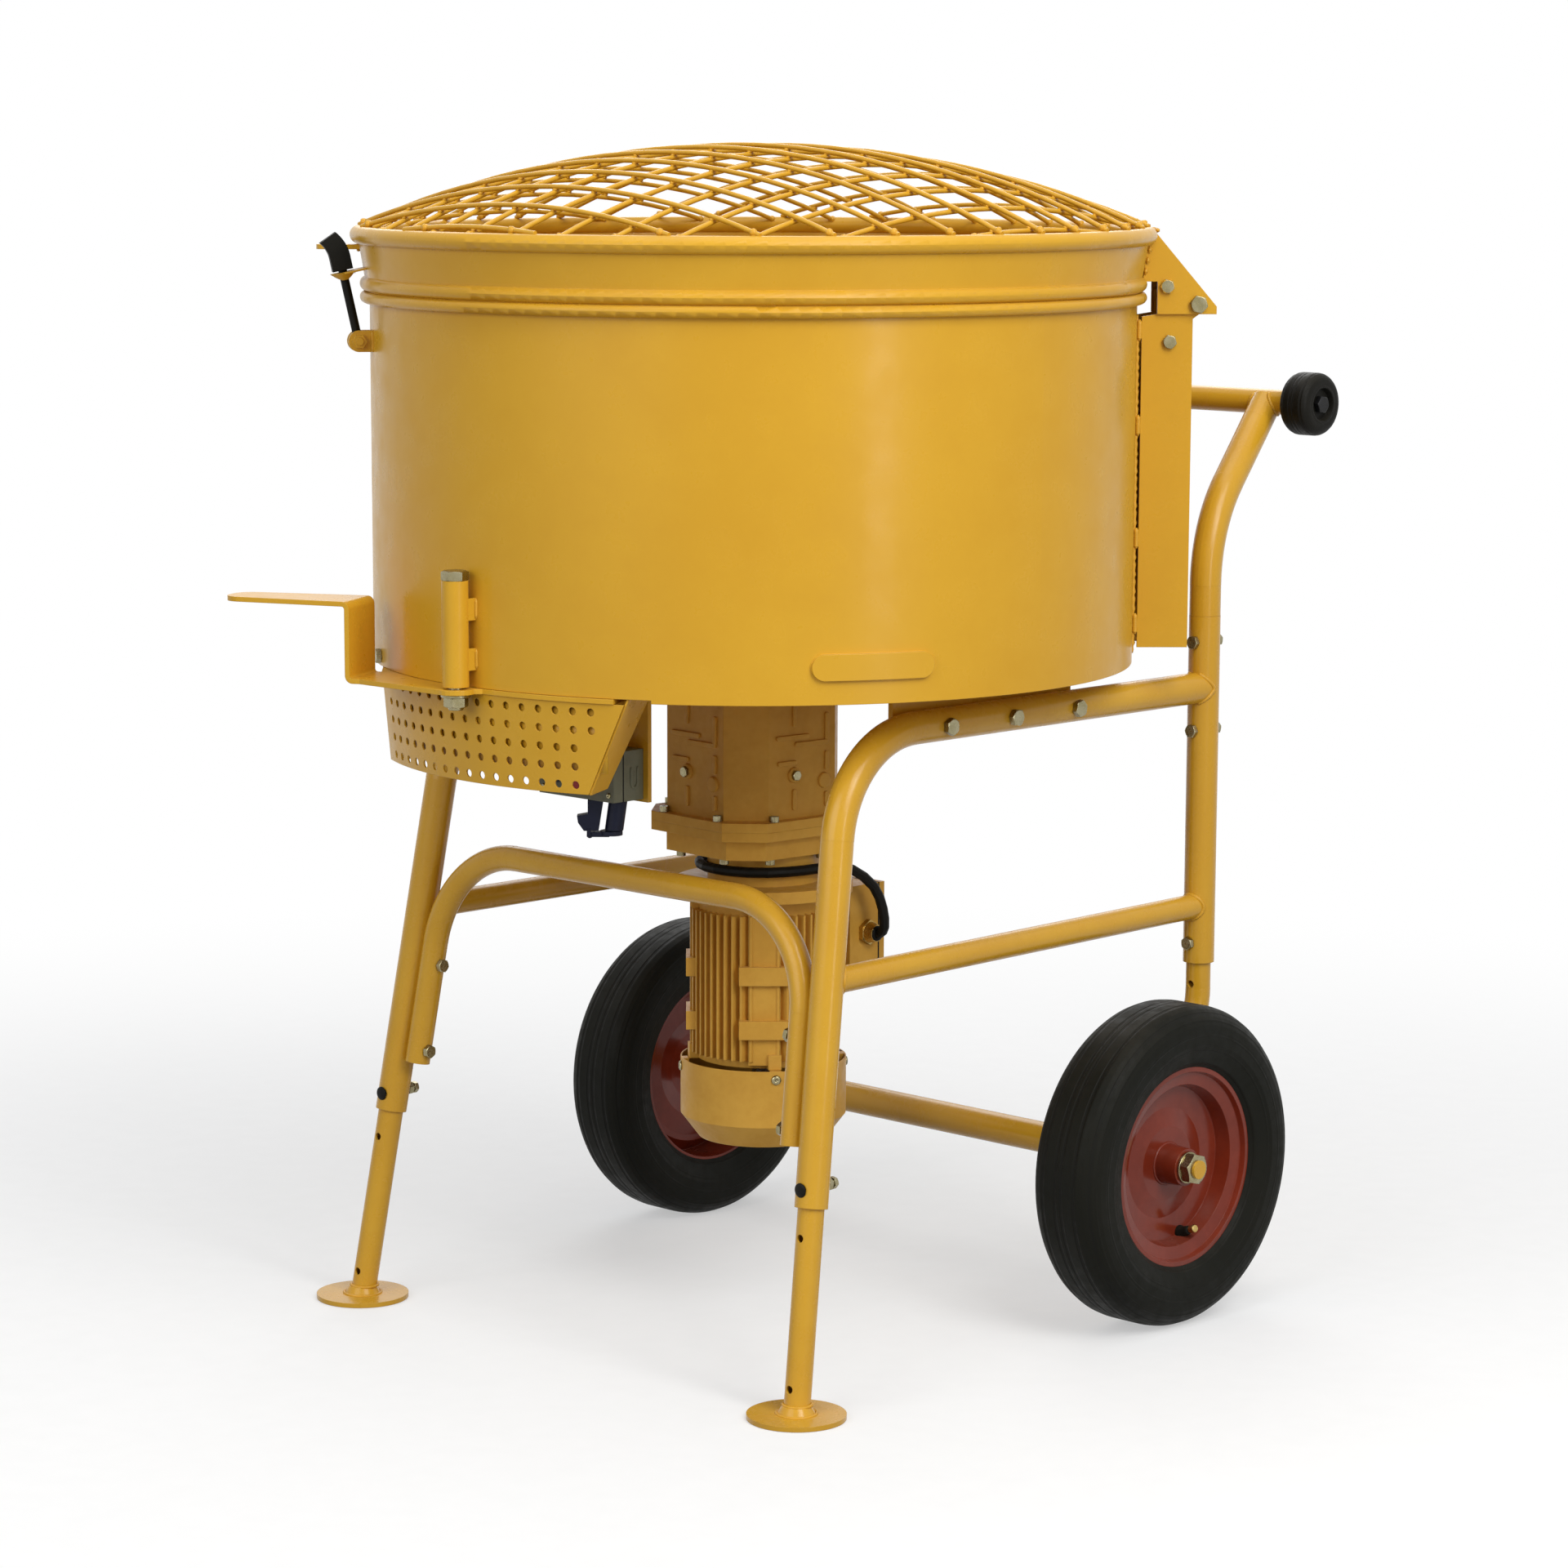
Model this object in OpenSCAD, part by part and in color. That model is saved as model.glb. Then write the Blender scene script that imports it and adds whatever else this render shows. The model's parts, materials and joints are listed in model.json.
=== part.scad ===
// Forced-action drum mixer: a fixed upright drum with a rotor driven from below, a hinged safety
// grid, a swing-out hatch in the drum's floor and a wheeled tube frame with telescopic legs.
// Units are millimetres. +Z is up, +X is the machine's right side and the feet stand towards -Y.

/* [Drum] */
// Outside radius of the drum wall
drum_r = 400; // [392:1:408]
// Thickness of the drum wall
wall_t = 3; // [2:0.5:4]
// Height of the wall's lower edge above the ground
drum_z = 708.4; // [700:0.2:716]
// Height from the wall's lower edge to the top of the rim bead
drum_h = 386; // [380:1:392]
// Thickness of the drum floor
floor_t = 5; // [4:0.5:6]
// Radius of the rolled bead at the rim
rim_bead_r = 6; // [5:0.5:7]

/* [Safety grid] */
// Height of the flared collar between its two beads
collar_h = 50; // [44:1:56]
// How far the collar flares outwards over that height
collar_flare = 8.3; // [6:0.1:10]
// Thickness of the collar's sheet
collar_t = 2.5; // [2:0.5:3]
// Radius of the collar's lower bead
collar_low_r = 7.5; // [7:0.25:8]
// Radius of the collar's upper bead
collar_top_r = 9; // [8.5:0.25:9.5]
// Radius of the sphere that the grid rods follow
dome_r = 1060; // [1000:1:1120]
// Height of the dome's top above the centre of the upper bead
dome_rise = 94.8; // [92:0.2:98]
// Diameter of a grid rod
rod_d = 5; // [4:0.5:6]
// Distance between neighbouring rods
rod_pitch = 55; // [50:1:60]
// How far the rods are shifted from the drum axis
rod_shift = [7.5, -14.5]; // [-27:0.5:27]
// Opening angle at which the grid rests on its column
grid_open = 92; // [85:1:92]

/* [Grid hinge] */
// Compass angle of the hinge column about the drum axis
hinge_a = 45; // [40:1:50]
// Distance of the hinge bolt from the drum axis
hinge_r = 462.4; // [461:0.2:464]
// Height of the hinge bolt below the rim
hinge_drop = 13; // [12:0.2:14]
// Outside width of the hinge column
column_w = 60; // [50:1:70]
// Distance from the drum wall to the column's side plates
column_gap = 4; // [3:0.5:5]
// Depth of the column from front to back
column_d = 53; // [52:0.5:54]
// Thickness of the column and gusset plates
hinge_plate_t = 4; // [3:0.5:5]
// Radius of the hinge bolt
hinge_bolt_r = 5; // [4:0.5:6]

/* [Grid latch] */
// Compass angle of the latch about the drum axis
latch_a = -125; // [-128:1:-122]
// Distance of the latch pin out from the drum wall
latch_out = 14; // [13:0.5:16]
// Height of the latch pin below the rim
latch_drop = 50; // [46:1:54]
// Outward lean of the latch stem
latch_lean = 12; // [10:0.5:13]
// Length of the stem from its pin to the grip
stem_len = 74; // [72:0.5:76]
// Radius of the stem
stem_r = 4.5; // [4:0.25:5]
// Length of the rubber grip
grip_len = 40; // [32:1:46]
// Width of the grip across the keeper's slot
grip_t = 14; // [12:0.5:15]
// Width of the grip along the keeper's slot
grip_w = 21; // [18:0.5:22]

/* [Discharge hatch] */
// Compass angle of the hatch pivot about the drum axis
pivot_a = -90.6; // [-92:0.1:-89]
// Distance of the hatch pivot out from the drum wall
pivot_out = 18; // [16:0.5:20]
// Length of the pivot tube
pivot_len = 106; // [90:1:120]
// Radius of the pivot bolt
pivot_bolt_r = 8; // [7:0.5:9]
// Thickness of the hatch plate
hatch_t = 5; // [4:0.5:6]
// Height of the hatch handle above the plate
handle_rise = 78; // [60:1:90]
// Length of the hatch lever outwards from its upright
lever_len = 140; // [110:1:160]
// Width of the hatch lever at its root
lever_w = 66; // [56:1:70]
// Angle through which the hatch swings open
hatch_open = 50; // [40:1:50]

/* [Hatch guard] */
// Height of the guard
guard_h = 92; // [85:1:100]
// Inward slant of the guard over its height
guard_slant = 8; // [4:0.5:10]
// Thickness of the guard's sheet
guard_t = 2; // [1.5:0.5:2.5]
// Radius of a hole in the guard
guard_hole_r = 4; // [3:0.25:5]
// Distance between the holes of the guard
guard_pitch = 20; // [18:0.5:22]

/* [Frame] */
// Radius of the thick frame tubes
tube_r = 16.85; // [16.5:0.05:17.2]
// Radius of the thin frame tubes
thin_r = 13.45; // [13.2:0.05:13.6]
// Clearance between a thick tube's bore and a thin tube inside it
slide_gap = 0.1; // [0.05:0.01:0.1]
// Wall of a thin tube
thin_wall = 2.6; // [2:0.1:3.2]
// Sideways distance of a foot from the middle
foot_x = 328.5; // [324:0.5:333]
// Distance of the feet in front of the drum axis
foot_y = 272.5; // [262:0.5:284]
// Radius of a foot plate
foot_r = 50; // [42:1:60]
// Thickness of a foot plate
foot_t = 5; // [4:0.5:6]
// Height at which the thick part of a leg ends
leg_end_z = 206; // [195:1:216]
// Length of a leg's inner tube
leg_inner_len = 396; // [380:1:410]
// How far a leg extends
leg_travel = 140; // [100:1:150]
// Sideways distance of the rear uprights and top bars from the middle
upright_x = 288; // [285:0.5:289]
// Distance of the rear uprights behind the drum axis
upright_y = 402; // [390:1:410]
// Height of the top side bars
top_bar_z = 666.2; // [660:0.2:672]
// Height of the lower side bars
low_bar_z = 427; // [417:1:437]
// Bend radius of the leg into the top bar
leg_bend = 120; // [105:1:130]
// Height of the front hoop's bar
hoop_z = 495; // [485:1:505]
// Height of the front hoop's lower ends
hoop_end_z = 262; // [252:1:268]
// Bend radius of the front hoop
hoop_bend = 110; // [100:1:120]

/* [Handle] */
// Height of the handle's crossbar
cross_z = 967; // [950:1:985]
// Distance of the crossbar behind the drum axis
cross_y = 529.5; // [520:0.5:540]
// Sideways distance at which a handle tube meets the crossbar
cross_x = 267; // [260:1:275]
// Bend radius of the handle tubes
handle_bend = 150; // [130:1:160]
// Radius of a handle roller
roller_r = 34; // [30:0.5:38]
// Width of a handle roller
roller_w = 38; // [30:1:44]
// Sideways distance of a roller's middle
roller_x = 325; // [318:1:332]
// Radius of a roller's bolt
roller_bolt_r = 5; // [4:0.5:6]

/* [Wheels] */
// Outside radius of a tyre
wheel_r = 173; // [168:1:176]
// Width of a tyre
tyre_w = 88; // [80:1:89]
// Radius of the rim where the tyre sits
rim_r = 107.5; // [100:0.5:115]
// Width of the rim
rim_w = 62; // [54:1:66]
// Sideways distance of a wheel's middle
wheel_x = 351.8; // [350:0.2:356]
// Distance of the axle behind the drum axis
axle_y = 267.2; // [260:0.2:274]
// Radius of the axle's journals
journal_r = 10; // [9:0.5:12]
// How far the axle carrier extends
axle_travel = 120; // [80:1:140]

/* [Drive] */
// Half width of the gearbox across its chamfered corners
gear_half = 89; // [86:0.5:92]
// Half width of the gearbox's lower flange
flange_half = 106; // [102:1:110]
// Half width of the motor adapter's flange
adapter_half = 90; // [88:0.5:92]
// Width of a chamfered corner
corner_w = 48; // [42:1:52]
// Sideways offset of the motor axis from the drum axis, towards +X
motor_x = 8.6; // [7:0.1:10]
// Offset of the motor axis from the drum axis, towards +Y
motor_y = 8.4; // [7:0.1:10]
// Outside radius over the motor's fins
fin_r = 80; // [78:0.5:82]
// Radius of the motor's housing under the fins
motor_r = 71; // [70:0.5:72]
// Radius of the fan cowl
cowl_r = 89; // [87:0.5:91]
// Radius of the motor shaft
shaft_r = 12; // [10:0.5:14]
// Radius of the mixer shaft
mixer_r = 22; // [20:0.5:24]
// Clearance of a turning shaft in its bearing
run_gap = 0.05; // [0.02:0.01:0.08]

/* [Mixing tools] */
// Distance from the drum floor to the paddles
paddle_clear = 4; // [3:0.5:6]
// Distance from the drum wall to the scraper
scraper_clear = 4; // [3:0.5:6]
// Height of the arms above the drum floor
arm_lift = 84; // [75:1:95]
// Width and height of an arm
arm_s = 30; // [24:1:34]

/* [Electrics] */
// Width of the control box
box_w = 110; // [100:1:112]
// Depth of the control box
box_d = 42; // [38:1:48]
// Height of the control box
box_h = 52; // [50:1:60]
// Radius of the mains inlet's barrel
inlet_r = 9.5; // [8:0.5:10]
// Radius of the motor cable
cable_r = 5.5; // [5:0.25:6]

/* [Hidden] */

paint = [0.80, 0.58, 0.17];
zinc = [0.75, 0.74, 0.70];
rubber = [0.08, 0.08, 0.08];
rim_red = [0.62, 0.20, 0.12];
steel = [0.55, 0.55, 0.57];
box_grey = [0.45, 0.46, 0.38];
navy = [0.07, 0.08, 0.14];

$fn = 64;
seat = 0.3;          // gap between parts that rest on each other or pass each other
lap = 3;             // how far a straight tube runs into its bend
step_r = 0.1;        // how much a bend stands over the straight tube inside it
tiny = 1;            // overrun of a cut past the face that it opens

// Heights and radii of the drum
rim_z = drum_z + drum_h;
wall_top = rim_z - rim_bead_r;
floor_lift = hatch_t - 1.4;
floor_z = drum_z + floor_lift;
floor_top = floor_z + floor_t;
inner_r = drum_r - wall_t;
plate_z = floor_z - seat - hatch_t;
notch_a = [-137, -60];
opening_a = [-119, -95];
opening_r = [240, 385];
stop_a = -120;
guard_a = [-119, -64];
guard_tilt = 24;
guard_r = drum_r;
shaft_hole_r = 46;

// Grid
low_bead_R = drum_r + 2.5;
low_bead_z = rim_z + seat + collar_low_r;
top_bead_z = low_bead_z + collar_h;
top_bead_R = low_bead_R + collar_flare;
apex_z = top_bead_z + dome_rise;
rod_span = top_bead_R;

// Grid hinge
hinge_z = rim_z - hinge_drop;
column_r0 = drum_r + column_gap;
column_r1 = column_r0 + column_d;
column_z0 = drum_z + 14;
gusset_w = column_w + 2 * seat;
ear_r = hinge_bolt_r + 4.3;

// Grid latch
latch_r = drum_r + latch_out;
pin_z = rim_z - latch_drop;
pin_r = 4;
eye_r = 8;
lug_gap = 10;
lug_t = 4;

// Hatch
pivot_r = drum_r + pivot_out;
pivot = [pivot_r * cos(pivot_a), pivot_r * sin(pivot_a)];
pivot_land = 19;
root_near = pivot + [-138.6228, -26.0229];
root_dir = [-0.435, 0.90] / norm([-0.435, 0.90]);
lever_dir = [-root_dir.y, root_dir.x];
root_mid = root_near + root_dir * lever_w / 2;
tip_w = lever_w - 16;
tip_r = 20;
tip_end = root_mid + lever_dir * (lever_len - tip_r);
tip_near = tip_end - root_dir * (tip_w / 2 - tip_r);

// The machine stands centred on its own extents: the lever's tip in front, the rollers behind
y_front = tip_near.y - tip_r;
y_back = cross_y + roller_r;
axis_y = -(y_front + y_back) / 2;

// Frame
bore_r = thin_r + slide_gap;
foot_r_cone = 20;
corner = [upright_x, -foot_y + 107.8, top_bar_z];
foot_0 = [foot_x, -foot_y, 0];
leg_dir = (corner - foot_0) / norm(corner - foot_0);
function leg_at(z) = foot_0 + leg_dir * z / leg_dir.z;
upright_end_z = leg_end_z + 159;
handle_joint_z = 744;
handle_corner_z = cross_z - (cross_y - upright_y);
axle_z = wheel_r;
carrier_top_z = 588;
hoop_x = upright_x + (foot_x - upright_x) * (1 - hoop_z / top_bar_z) - tube_r - thin_r;
bracket_t = 6;
bracket_x = upright_x - tube_r - bracket_t;
top_bolt_y = [-28, 72, 172];
upright_bolt_z = [620, 716];
clamp_z = leg_end_z + 20;
rear_clamp_z = upright_end_z + 22;
hoop_bolt_z = [hoop_end_z + 14, hoop_end_z + 107];

// Drive
drive_turn = 40;
mount_z = floor_z;
mount_t = 12;
gear_top = mount_z - mount_t;
cover_z1 = 546;
cover_z0 = 526;
adapter_z1 = cover_z0;
motor_z1 = 458;
motor_z0 = 278;
cowl_z0 = 192;
motor_c = [motor_x, motor_y];
stage1_m = 1;
stage2_m = 1.2;
pinion1_n = 12;
gear1_n = 60;
pinion2_n = 12;
gear2_n = 66;
lay_d1 = stage1_m * (pinion1_n + gear1_n) / 2;
lay_d2 = stage2_m * (pinion2_n + gear2_n) / 2;
lay_c = meet(motor_c, lay_d1, lay_d2);
stage1_z = 568;
stage2_z = 602;
gear_h = 16;
gear2_h = 28;
nose_r = 3.5;
nose_z = 556;
cover_t = cover_z1 - 10 - cover_z0;
adapter_t = 22;
lay_top_z = stage2_z + gear2_h + 4;
bearing_h = 14;
bearing_z = [lay_top_z + 4, floor_top - bearing_h - 4];
motor_bearing_z = [motor_z0 + 8, motor_z1 - 20];
stator_r = 66;
rotor_r = 42;
stack_z = [320, 430];
fan_z = 213;
tab_a = 53;           // compass angle of a tab that holds the cowl
flange_bolt_r = (gear_half + corner_w / 2) / sqrt(2) / cos(27) + 6.6;
adapter_bolt_r = 78;
lay_psi = atan2(motor_c.y - lay_c.y, motor_c.x - lay_c.x);
lay_phi = atan2(lay_c.y, lay_c.x);
gland_r = 9;
lay_r = 5;
shaft_top = floor_top + 56;
mount_a = drive_turn + 45;
mount_hole_r = gear_half + 9;
mount_r = mount_hole_r + 22;
boss_r = mixer_r + 24;
bearing_r = mixer_r + 18;

// Mixing tools
hub_r = 55;
hub_h = 129;
arm_z = floor_top + arm_lift;
arm_a = [180, 60, -60];
arm_len = [inner_r - 25, 300, 210];
paddle_r = [inner_r - 77, 245, 165];
scraper_h = 170;
paddle_w = 130;
paddle_h = 78;
paddle_t = 8;
paddle_turn = 35;

// Electrics
bracket_y = -214;
bracket_x1 = 65;
bracket_z0 = 583;
box_x = [58 - box_w, 58];
box_z0 = 586;
box_wall = 3;
button_x = [-28, 12];
button_r = [11, 16];
button_z = box_z0 + box_h / 2;
press = 3.5;         // travel of a push button
inlet_c = [25, -238];
inlet_a = 44;
inlet_z0 = box_z0 - 38;
tbox_z = [346, 457];
tbox_y = [motor_y + 82, motor_y + 127, motor_y + 136];
tbox_w = 100;
gland_z = 405;
gland_y = motor_y + 108;
neck_r = 60;
cable_hole = [-36, 612];

// Route of the motor cable, as round numbers about the drum axis
cable_route = [
    [56, gland_y, gland_z], [64, gland_y, gland_z], [72, gland_y, gland_z], [79, gland_y, gland_z + 1],
    [87, 114, 414], [90, 108, 435], [86, 98, 460],
    [79, 71, 481], [77, 36, 487], [76, -1, 488], [60, -38, 488], [25, -58, 488], [-14, -56, 488],
    [-45, -35, 488], [-60, 2, 488], [-70, 44, 488], [-76, 72, 492], [-80, 92, 508], [-78, 94, 530],
    [-76, 93, 580], [-74, 92, 640], [-76, 84, 668], [-84, 60, 684], [-102, 20, 685], [-102, -28, 685], [-86, -84, 685],
    [-62, -144, 682], [-46, -184, 664], [-38, -200, 636], [cable_hole.x, -206, 618],
    [cable_hole.x, -218, cable_hole.y], [cable_hole.x, -232, cable_hole.y]
];
cable_path = concat(
    [for (i = [0:len(cable_route) - 2]) for (t = [0, 0.5]) spline(
        cable_route[max(i - 1, 0)], cable_route[i], cable_route[i + 1],
        cable_route[min(i + 2, len(cable_route) - 1)], t)],
    [cable_route[len(cable_route) - 1]]
);

// Where two circles meet: one of radius d2 about the drum axis, one of radius d1 about c
function meet(c, d1, d2) =
    let (s = norm(c), a = (d2 * d2 - d1 * d1 + s * s) / (2 * s), h = sqrt(d2 * d2 - a * a))
    [c.x / s * a - c.y / s * h, c.y / s * a + c.x / s * h];
function unit(v) = v / norm(v);
// Points of an arc about the drum axis, from the compass angle a to b
function arc(r, a, b, n = 12) = [for (i = [0:n]) r * [cos(a + (b - a) * i / n), sin(a + (b - a) * i / n)]];
function angle_between(u, v) = acos(min(1, max(-1, u * v)));
function spline(a, b, c, d, t) =
    0.5 * (2 * b + (c - a) * t + (2 * a - 5 * b + 4 * c - d) * t * t + (3 * b - a - 3 * c + d) * t * t * t);
function carried(along, i, n) =
    i == len(along) ? []
    : let (m = unit(n - along[i] * (along[i] * n))) concat([m], carried(along, i + 1, m));

// ---- helpers ----

// Everything is drawn about the drum axis and moved here
module in_frame() translate([0, axis_y, 0]) children();

// Places a child at radius r, compass angle a and height z, with its own +X pointing outwards
module at_polar(a, r = 0, z = 0) rotate([0, 0, a]) translate([r, 0, z]) children();

// Turns a child's +Z along d, from the point p
module aim(p, d) {
    z = unit(d);
    ref = abs(z.z) < 0.9 ? [0, 0, 1] : [0, 1, 0];
    x = unit(cross(ref, z));
    y = cross(z, x);
    multmatrix([
        [x.x, y.x, z.x, p.x],
        [x.y, y.y, z.y, p.y],
        [x.z, y.z, z.z, p.z],
        [0, 0, 0, 1]
    ]) children();
}

// A straight round bar from p to q
module bar(p, q, r) aim(p, q - p) cylinder(r = r, h = norm(q - p));

// One bend at the corner c, entered along u and left along v
module bend(c, u, v, R, r) {
    t = angle_between(u, v);
    n = unit(v - u * (u * v));
    start = c - u * R * tan(t / 2);
    centre = start + n * R;
    w = cross(-n, u);
    multmatrix([
        [-n.x, u.x, w.x, centre.x],
        [-n.y, u.y, w.y, centre.y],
        [-n.z, u.z, w.z, centre.z],
        [0, 0, 0, 1]
    ]) rotate_extrude(angle = t, $fn = 96) translate([R, 0]) circle(r = r, $fn = 32);
}

// A bent round bar through the points, with one bend radius; over lengthens both open ends
module pipe(points, R, r, over = 0) {
    last = len(points) - 1;
    dirs = [for (i = [0:last - 1]) unit(points[i + 1] - points[i])];
    cuts = [for (i = [0:last]) (i == 0 || i == last) ? 0
        : R * tan(angle_between(dirs[i - 1], dirs[i]) / 2)];
    for (i = [0:last - 1]) {
        p = points[i] + dirs[i] * (i == 0 ? -over : cuts[i] - lap);
        q = points[i + 1] - dirs[i] * (i == last - 1 ? -over : cuts[i + 1] - lap);
        bar(p, q, r);
    }
    for (i = [1:1:last - 1]) bend(points[i], dirs[i - 1], dirs[i], R, r + step_r);
}

// Draws a child on the right side, or mirrored on the left side
module on_side(side) {
    if (side > 0) children();
    else mirror([1, 0, 0]) children();
}

// A ring about +Z
module ring(r_out, r_in, h) difference() {
    cylinder(r = r_out, h = h);
    translate([0, 0, -tiny]) cylinder(r = r_in, h = h + 2 * tiny);
}

// A piece of a ring between two compass angles
module sector(r0, r1, a0, a1, h) rotate([0, 0, a0]) rotate_extrude(angle = a1 - a0, $fn = 128)
    translate([r0, 0]) square([r1 - r0, h]);

// A bead around the drum axis
module bead(R, z, r) rotate_extrude($fn = 128) translate([R, z]) circle(r = r, $fn = 32);

// A hexagon head or nut with its seat at z = 0, af across its flats
module hex_head(af, h) cylinder(r = af / 2 / cos(30), h = h, $fn = 6);

// A bolt along the local Y axis: its head and its nut stand outside a grip length
module cross_bolt(r, grip) rotate([90, 0, 0]) translate([0, 0, grip / 2]) {
    translate([0, 0, -grip - 2 * r]) cylinder(r = r, h = grip + 2.5 * r);
    hex_head(3.3 * r, 1.2 * r);
    translate([0, 0, -grip - 1.5 * r]) hex_head(3.3 * r, 1.5 * r);
}

// A square with chamfered corners: d is the half width across corners that are w wide
module chamfered(d, w, h) linear_extrude(h) polygon([
    for (k = [0:3]) each [
        [d * cos(90 * k) + w / 2 * sin(90 * k), d * sin(90 * k) - w / 2 * cos(90 * k)],
        [d * cos(90 * k) - w / 2 * sin(90 * k), d * sin(90 * k) + w / 2 * cos(90 * k)]
    ]
]);

// A spur gear with straight-sided teeth, slimmer than their gaps so that a pair runs freely
module gear(n, m, h, bore) {
    rp = n * m / 2;
    root = rp - 1.2 * m;
    tip = rp + 0.85 * m;
    foot = 0.30 * m * 3.14159;
    head = 0.11 * m * 3.14159;
    difference() {
        union() {
            cylinder(r = root, h = h);
            for (k = [0:n - 1]) rotate([0, 0, k * 360 / n]) linear_extrude(h)
                polygon([[root - 0.4 * m, -foot], [tip, -head], [tip, head], [root - 0.4 * m, foot]]);
        }
        if (bore > 0) translate([0, 0, -tiny]) cylinder(r = bore, h = h + 2 * tiny);
    }
}

// ---- drum ----

module drum_wall() color(paint) in_frame() difference() {
    union() {
        translate([0, 0, drum_z]) cylinder(r = drum_r, h = wall_top - drum_z, $fn = 128);
        bead(drum_r + rim_bead_r - 2, wall_top, rim_bead_r);
        wall_pad();
    }
    translate([0, 0, drum_z - tiny]) cylinder(r = inner_r, h = drum_h + 2 * tiny, $fn = 128);
    translate([0, 0, drum_z - tiny])
        sector(inner_r - 2, drum_r + 2, notch_a[0], notch_a[1], floor_lift + tiny);
}

// Raised pad with round ends low on the wall
module wall_pad() intersection() {
    ring_z = drum_z + 22;
    translate([0, 0, ring_z]) cylinder(r = drum_r + 4, h = 40);
    at_polar(-28.5, drum_r - 8, ring_z + 15) rotate([90, 0, 90]) linear_extrude(16) {
        square([100, 26], center = true);
        translate([50, 0]) circle(r = 13);
        translate([-50, 0]) circle(r = 13);
    }
}

module drum_floor() color(paint) in_frame() difference() {
    translate([0, 0, floor_z]) cylinder(r = inner_r, h = floor_t, $fn = 128);
    translate([0, 0, floor_z - tiny]) {
        cylinder(r = shaft_hole_r + seat, h = floor_t + 2 * tiny);
        sector(opening_r[0], opening_r[1], opening_a[0], opening_a[1], floor_t + 2 * tiny);
        for (k = [0:3]) at_polar(mount_a + 90 * k, mount_hole_r) cylinder(r = 5.1, h = floor_t + 2 * tiny);
    }
}

// Upright channel welded to the wall, with two ears that carry the grid's hinge bolt
module hinge_column() color(paint) in_frame() difference() {
    union() {
        for (s = [-1, 1]) column_side(s);
        at_polar(hinge_a, column_r1 - hinge_plate_t, column_z0)
            translate([0, -column_w / 2, 0]) cube([hinge_plate_t, column_w, hinge_z - 25 - column_z0]);
    }
    hinge_axis_hole(hinge_r, hinge_z, hinge_bolt_r + run_gap);
    hinge_axis_hole(column_r0 + 29, hinge_z - 39, 4.1);
    translate([0, 0, drum_z]) cylinder(r = drum_r, h = drum_h, $fn = 128);
}

module hinge_axis_hole(r, z, hole) at_polar(hinge_a, r, z) rotate([90, 0, 0])
    cylinder(r = hole, h = 2 * column_w, center = true);

// One side plate of the column with its ear and its stitch welds
module column_side(s) {
    ear_z = rim_z + 0.8;
    inner = s > 0 ? column_w / 2 - hinge_plate_t : -column_w / 2;
    at_polar(hinge_a) translate([0, inner + hinge_plate_t, 0]) rotate([90, 0, 0])
        linear_extrude(hinge_plate_t) {
            polygon([
                [column_r0, column_z0], [column_r1 - 4, column_z0], [column_r1, column_z0 + 4],
                [column_r1, hinge_z - 15.3], [hinge_r + 6.5, hinge_z - 6.5],
                [hinge_r + 6.5, hinge_z + 6.5], [column_r1 - 16, ear_z],
                [column_r0 + 18, ear_z], [column_r0 + 18, hinge_z - 10], [column_r0, hinge_z - 13]
            ]);
            translate([hinge_r, hinge_z]) circle(r = ear_r);
        }
    for (z = [39, 129, drum_h - 139, drum_h - 40]) at_polar(hinge_a, drum_r - 3, drum_z + z)
        translate([0, inner, -4]) cube([column_gap + 3, hinge_plate_t, 8]);
}

// The grid's hinge bolt and the bolt through the column
module hinge_bolts() color(zinc) in_frame() {
    at_polar(hinge_a, hinge_r, hinge_z) cross_bolt(hinge_bolt_r, gusset_w + 2 * hinge_plate_t + 2 * seat);
    at_polar(hinge_a, column_r0 + 29, hinge_z - 39) cross_bolt(4, column_w + 2 * seat);
}

// Two ears on the wall that carry the latch pin, and the pin itself
module latch_lug() color(paint) in_frame() {
    difference() {
        for (s = [-1, 1]) at_polar(latch_a) translate([0, s * (lug_gap / 2 + lug_t / 2) + lug_t / 2, 0])
            rotate([90, 0, 0]) linear_extrude(lug_t) {
                translate([latch_r, pin_z]) circle(r = 11);
                translate([drum_r - 12, pin_z - 11]) square([latch_r - drum_r + 12, 22]);
            }
        translate([0, 0, drum_z]) cylinder(r = drum_r, h = drum_h, $fn = 128);
        at_polar(latch_a, latch_r, pin_z) rotate([90, 0, 0]) cylinder(r = pin_r, h = 60, center = true);
    }
    at_polar(latch_a, latch_r, pin_z) cross_bolt(pin_r, lug_gap + 2 * lug_t);
}

module hatch_tube() color(paint) in_frame() difference() {
    z0 = floor_z - seat + 2;
    union() {
        translate([pivot.x, pivot.y, z0]) cylinder(r = thin_r, h = pivot_len);
        for (z = [16, 66]) for (s = [-1, 1]) at_polar(pivot_a, drum_r - 3, z0 + z)
            translate([0, s * 9 - 2, 0]) cube([pivot_r - drum_r, 4, 22]);
    }
    translate([0, 0, drum_z]) cylinder(r = drum_r, h = drum_h, $fn = 128);
    translate([pivot.x, pivot.y, z0 - tiny]) cylinder(r = pivot_bolt_r + seat / 2, h = pivot_len + 2 * tiny);
}

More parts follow.
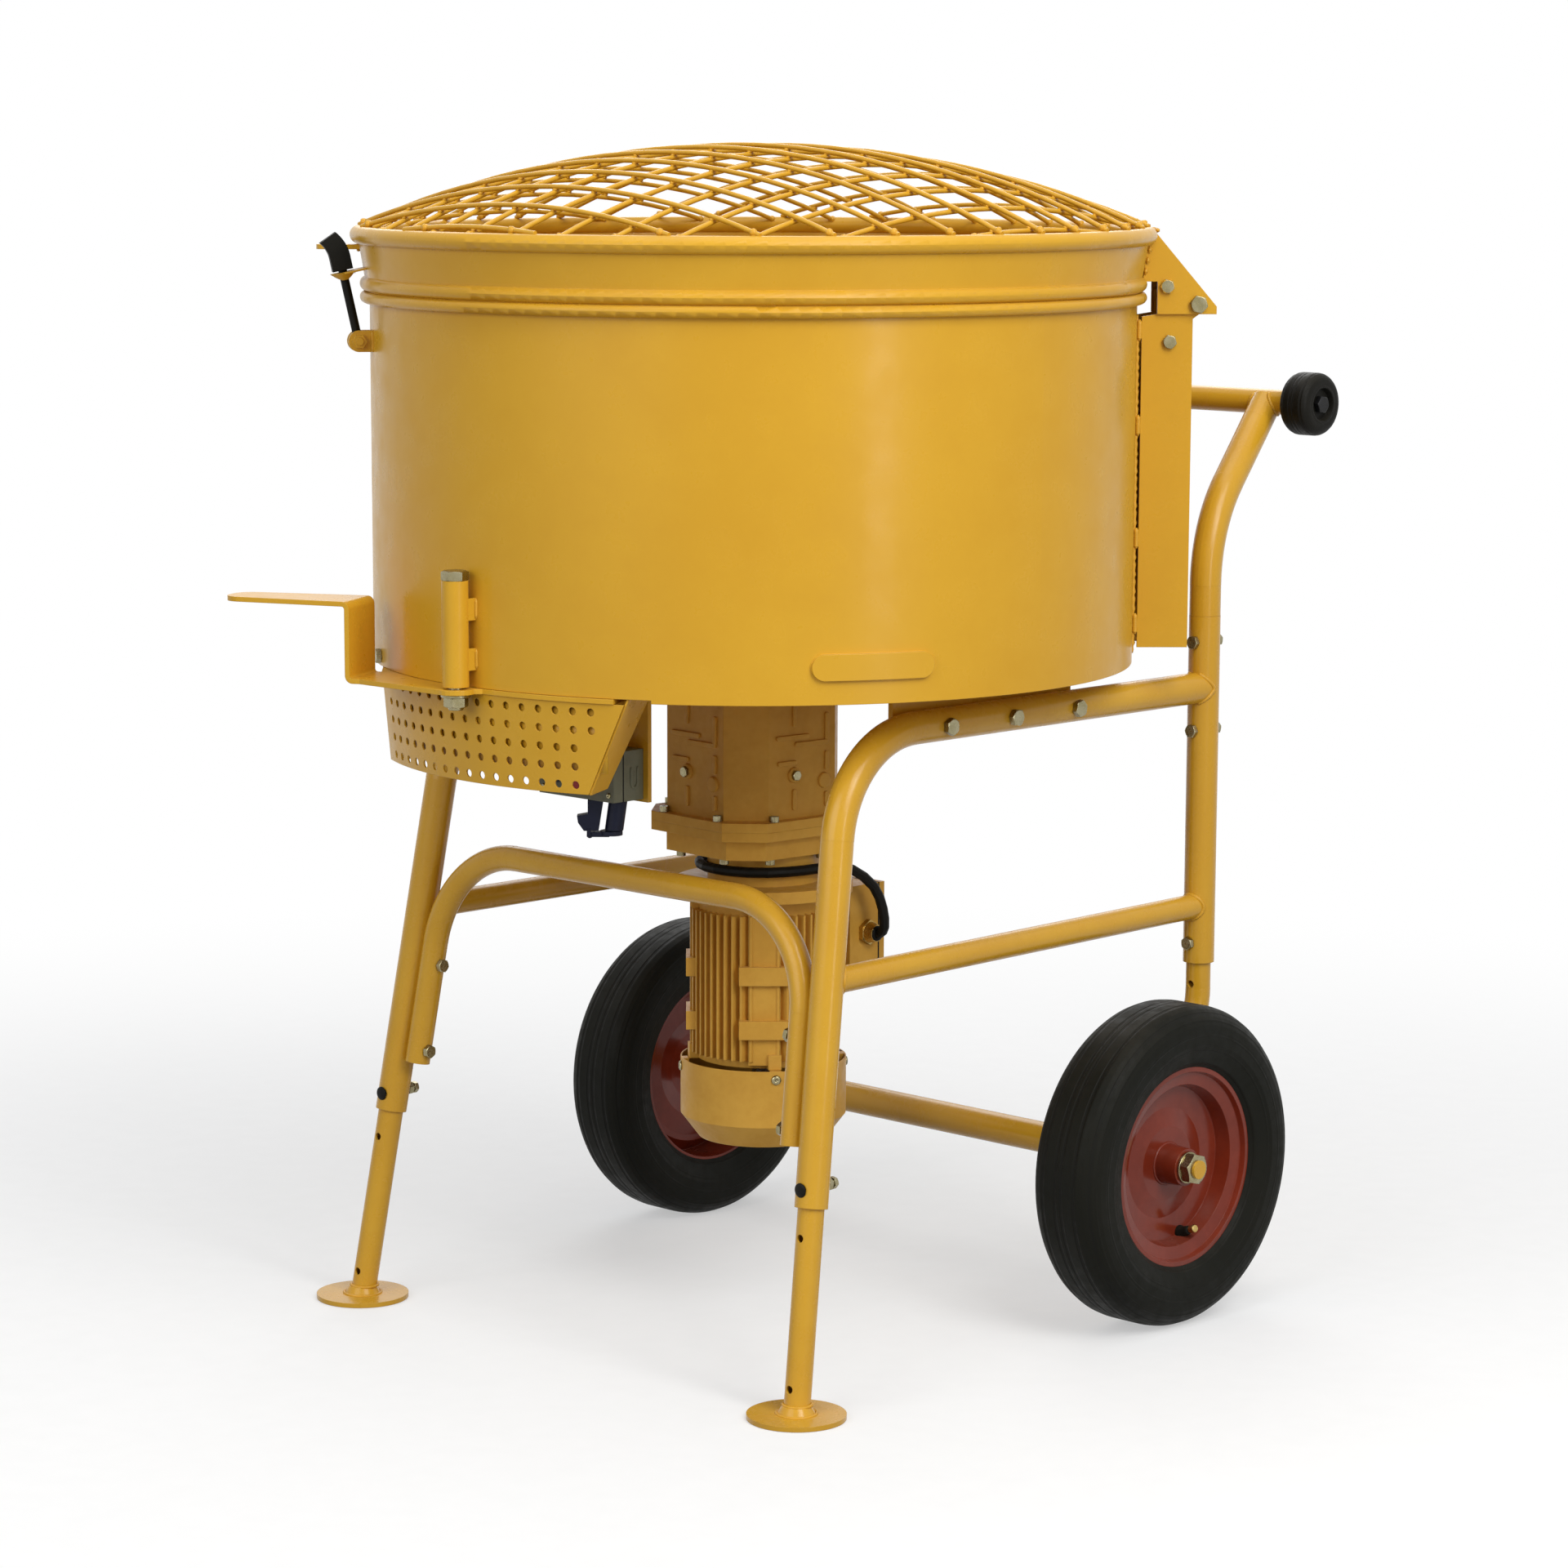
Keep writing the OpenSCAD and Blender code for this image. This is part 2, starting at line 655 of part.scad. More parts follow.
// The pivot bolt with its washer and lock nut, and the hatch's stop bolt on the wall
module hatch_hardware() color(zinc) in_frame() {
    z1 = floor_z - seat + 2 + pivot_len;
    z2 = plate_z - seat;
    translate([pivot.x, pivot.y, 0]) {
        translate([0, 0, z1]) hex_head(24, 10);
        translate([0, 0, z2 - 16]) cylinder(r = pivot_bolt_r, h = z1 - z2 + 17);
        translate([0, 0, z2 - 3]) cylinder(r = 15, h = 3);
        translate([0, 0, z2 - 13]) hex_head(22, 10);
    }
    at_polar(stop_a, drum_r + seat / 3, floor_top + 5) rotate([0, 90, 0]) hex_head(13, 6);
}

// Curved perforated sheet below the discharge opening; its slanted right flange is welded to the floor
module hatch_guard() color(paint) in_frame() {
    z1 = plate_z - seat;
    z0 = z1 - guard_h;
    step = guard_pitch / guard_r * 57.3;
    inset = guard_r - guard_t;
    difference() {
        rotate([0, 0, guard_a[0]]) rotate_extrude(angle = guard_a[1] - guard_a[0], $fn = 128) polygon([
            [guard_r - guard_slant, z0], [guard_r, z1], [inset, z1], [inset - guard_slant, z0]
        ]);
        for (row = [0:4]) for (k = [0:(row < 2 ? 16 : 15)])
            at_polar(guard_a[0] + 4 + k * step, guard_r - 20, z1 - 9 - row * 18.5)
                rotate([0, 90, 0]) cylinder(r = guard_hole_r, h = 40, $fn = 16);
        guard_end() translate([guard_r - 40, 0, -guard_h * 1.5]) cube([80, 100, guard_h * 2]);
    }
    guard_end() translate([0, guard_t, 0]) rotate([90, 0, 0]) linear_extrude(guard_t) polygon([
        [inset - guard_slant - guard_t, -guard_h / cos(guard_tilt)], [inset - 0.4, 0],
        [inset - 0.4, (floor_z - z1) / cos(guard_tilt)],
        [guard_r - 70, (floor_z - z1) / cos(guard_tilt)], [guard_r - 60, -guard_h / cos(guard_tilt)]
    ]);
    at_polar(guard_a[0]) translate([0, guard_t, 0]) rotate([90, 0, 0]) linear_extrude(guard_t) polygon([
        [inset - guard_slant, z0], [inset, z1], [inset - 60, z1], [inset - 40, z0]
    ]);
}

// The plane of the guard's right flange: radial, and leaning over the sheet
module guard_end() at_polar(guard_a[1], 0, plate_z - seat) rotate([-guard_tilt, 0, 0]) children();

// ---- safety grid ----

module grid_collar() color(paint) in_frame() {
    bead(low_bead_R, low_bead_z, collar_low_r);
    bead(top_bead_R, top_bead_z, collar_top_r);
    low = low_bead_z + collar_low_r - 1;
    high = top_bead_z - collar_top_r + 1;
    slope = collar_flare / collar_h;
    r0 = low_bead_R - collar_t / 2 + slope * (low - low_bead_z);
    r1 = low_bead_R - collar_t / 2 + slope * (high - low_bead_z);
    rotate_extrude($fn = 128) polygon([[r0, low], [r0 + collar_t, low], [r1 + collar_t, high], [r1, high]]);
}

// Two families of rods on one dome, crossing at right angles and welded into the upper bead
module grid_mesh() color(paint) in_frame() {
    count = ceil(rod_span / rod_pitch);
    for (k = [-count:count]) {
        y = rod_shift.y + k * rod_pitch;
        x = rod_shift.x + k * rod_pitch;
        if (abs(y) < rod_span - rod_d) grid_rod(y, dome_r);
        if (abs(x) < rod_span - rod_d) rotate([0, 0, 90]) grid_rod(-x, dome_r - rod_d - 0.1);
    }
}

// One rod in the plane y = off, on a sphere of radius R below the dome's top
module grid_rod(off, R) {
    rho = sqrt(R * R - off * off);
    half = asin(sqrt(rod_span * rod_span - off * off) / rho);
    translate([0, off, apex_z - rod_d / 2 - dome_r]) rotate([90, 0, 0]) rotate([0, 0, 90 - half])
        rotate_extrude(angle = 2 * half, $fn = 96) translate([rho, 0]) circle(r = rod_d / 2, $fn = 24);
}

// Two side plates and a sloped spine, welded to the collar and hung on the column's bolt
module hinge_gusset() color(paint) in_frame() difference() {
    tip = [hinge_r + 18.9, hinge_z - 2.3];
    top = [top_bead_R + 5, top_bead_z + 4.5];
    n = unit([top.y - tip.y, tip.x - top.x]) * 3;
    union() {
        for (s = [0, 1]) at_polar(hinge_a)
            translate([0, s * (gusset_w + hinge_plate_t) - gusset_w / 2, 0]) rotate([90, 0, 0])
            linear_extrude(hinge_plate_t) polygon([
                top, tip, tip - [0, 8], [column_r0 + 15.4, hinge_z - 10.3],
                [column_r0 + 15.4, low_bead_z + 2.5], [column_r0, low_bead_z + 2.5],
                [top_bead_R - 2, top_bead_z]
            ]);
        at_polar(hinge_a) translate([0, gusset_w / 2, 0]) rotate([90, 0, 0])
            linear_extrude(gusset_w) polygon([top, tip, tip - n, top - n]);
    }
    hinge_axis_hole(hinge_r, hinge_z, hinge_bolt_r + run_gap);
    hinge_axis_hole(column_r0 + 25.5, hinge_z + 18.5, 4.1);
}

// The lifting tongue, the slotted keeper of the latch and the gusset's rest bolt
module lid_tabs() color(paint) in_frame() {
    at_polar(hinge_a, column_r0 + 25.5, hinge_z + 18.5) cross_bolt(4, gusset_w + 2 * hinge_plate_t + seat);
    at_polar(180 + hinge_a, top_bead_R, top_bead_z - 16) intersection() {
        translate([-4, -13, 0]) cube([49, 26, 5]);
        union() {
            translate([-4, -13, 0]) cube([36, 26, 5]);
            translate([32, 0, 0]) cylinder(r = 13, h = 5);
        }
    }
    difference() {
        latch_frame() translate([0, 0, stem_len - 10]) union() {
            cylinder(r1 = 8, r2 = 15, h = 8);
            translate([-27, -15, 6]) cube([27, 30, 2]);
        }
        latch_frame() translate([-11.5, -grip_t / 2 - 0.5, stem_len - 12]) cube([40, grip_t + 1, 14]);
        rotate_extrude($fn = 128) polygon([
            [0, low_bead_z], [low_bead_R + collar_t / 2, low_bead_z],
            [top_bead_R + collar_t / 2, top_bead_z], [0, top_bead_z]
        ]);
    }
}

// ---- latch ----

// The stem's own frame: +Z along the stem, from the pin
module latch_frame() at_polar(latch_a, latch_r, pin_z) rotate([0, latch_lean, 0]) children();

module latch_stem() color(rubber) in_frame() latch_frame() difference() {
    union() {
        rotate([90, 0, 0]) cylinder(r = eye_r, h = lug_gap - 2 * seat, center = true);
        cylinder(r = stem_r, h = stem_len + grip_len - 14);
    }
    rotate([90, 0, 0]) cylinder(r = pin_r + run_gap, h = 30, center = true);
}

// The rubber grip: flat, curved outwards, and turned across the keeper to lock it
module latch_grip() color(rubber) in_frame() latch_frame() translate([0, 0, stem_len]) difference() {
    R = 60;
    steps = [0:3:30];
    w = grip_w / 2;
    translate([0, grip_t / 2, 0]) rotate([90, 0, 0]) linear_extrude(grip_t) polygon(concat(
        [[w, 0], [-w, 0]],
        [for (a = steps) [R - (R + w) * cos(a), 14 + (R + w) * sin(a) * (grip_len - 14) / 36]],
        [for (a = steps) [R - (R - w) * cos(30 - a), 14 + (R - w) * sin(30 - a) * (grip_len - 14) / 36]]
    ));
    translate([0, 0, -tiny]) cylinder(r = stem_r + run_gap, h = grip_len - 13.5 + tiny);
}

// ---- hatch ----

// The plate under the floor with its upright and lever, on the pivot bolt
module hatch_plate() color(paint) in_frame() difference() {
    union() {
        translate([0, 0, plate_z]) linear_extrude(hatch_t) polygon(concat(
            arc(opening_r[0] - 12, opening_a[0] - 4, opening_a[1] + 4),
            arc(inner_r - 70, opening_a[1] + 4, guard_a[1] - 1.5),
            arc(drum_r + 2, guard_a[1] - 1.5, pivot_a + 3),
            [for (a = [30:-15:-105]) pivot + pivot_land * [cos(a), sin(a)]],
            [root_near - lever_dir * 12 + root_dir * 2, root_near + root_dir * lever_w - lever_dir * 12],
            arc(inner_r - 5, opening_a[0] - 5, opening_a[0] - 4)
        ));
        hatch_handle();
    }
    translate([pivot.x, pivot.y, plate_z - tiny])
        cylinder(r = pivot_bolt_r + run_gap, h = hatch_t + 2 * tiny);
}

// The bent strip of the handle: up from the plate, then outwards, with a narrowed rounded end
module hatch_handle() intersection() {
    R = 8;
    r = R - hatch_t;
    H = handle_rise + hatch_t;
    arc = [0:15:90];
    translate([root_mid.x, root_mid.y, plate_z + 0.02]) rotate([0, 0, atan2(lever_dir.y, lever_dir.x)])
        translate([0, lever_w / 2 + 5, 0]) rotate([90, 0, 0]) linear_extrude(lever_w + 10) polygon(concat(
            [[-20, hatch_t], [-20, 0]],
            [for (a = arc) [-R + R * sin(a), R - R * cos(a)]],
            [for (a = arc) [r * (1 - cos(a)), H - R + r * sin(a)]],
            [[lever_len, H - hatch_t], [lever_len, H]],
            [for (a = arc) [r - R * sin(a), H - R + R * cos(a)]],
            [for (a = arc) [-R + r * cos(a), R - r * sin(a)]]
        ));
    translate([0, 0, plate_z - tiny]) linear_extrude(H + 2 * tiny) polygon(concat(
        [root_near - lever_dir * 25, root_near + root_dir * lever_w - lever_dir * 25],
        [root_near + root_dir * lever_w],
        [for (a = [90:-10:0]) lever_tip(1, a)],
        [for (a = [0:10:90]) lever_tip(-1, a)],
        [root_near]
    ));
}

// A point on one rounded corner of the lever's end
function lever_tip(side, a) =
    tip_end + root_dir * side * (tip_w / 2 - tip_r + tip_r * sin(a)) + lever_dir * tip_r * cos(a);

// ---- frame ----

// Leg, top bar, lower bar and rear sleeve of one side
module side_frame(side) in_frame() on_side(side) difference() {
    leg = [leg_at(leg_end_z), corner, [upright_x, upright_y, top_bar_z]];
    inner = [leg_at(leg_end_z), corner, [upright_x, upright_y - tube_r - 2, top_bar_z]];
    low_0 = leg_at(low_bar_z);
    low_1 = [upright_x, upright_y, low_bar_z];
    low_u = unit(low_1 - low_0);
    union() {
        pipe(leg, leg_bend, tube_r);
        bar(low_0, low_1, thin_r);
        translate([upright_x, upright_y, upright_end_z])
            cylinder(r = tube_r + 0.15, h = handle_joint_z - upright_end_z);
    }
    pipe(inner, leg_bend, bore_r, tiny);
    bar(low_0 + low_u * (tube_r + 2), low_1 - low_u * (tube_r + 2), thin_r - thin_wall);
    translate([upright_x, upright_y, upright_end_z - tiny])
        cylinder(r = bore_r, h = handle_joint_z - upright_end_z + 2 * tiny);
    for (z = concat(upright_bolt_z, [rear_clamp_z])) translate([upright_x, upright_y, z])
        rotate([90, 0, 0]) cylinder(r = 4.1, h = z == rear_clamp_z ? 30 : 60, center = z != rear_clamp_z);
    for (y = top_bolt_y) translate([upright_x, y, top_bar_z]) rotate([0, 90, 0])
        cylinder(r = 5.1, h = 60, center = true);
    for (z = hoop_bolt_z) translate(leg_at(z) - [tube_r + 4, 0, 0]) rotate([0, 90, 0])
        cylinder(r = 4.1, h = tube_r);
    translate(leg_at(clamp_z)) rotate([90, 0, 0]) cylinder(r = 6, h = 30);
    translate(leg_at(clamp_z)) rotate([-90, 0, 0]) cylinder(r = 4.1, h = 30);
}

module side_frame_right() color(paint) side_frame(1);
module side_frame_left() color(paint) side_frame(-1);

// Bent hoop that ties the front legs together
module front_hoop() color(paint) in_frame() {
    y_top = leg_at(hoop_z).y;
    side_gap = tube_r + thin_r + 0.05;
    low = leg_at(hoop_end_z) - [side_gap, 0, 0];
    top = [leg_at(hoop_z).x - side_gap, y_top, hoop_z];
    points = [low, top, [-top.x, top.y, top.z], [-low.x, low.y, low.z]];
    difference() {
        pipe(points, hoop_bend, thin_r);
        pipe(points, hoop_bend, thin_r - thin_wall, tiny);
        for (z = hoop_bolt_z) for (s = [-1, 1]) {
            c = leg_at(z);
            translate([s * c.x, c.y, c.z]) rotate([0, -s * 90, 0]) cylinder(r = 4.1, h = 60);
        }
    }
}

// Both handle tubes with their spigots, and the crossbar
module handle_bar() color(paint) in_frame() difference() {
    union() {
        for (s = [-1, 1]) on_side(s) {
            pipe([
                [upright_x, upright_y, handle_joint_z + 0.1], [upright_x, upright_y, handle_corner_z],
                [cross_x, cross_y, cross_z]
            ], handle_bend, tube_r);
            translate([upright_x, upright_y, upright_bolt_z[0] - 20])
                cylinder(r = thin_r, h = handle_joint_z - upright_bolt_z[0] + 30);
        }
        bar([-cross_half(), cross_y, cross_z], [cross_half(), cross_y, cross_z], thin_r);
    }
    for (s = [-1, 1]) on_side(s) {
        translate([upright_x, upright_y, upright_bolt_z[0] - 20 - tiny])
            cylinder(r = thin_r - thin_wall, h = handle_joint_z - upright_bolt_z[0] + 40);
        for (z = upright_bolt_z) translate([upright_x, upright_y, z]) rotate([90, 0, 0])
            cylinder(r = 4.1, h = 60, center = true);
        translate([cross_half() - 25, cross_y, cross_z]) rotate([0, 90, 0])
            cylinder(r = roller_bolt_r + run_gap, h = 30);
    }
}
function cross_half() = roller_x - roller_w / 2 - seat;

// Angle brackets that carry the drum on the top bars
module drum_brackets() color(paint) in_frame() for (s = [-1, 1]) on_side(s) difference() {
    union() {
        translate([bracket_x, top_bolt_y[0] - 48, top_bar_z - 16])
            cube([bracket_t, top_bolt_y[2] - top_bolt_y[0] + 76, floor_z - top_bar_z + 16]);
        translate([bracket_x - 60, top_bolt_y[0] - 48, floor_z - bracket_t])
            cube([66, top_bolt_y[2] - top_bolt_y[0] + 76, bracket_t]);
    }
    for (y = top_bolt_y) translate([upright_x, y, top_bar_z]) rotate([0, 90, 0])
        cylinder(r = 5.1, h = 60, center = true);
}

// Bolts of the brackets, uprights and hoop, and the clamp screws of the telescopic tubes
module frame_bolts() color(zinc) in_frame() for (s = [-1, 1]) on_side(s) {
    for (y = top_bolt_y) translate([upright_x + tube_r + 0.2, y, top_bar_z]) rotate([0, 90, 0]) {
        translate([0, 0, -2 * tube_r - bracket_t - 14]) cylinder(r = 5, h = 2 * tube_r + bracket_t + 17);
        hex_head(16, 6.5);
        translate([0, 0, -2 * tube_r - bracket_t - 8.6]) hex_head(16, 8);
    }
    for (z = upright_bolt_z) translate([upright_x, upright_y - tube_r - 0.2, z]) rotate([90, 0, 0]) {
        translate([0, 0, -2 * tube_r - 10]) cylinder(r = 4, h = 2 * tube_r + 13);
        hex_head(13, 5.5);
        translate([0, 0, -2 * tube_r - 7.1]) hex_head(13, 6.5);
    }
    translate([upright_x, upright_y - tube_r - 0.2, rear_clamp_z]) rotate([90, 0, 0]) {
        translate([0, 0, -tube_r + bore_r + 0.1]) cylinder(r = 4, h = tube_r - bore_r + 6);
        hex_head(13, 5.5);
    }
    for (z = hoop_bolt_z) translate(leg_at(z) - [tube_r + 2 * thin_r + 0.4, 0, 0]) rotate([0, 90, 0]) {
        translate([0, 0, -5.5]) cylinder(r = 4, h = 2 * thin_r + 8.5);
        translate([0, 0, -5.5]) hex_head(13, 5.5);
    }
    translate(leg_at(clamp_z)) rotate([-90, 0, 0]) {
        translate([0, 0, thin_r + 1.1]) cylinder(r = 4, h = 15.3);
        translate([0, 0, tube_r + 0.9]) hex_head(13, 6);
        translate([0, 0, tube_r + 10]) hex_head(11, 5);
    }
}

// Inner tube of a front leg with its foot plate
module leg_inner(side) in_frame() on_side(side) difference() {
    start = foot_0 + leg_dir * 2.6;
    union() {
        bar(start, foot_0 + leg_dir * leg_inner_len, thin_r);
        translate([foot_x, -foot_y, 0]) {
            cylinder(r = foot_r, h = foot_t);
            translate([0, 0, foot_t - 1]) cylinder(r1 = foot_r_cone, r2 = 14.5, h = 9);
        }
    }
    bar(start + leg_dir * 12, foot_0 + leg_dir * (leg_inner_len + tiny), thin_r - thin_wall);
    for (z = [30, leg_end_z - 28, clamp_z + 100]) translate(leg_at(z)) rotate([90, 0, 0])
        cylinder(r = 4, h = 60, center = true);
}

module leg_right() color(paint) leg_inner(1);
module leg_left() color(paint) leg_inner(-1);

// Rear inner tubes, bent forward to the axle, with the axle and its journals
module axle_carrier() color(paint) in_frame() difference() {
    drop_z = axle_z + 128;
    union() {
        for (s = [-1, 1]) on_side(s) pipe([
            [upright_x, upright_y, carrier_top_z], [upright_x, upright_y, drop_z], [upright_x, axle_y, axle_z]
        ], 80, thin_r);
        bar([-axle_half(), axle_y, axle_z], [axle_half(), axle_y, axle_z], tube_r);
        bar([-journal_end(), axle_y, axle_z], [journal_end(), axle_y, axle_z], journal_r);
    }
    for (s = [-1, 1]) on_side(s) {
        translate([upright_x, upright_y, drop_z + 40])
            cylinder(r = thin_r - thin_wall, h = carrier_top_z - drop_z);
        translate([upright_x, upright_y, upright_end_z - 24]) rotate([90, 0, 0])
            cylinder(r = 4, h = 60, center = true);
    }
    bar([-axle_half() + 40, axle_y, axle_z], [axle_half() - 40, axle_y, axle_z], tube_r - 3.3);
}
function axle_half() = wheel_x - rim_w / 2 - 14;
function journal_end() = wheel_x + rim_w / 2 + 20;
hub_w = rim_w + 4;

// Collars, washers and nuts that hold the wheels on the axle
module axle_hardware() color(zinc) in_frame() for (s = [-1, 1]) on_side(s)
    translate([0, axle_y, axle_z]) rotate([0, 90, 0]) {
        translate([0, 0, axle_half() + 0.05]) ring(23, journal_r, wheel_x - hub_w / 2 - seat - axle_half());
        translate([0, 0, wheel_x + hub_w / 2 + seat]) ring(17, journal_r, 3);
        translate([0, 0, wheel_x + hub_w / 2 + seat + 3]) difference() {
            hex_head(30, 12);
            translate([0, 0, -tiny]) cylinder(r = journal_r, h = 12 + 2 * tiny);
        }
    }

// ---- wheels ----

module wheel_frame(side) in_frame() translate([side * wheel_x, axle_y, axle_z])
    rotate([0, side * 90, 0]) children();

// Tyre with rounded shoulders; its bore fits the rim
module tyre(side) wheel_frame(side) rotate_extrude($fn = 128) tyre_section();
module tyre_section() {
    half = tyre_w / 2;
    shoulder = 26;
    wall_r = wheel_r - shoulder;
    foot = rim_w / 2;
    polygon(concat(
        [[rim_r, -foot], [rim_r + 6, -foot - 6], [wall_r - 14, -half]],
        [for (a = [0:15:90]) [wall_r + shoulder * sin(a), -half + shoulder * (1 - cos(a))]],
        [for (a = [90:-15:0]) [wall_r + shoulder * sin(a), half - shoulder * (1 - cos(a))]],
        [[wall_r - 14, half], [rim_r + 6, foot + 6], [rim_r, foot]]
    ));
}
module tyre_right() color(rubber) tyre(1);
module tyre_left() color(rubber) tyre(-1);

// Pressed rim: a drum with rolled edges, a dished disc and a hub tube
module rim(side) wheel_frame(side) rotate_extrude($fn = 128) rim_section();
module rim_section() {
    t = 3;
    f = rim_w / 2;
    h = hub_w / 2;
    bore = journal_r + run_gap;
    polygon([
        [rim_r, -f], [rim_r, f], [rim_r - 5, f], [rim_r - 7, f - 6], [rim_r - 20, f - 9],
        [rim_r - 24, f - 26], [60, 2], [40, 6], [22, 6], [20, h], [bore, h], [bore, -h], [20, -h],
        [20, 6 - t], [40, 6 - t], [60, 2 - t], [rim_r - 24, f - 26 - t], [rim_r - 17, f - 26 - t],
        [rim_r - t, f - 14], [rim_r - t, -f]
    ]);
}
module rim_right() color(rim_red) rim(1);
module rim_left() color(rim_red) rim(-1);

module roller(side) in_frame() translate([side * roller_x, cross_y, cross_z]) rotate([0, side * 90, 0])
    rotate_extrude() {
        w = roller_w / 2;
        bore = roller_bolt_r + run_gap;
        polygon(concat(
            [[bore, -w], [roller_r - 10, -w]],
            [for (a = [0:15:90]) [roller_r - 10 + 10 * sin(a), -w + 10 * (1 - cos(a))]],
            [for (a = [90:-15:0]) [roller_r - 10 + 10 * sin(a), w - 10 * (1 - cos(a))]],
            [[18, w], [16, w - 6], [bore, w - 6]]
        ));
    }
module roller_right() color(rubber) roller(1);
module roller_left() color(rubber) roller(-1);

module roller_bolts() color(rubber) in_frame() for (s = [-1, 1]) on_side(s)
    translate([roller_x + roller_w / 2 - 6 + seat, cross_y, cross_z]) rotate([0, 90, 0]) {
        translate([0, 0, -roller_w - 14]) cylinder(r = roller_bolt_r, h = roller_w + 16);
        hex_head(17, 6.5);
    }

// ---- drive ----

module about_motor(z) translate([motor_c.x, motor_c.y, z]) children();
module about_lay(z) translate([lay_c.x, lay_c.y, z]) children();

// Places a child at the eight flange bolts: one near each corner of the chamfered square
module at_flange(d, z) for (k = [0:3]) for (s = [-1, 1])
    rotate([0, 0, drive_turn + 90 * k + s * 18]) translate([d, 0, z]) children();

// Gear case: closed at the top around the mixer shaft, open at the bottom
module gearbox_housing() color(paint) in_frame() difference() {
    union() {
        rotate([0, 0, drive_turn]) {
            translate([0, 0, cover_z1]) chamfered(gear_half, corner_w, gear_top - cover_z1 + tiny);
            translate([0, 0, cover_z1 - 10]) chamfered(flange_half, corner_w, 10);
        }
        translate([0, 0, gear_top]) cylinder(r = mount_r, h = mount_t);
        translate([0, 0, gear_top]) cylinder(r = boss_r, h = floor_top - gear_top);
    }
    rotate([0, 0, drive_turn]) translate([0, 0, cover_z1 - 10 - tiny])
        chamfered(gear_half - 5, corner_w, lay_top_z - cover_z1 + 10 + tiny);
    translate([0, 0, lay_top_z - tiny]) cylinder(r = mixer_r + 4, h = 100);
    for (z = bearing_z) translate([0, 0, z]) cylinder(r = bearing_r, h = bearing_h);
    about_lay(lay_top_z - tiny) cylinder(r = lay_r + run_gap, h = 12);
    for (k = [0:3]) at_polar(mount_a + 90 * k, mount_hole_r, gear_top - tiny)
        cylinder(r = 5.1, h = mount_t + 2 * tiny);
    at_flange(flange_bolt_r, cover_z0) cylinder(r = 3.1, h = 30);
}

// Bottom plate of the gear case, with the layshaft's lower pocket
module gearbox_cover() color(paint) in_frame() difference() {
    union() {
        rotate([0, 0, drive_turn]) translate([0, 0, cover_z0]) chamfered(flange_half, corner_w, cover_t);
        about_lay(cover_z0) cylinder(r = lay_r + 5, h = stage1_z - cover_z0 - 2);
    }
    about_motor(cover_z0 - tiny) cylinder(r = shaft_r + 2, h = 60);
    about_lay(cover_z0 + 4) cylinder(r = lay_r + run_gap, h = 60);
    at_flange(flange_bolt_r, cover_z0 - tiny) cylinder(r = 3.1, h = 30);
    at_flange(adapter_bolt_r, cover_z0 - tiny) cylinder(r = 3.1, h = 8);
}

// Screws of both flanges, and the bolts that hold the gear case under the drum
module flange_screws() color(zinc) in_frame() {
    at_flange(flange_bolt_r, cover_z1) {
        translate([0, 0, cover_z0 - cover_z1 + 2]) cylinder(r = 3, h = cover_z1 - cover_z0 - 2);
        socket_head(5, 6);
    }
    at_flange(adapter_bolt_r, adapter_z1 - adapter_t) mirror([0, 0, 1]) {
        translate([0, 0, -adapter_t - 6]) cylinder(r = 3, h = adapter_t + 6);
        socket_head(5, 6);
    }
    for (k = [0:3]) at_polar(mount_a + 90 * k, mount_hole_r, gear_top) {
        cylinder(r = 5, h = floor_top - gear_top);
        translate([0, 0, -6.5]) hex_head(16, 6.5);
    }
}

// A round head with a hexagonal socket
module socket_head(r, h) difference() {
    cylinder(r = r, h = h, $fn = 32);
    translate([0, 0, h / 2]) cylinder(r = r / 2, h = h, $fn = 6);
}

// Plain bearing rings of the mixer shaft and the motor shaft
module drive_bearings() color(steel) in_frame() {
    for (z = bearing_z) translate([0, 0, z]) ring(bearing_r, mixer_r + run_gap, bearing_h);
    for (z = motor_bearing_z) about_motor(z) ring(shaft_r + 14, shaft_r + run_gap, 12);
}

// Flange and neck between the motor and the gear case
module motor_adapter() color(paint) in_frame() difference() {
    union() {
        rotate([0, 0, drive_turn]) translate([0, 0, adapter_z1 - adapter_t])
            chamfered(adapter_half, corner_w - 6, adapter_t);
        about_motor(motor_z1 + 12) cylinder(r = neck_r, h = adapter_z1 - adapter_t - motor_z1 - 11);
        about_motor(motor_z1) cylinder(r = fin_r + 15, h = 13, $fn = 96);
    }
    about_motor(motor_z1 - tiny) cylinder(r = shaft_r + 2, h = 100);
    about_motor(motor_z1 + 8) cylinder(r = neck_r - 8, h = adapter_z1 - motor_z1 - 16);
    at_flange(adapter_bolt_r, adapter_z1 - adapter_t - tiny) cylinder(r = 3.1, h = 30);
}

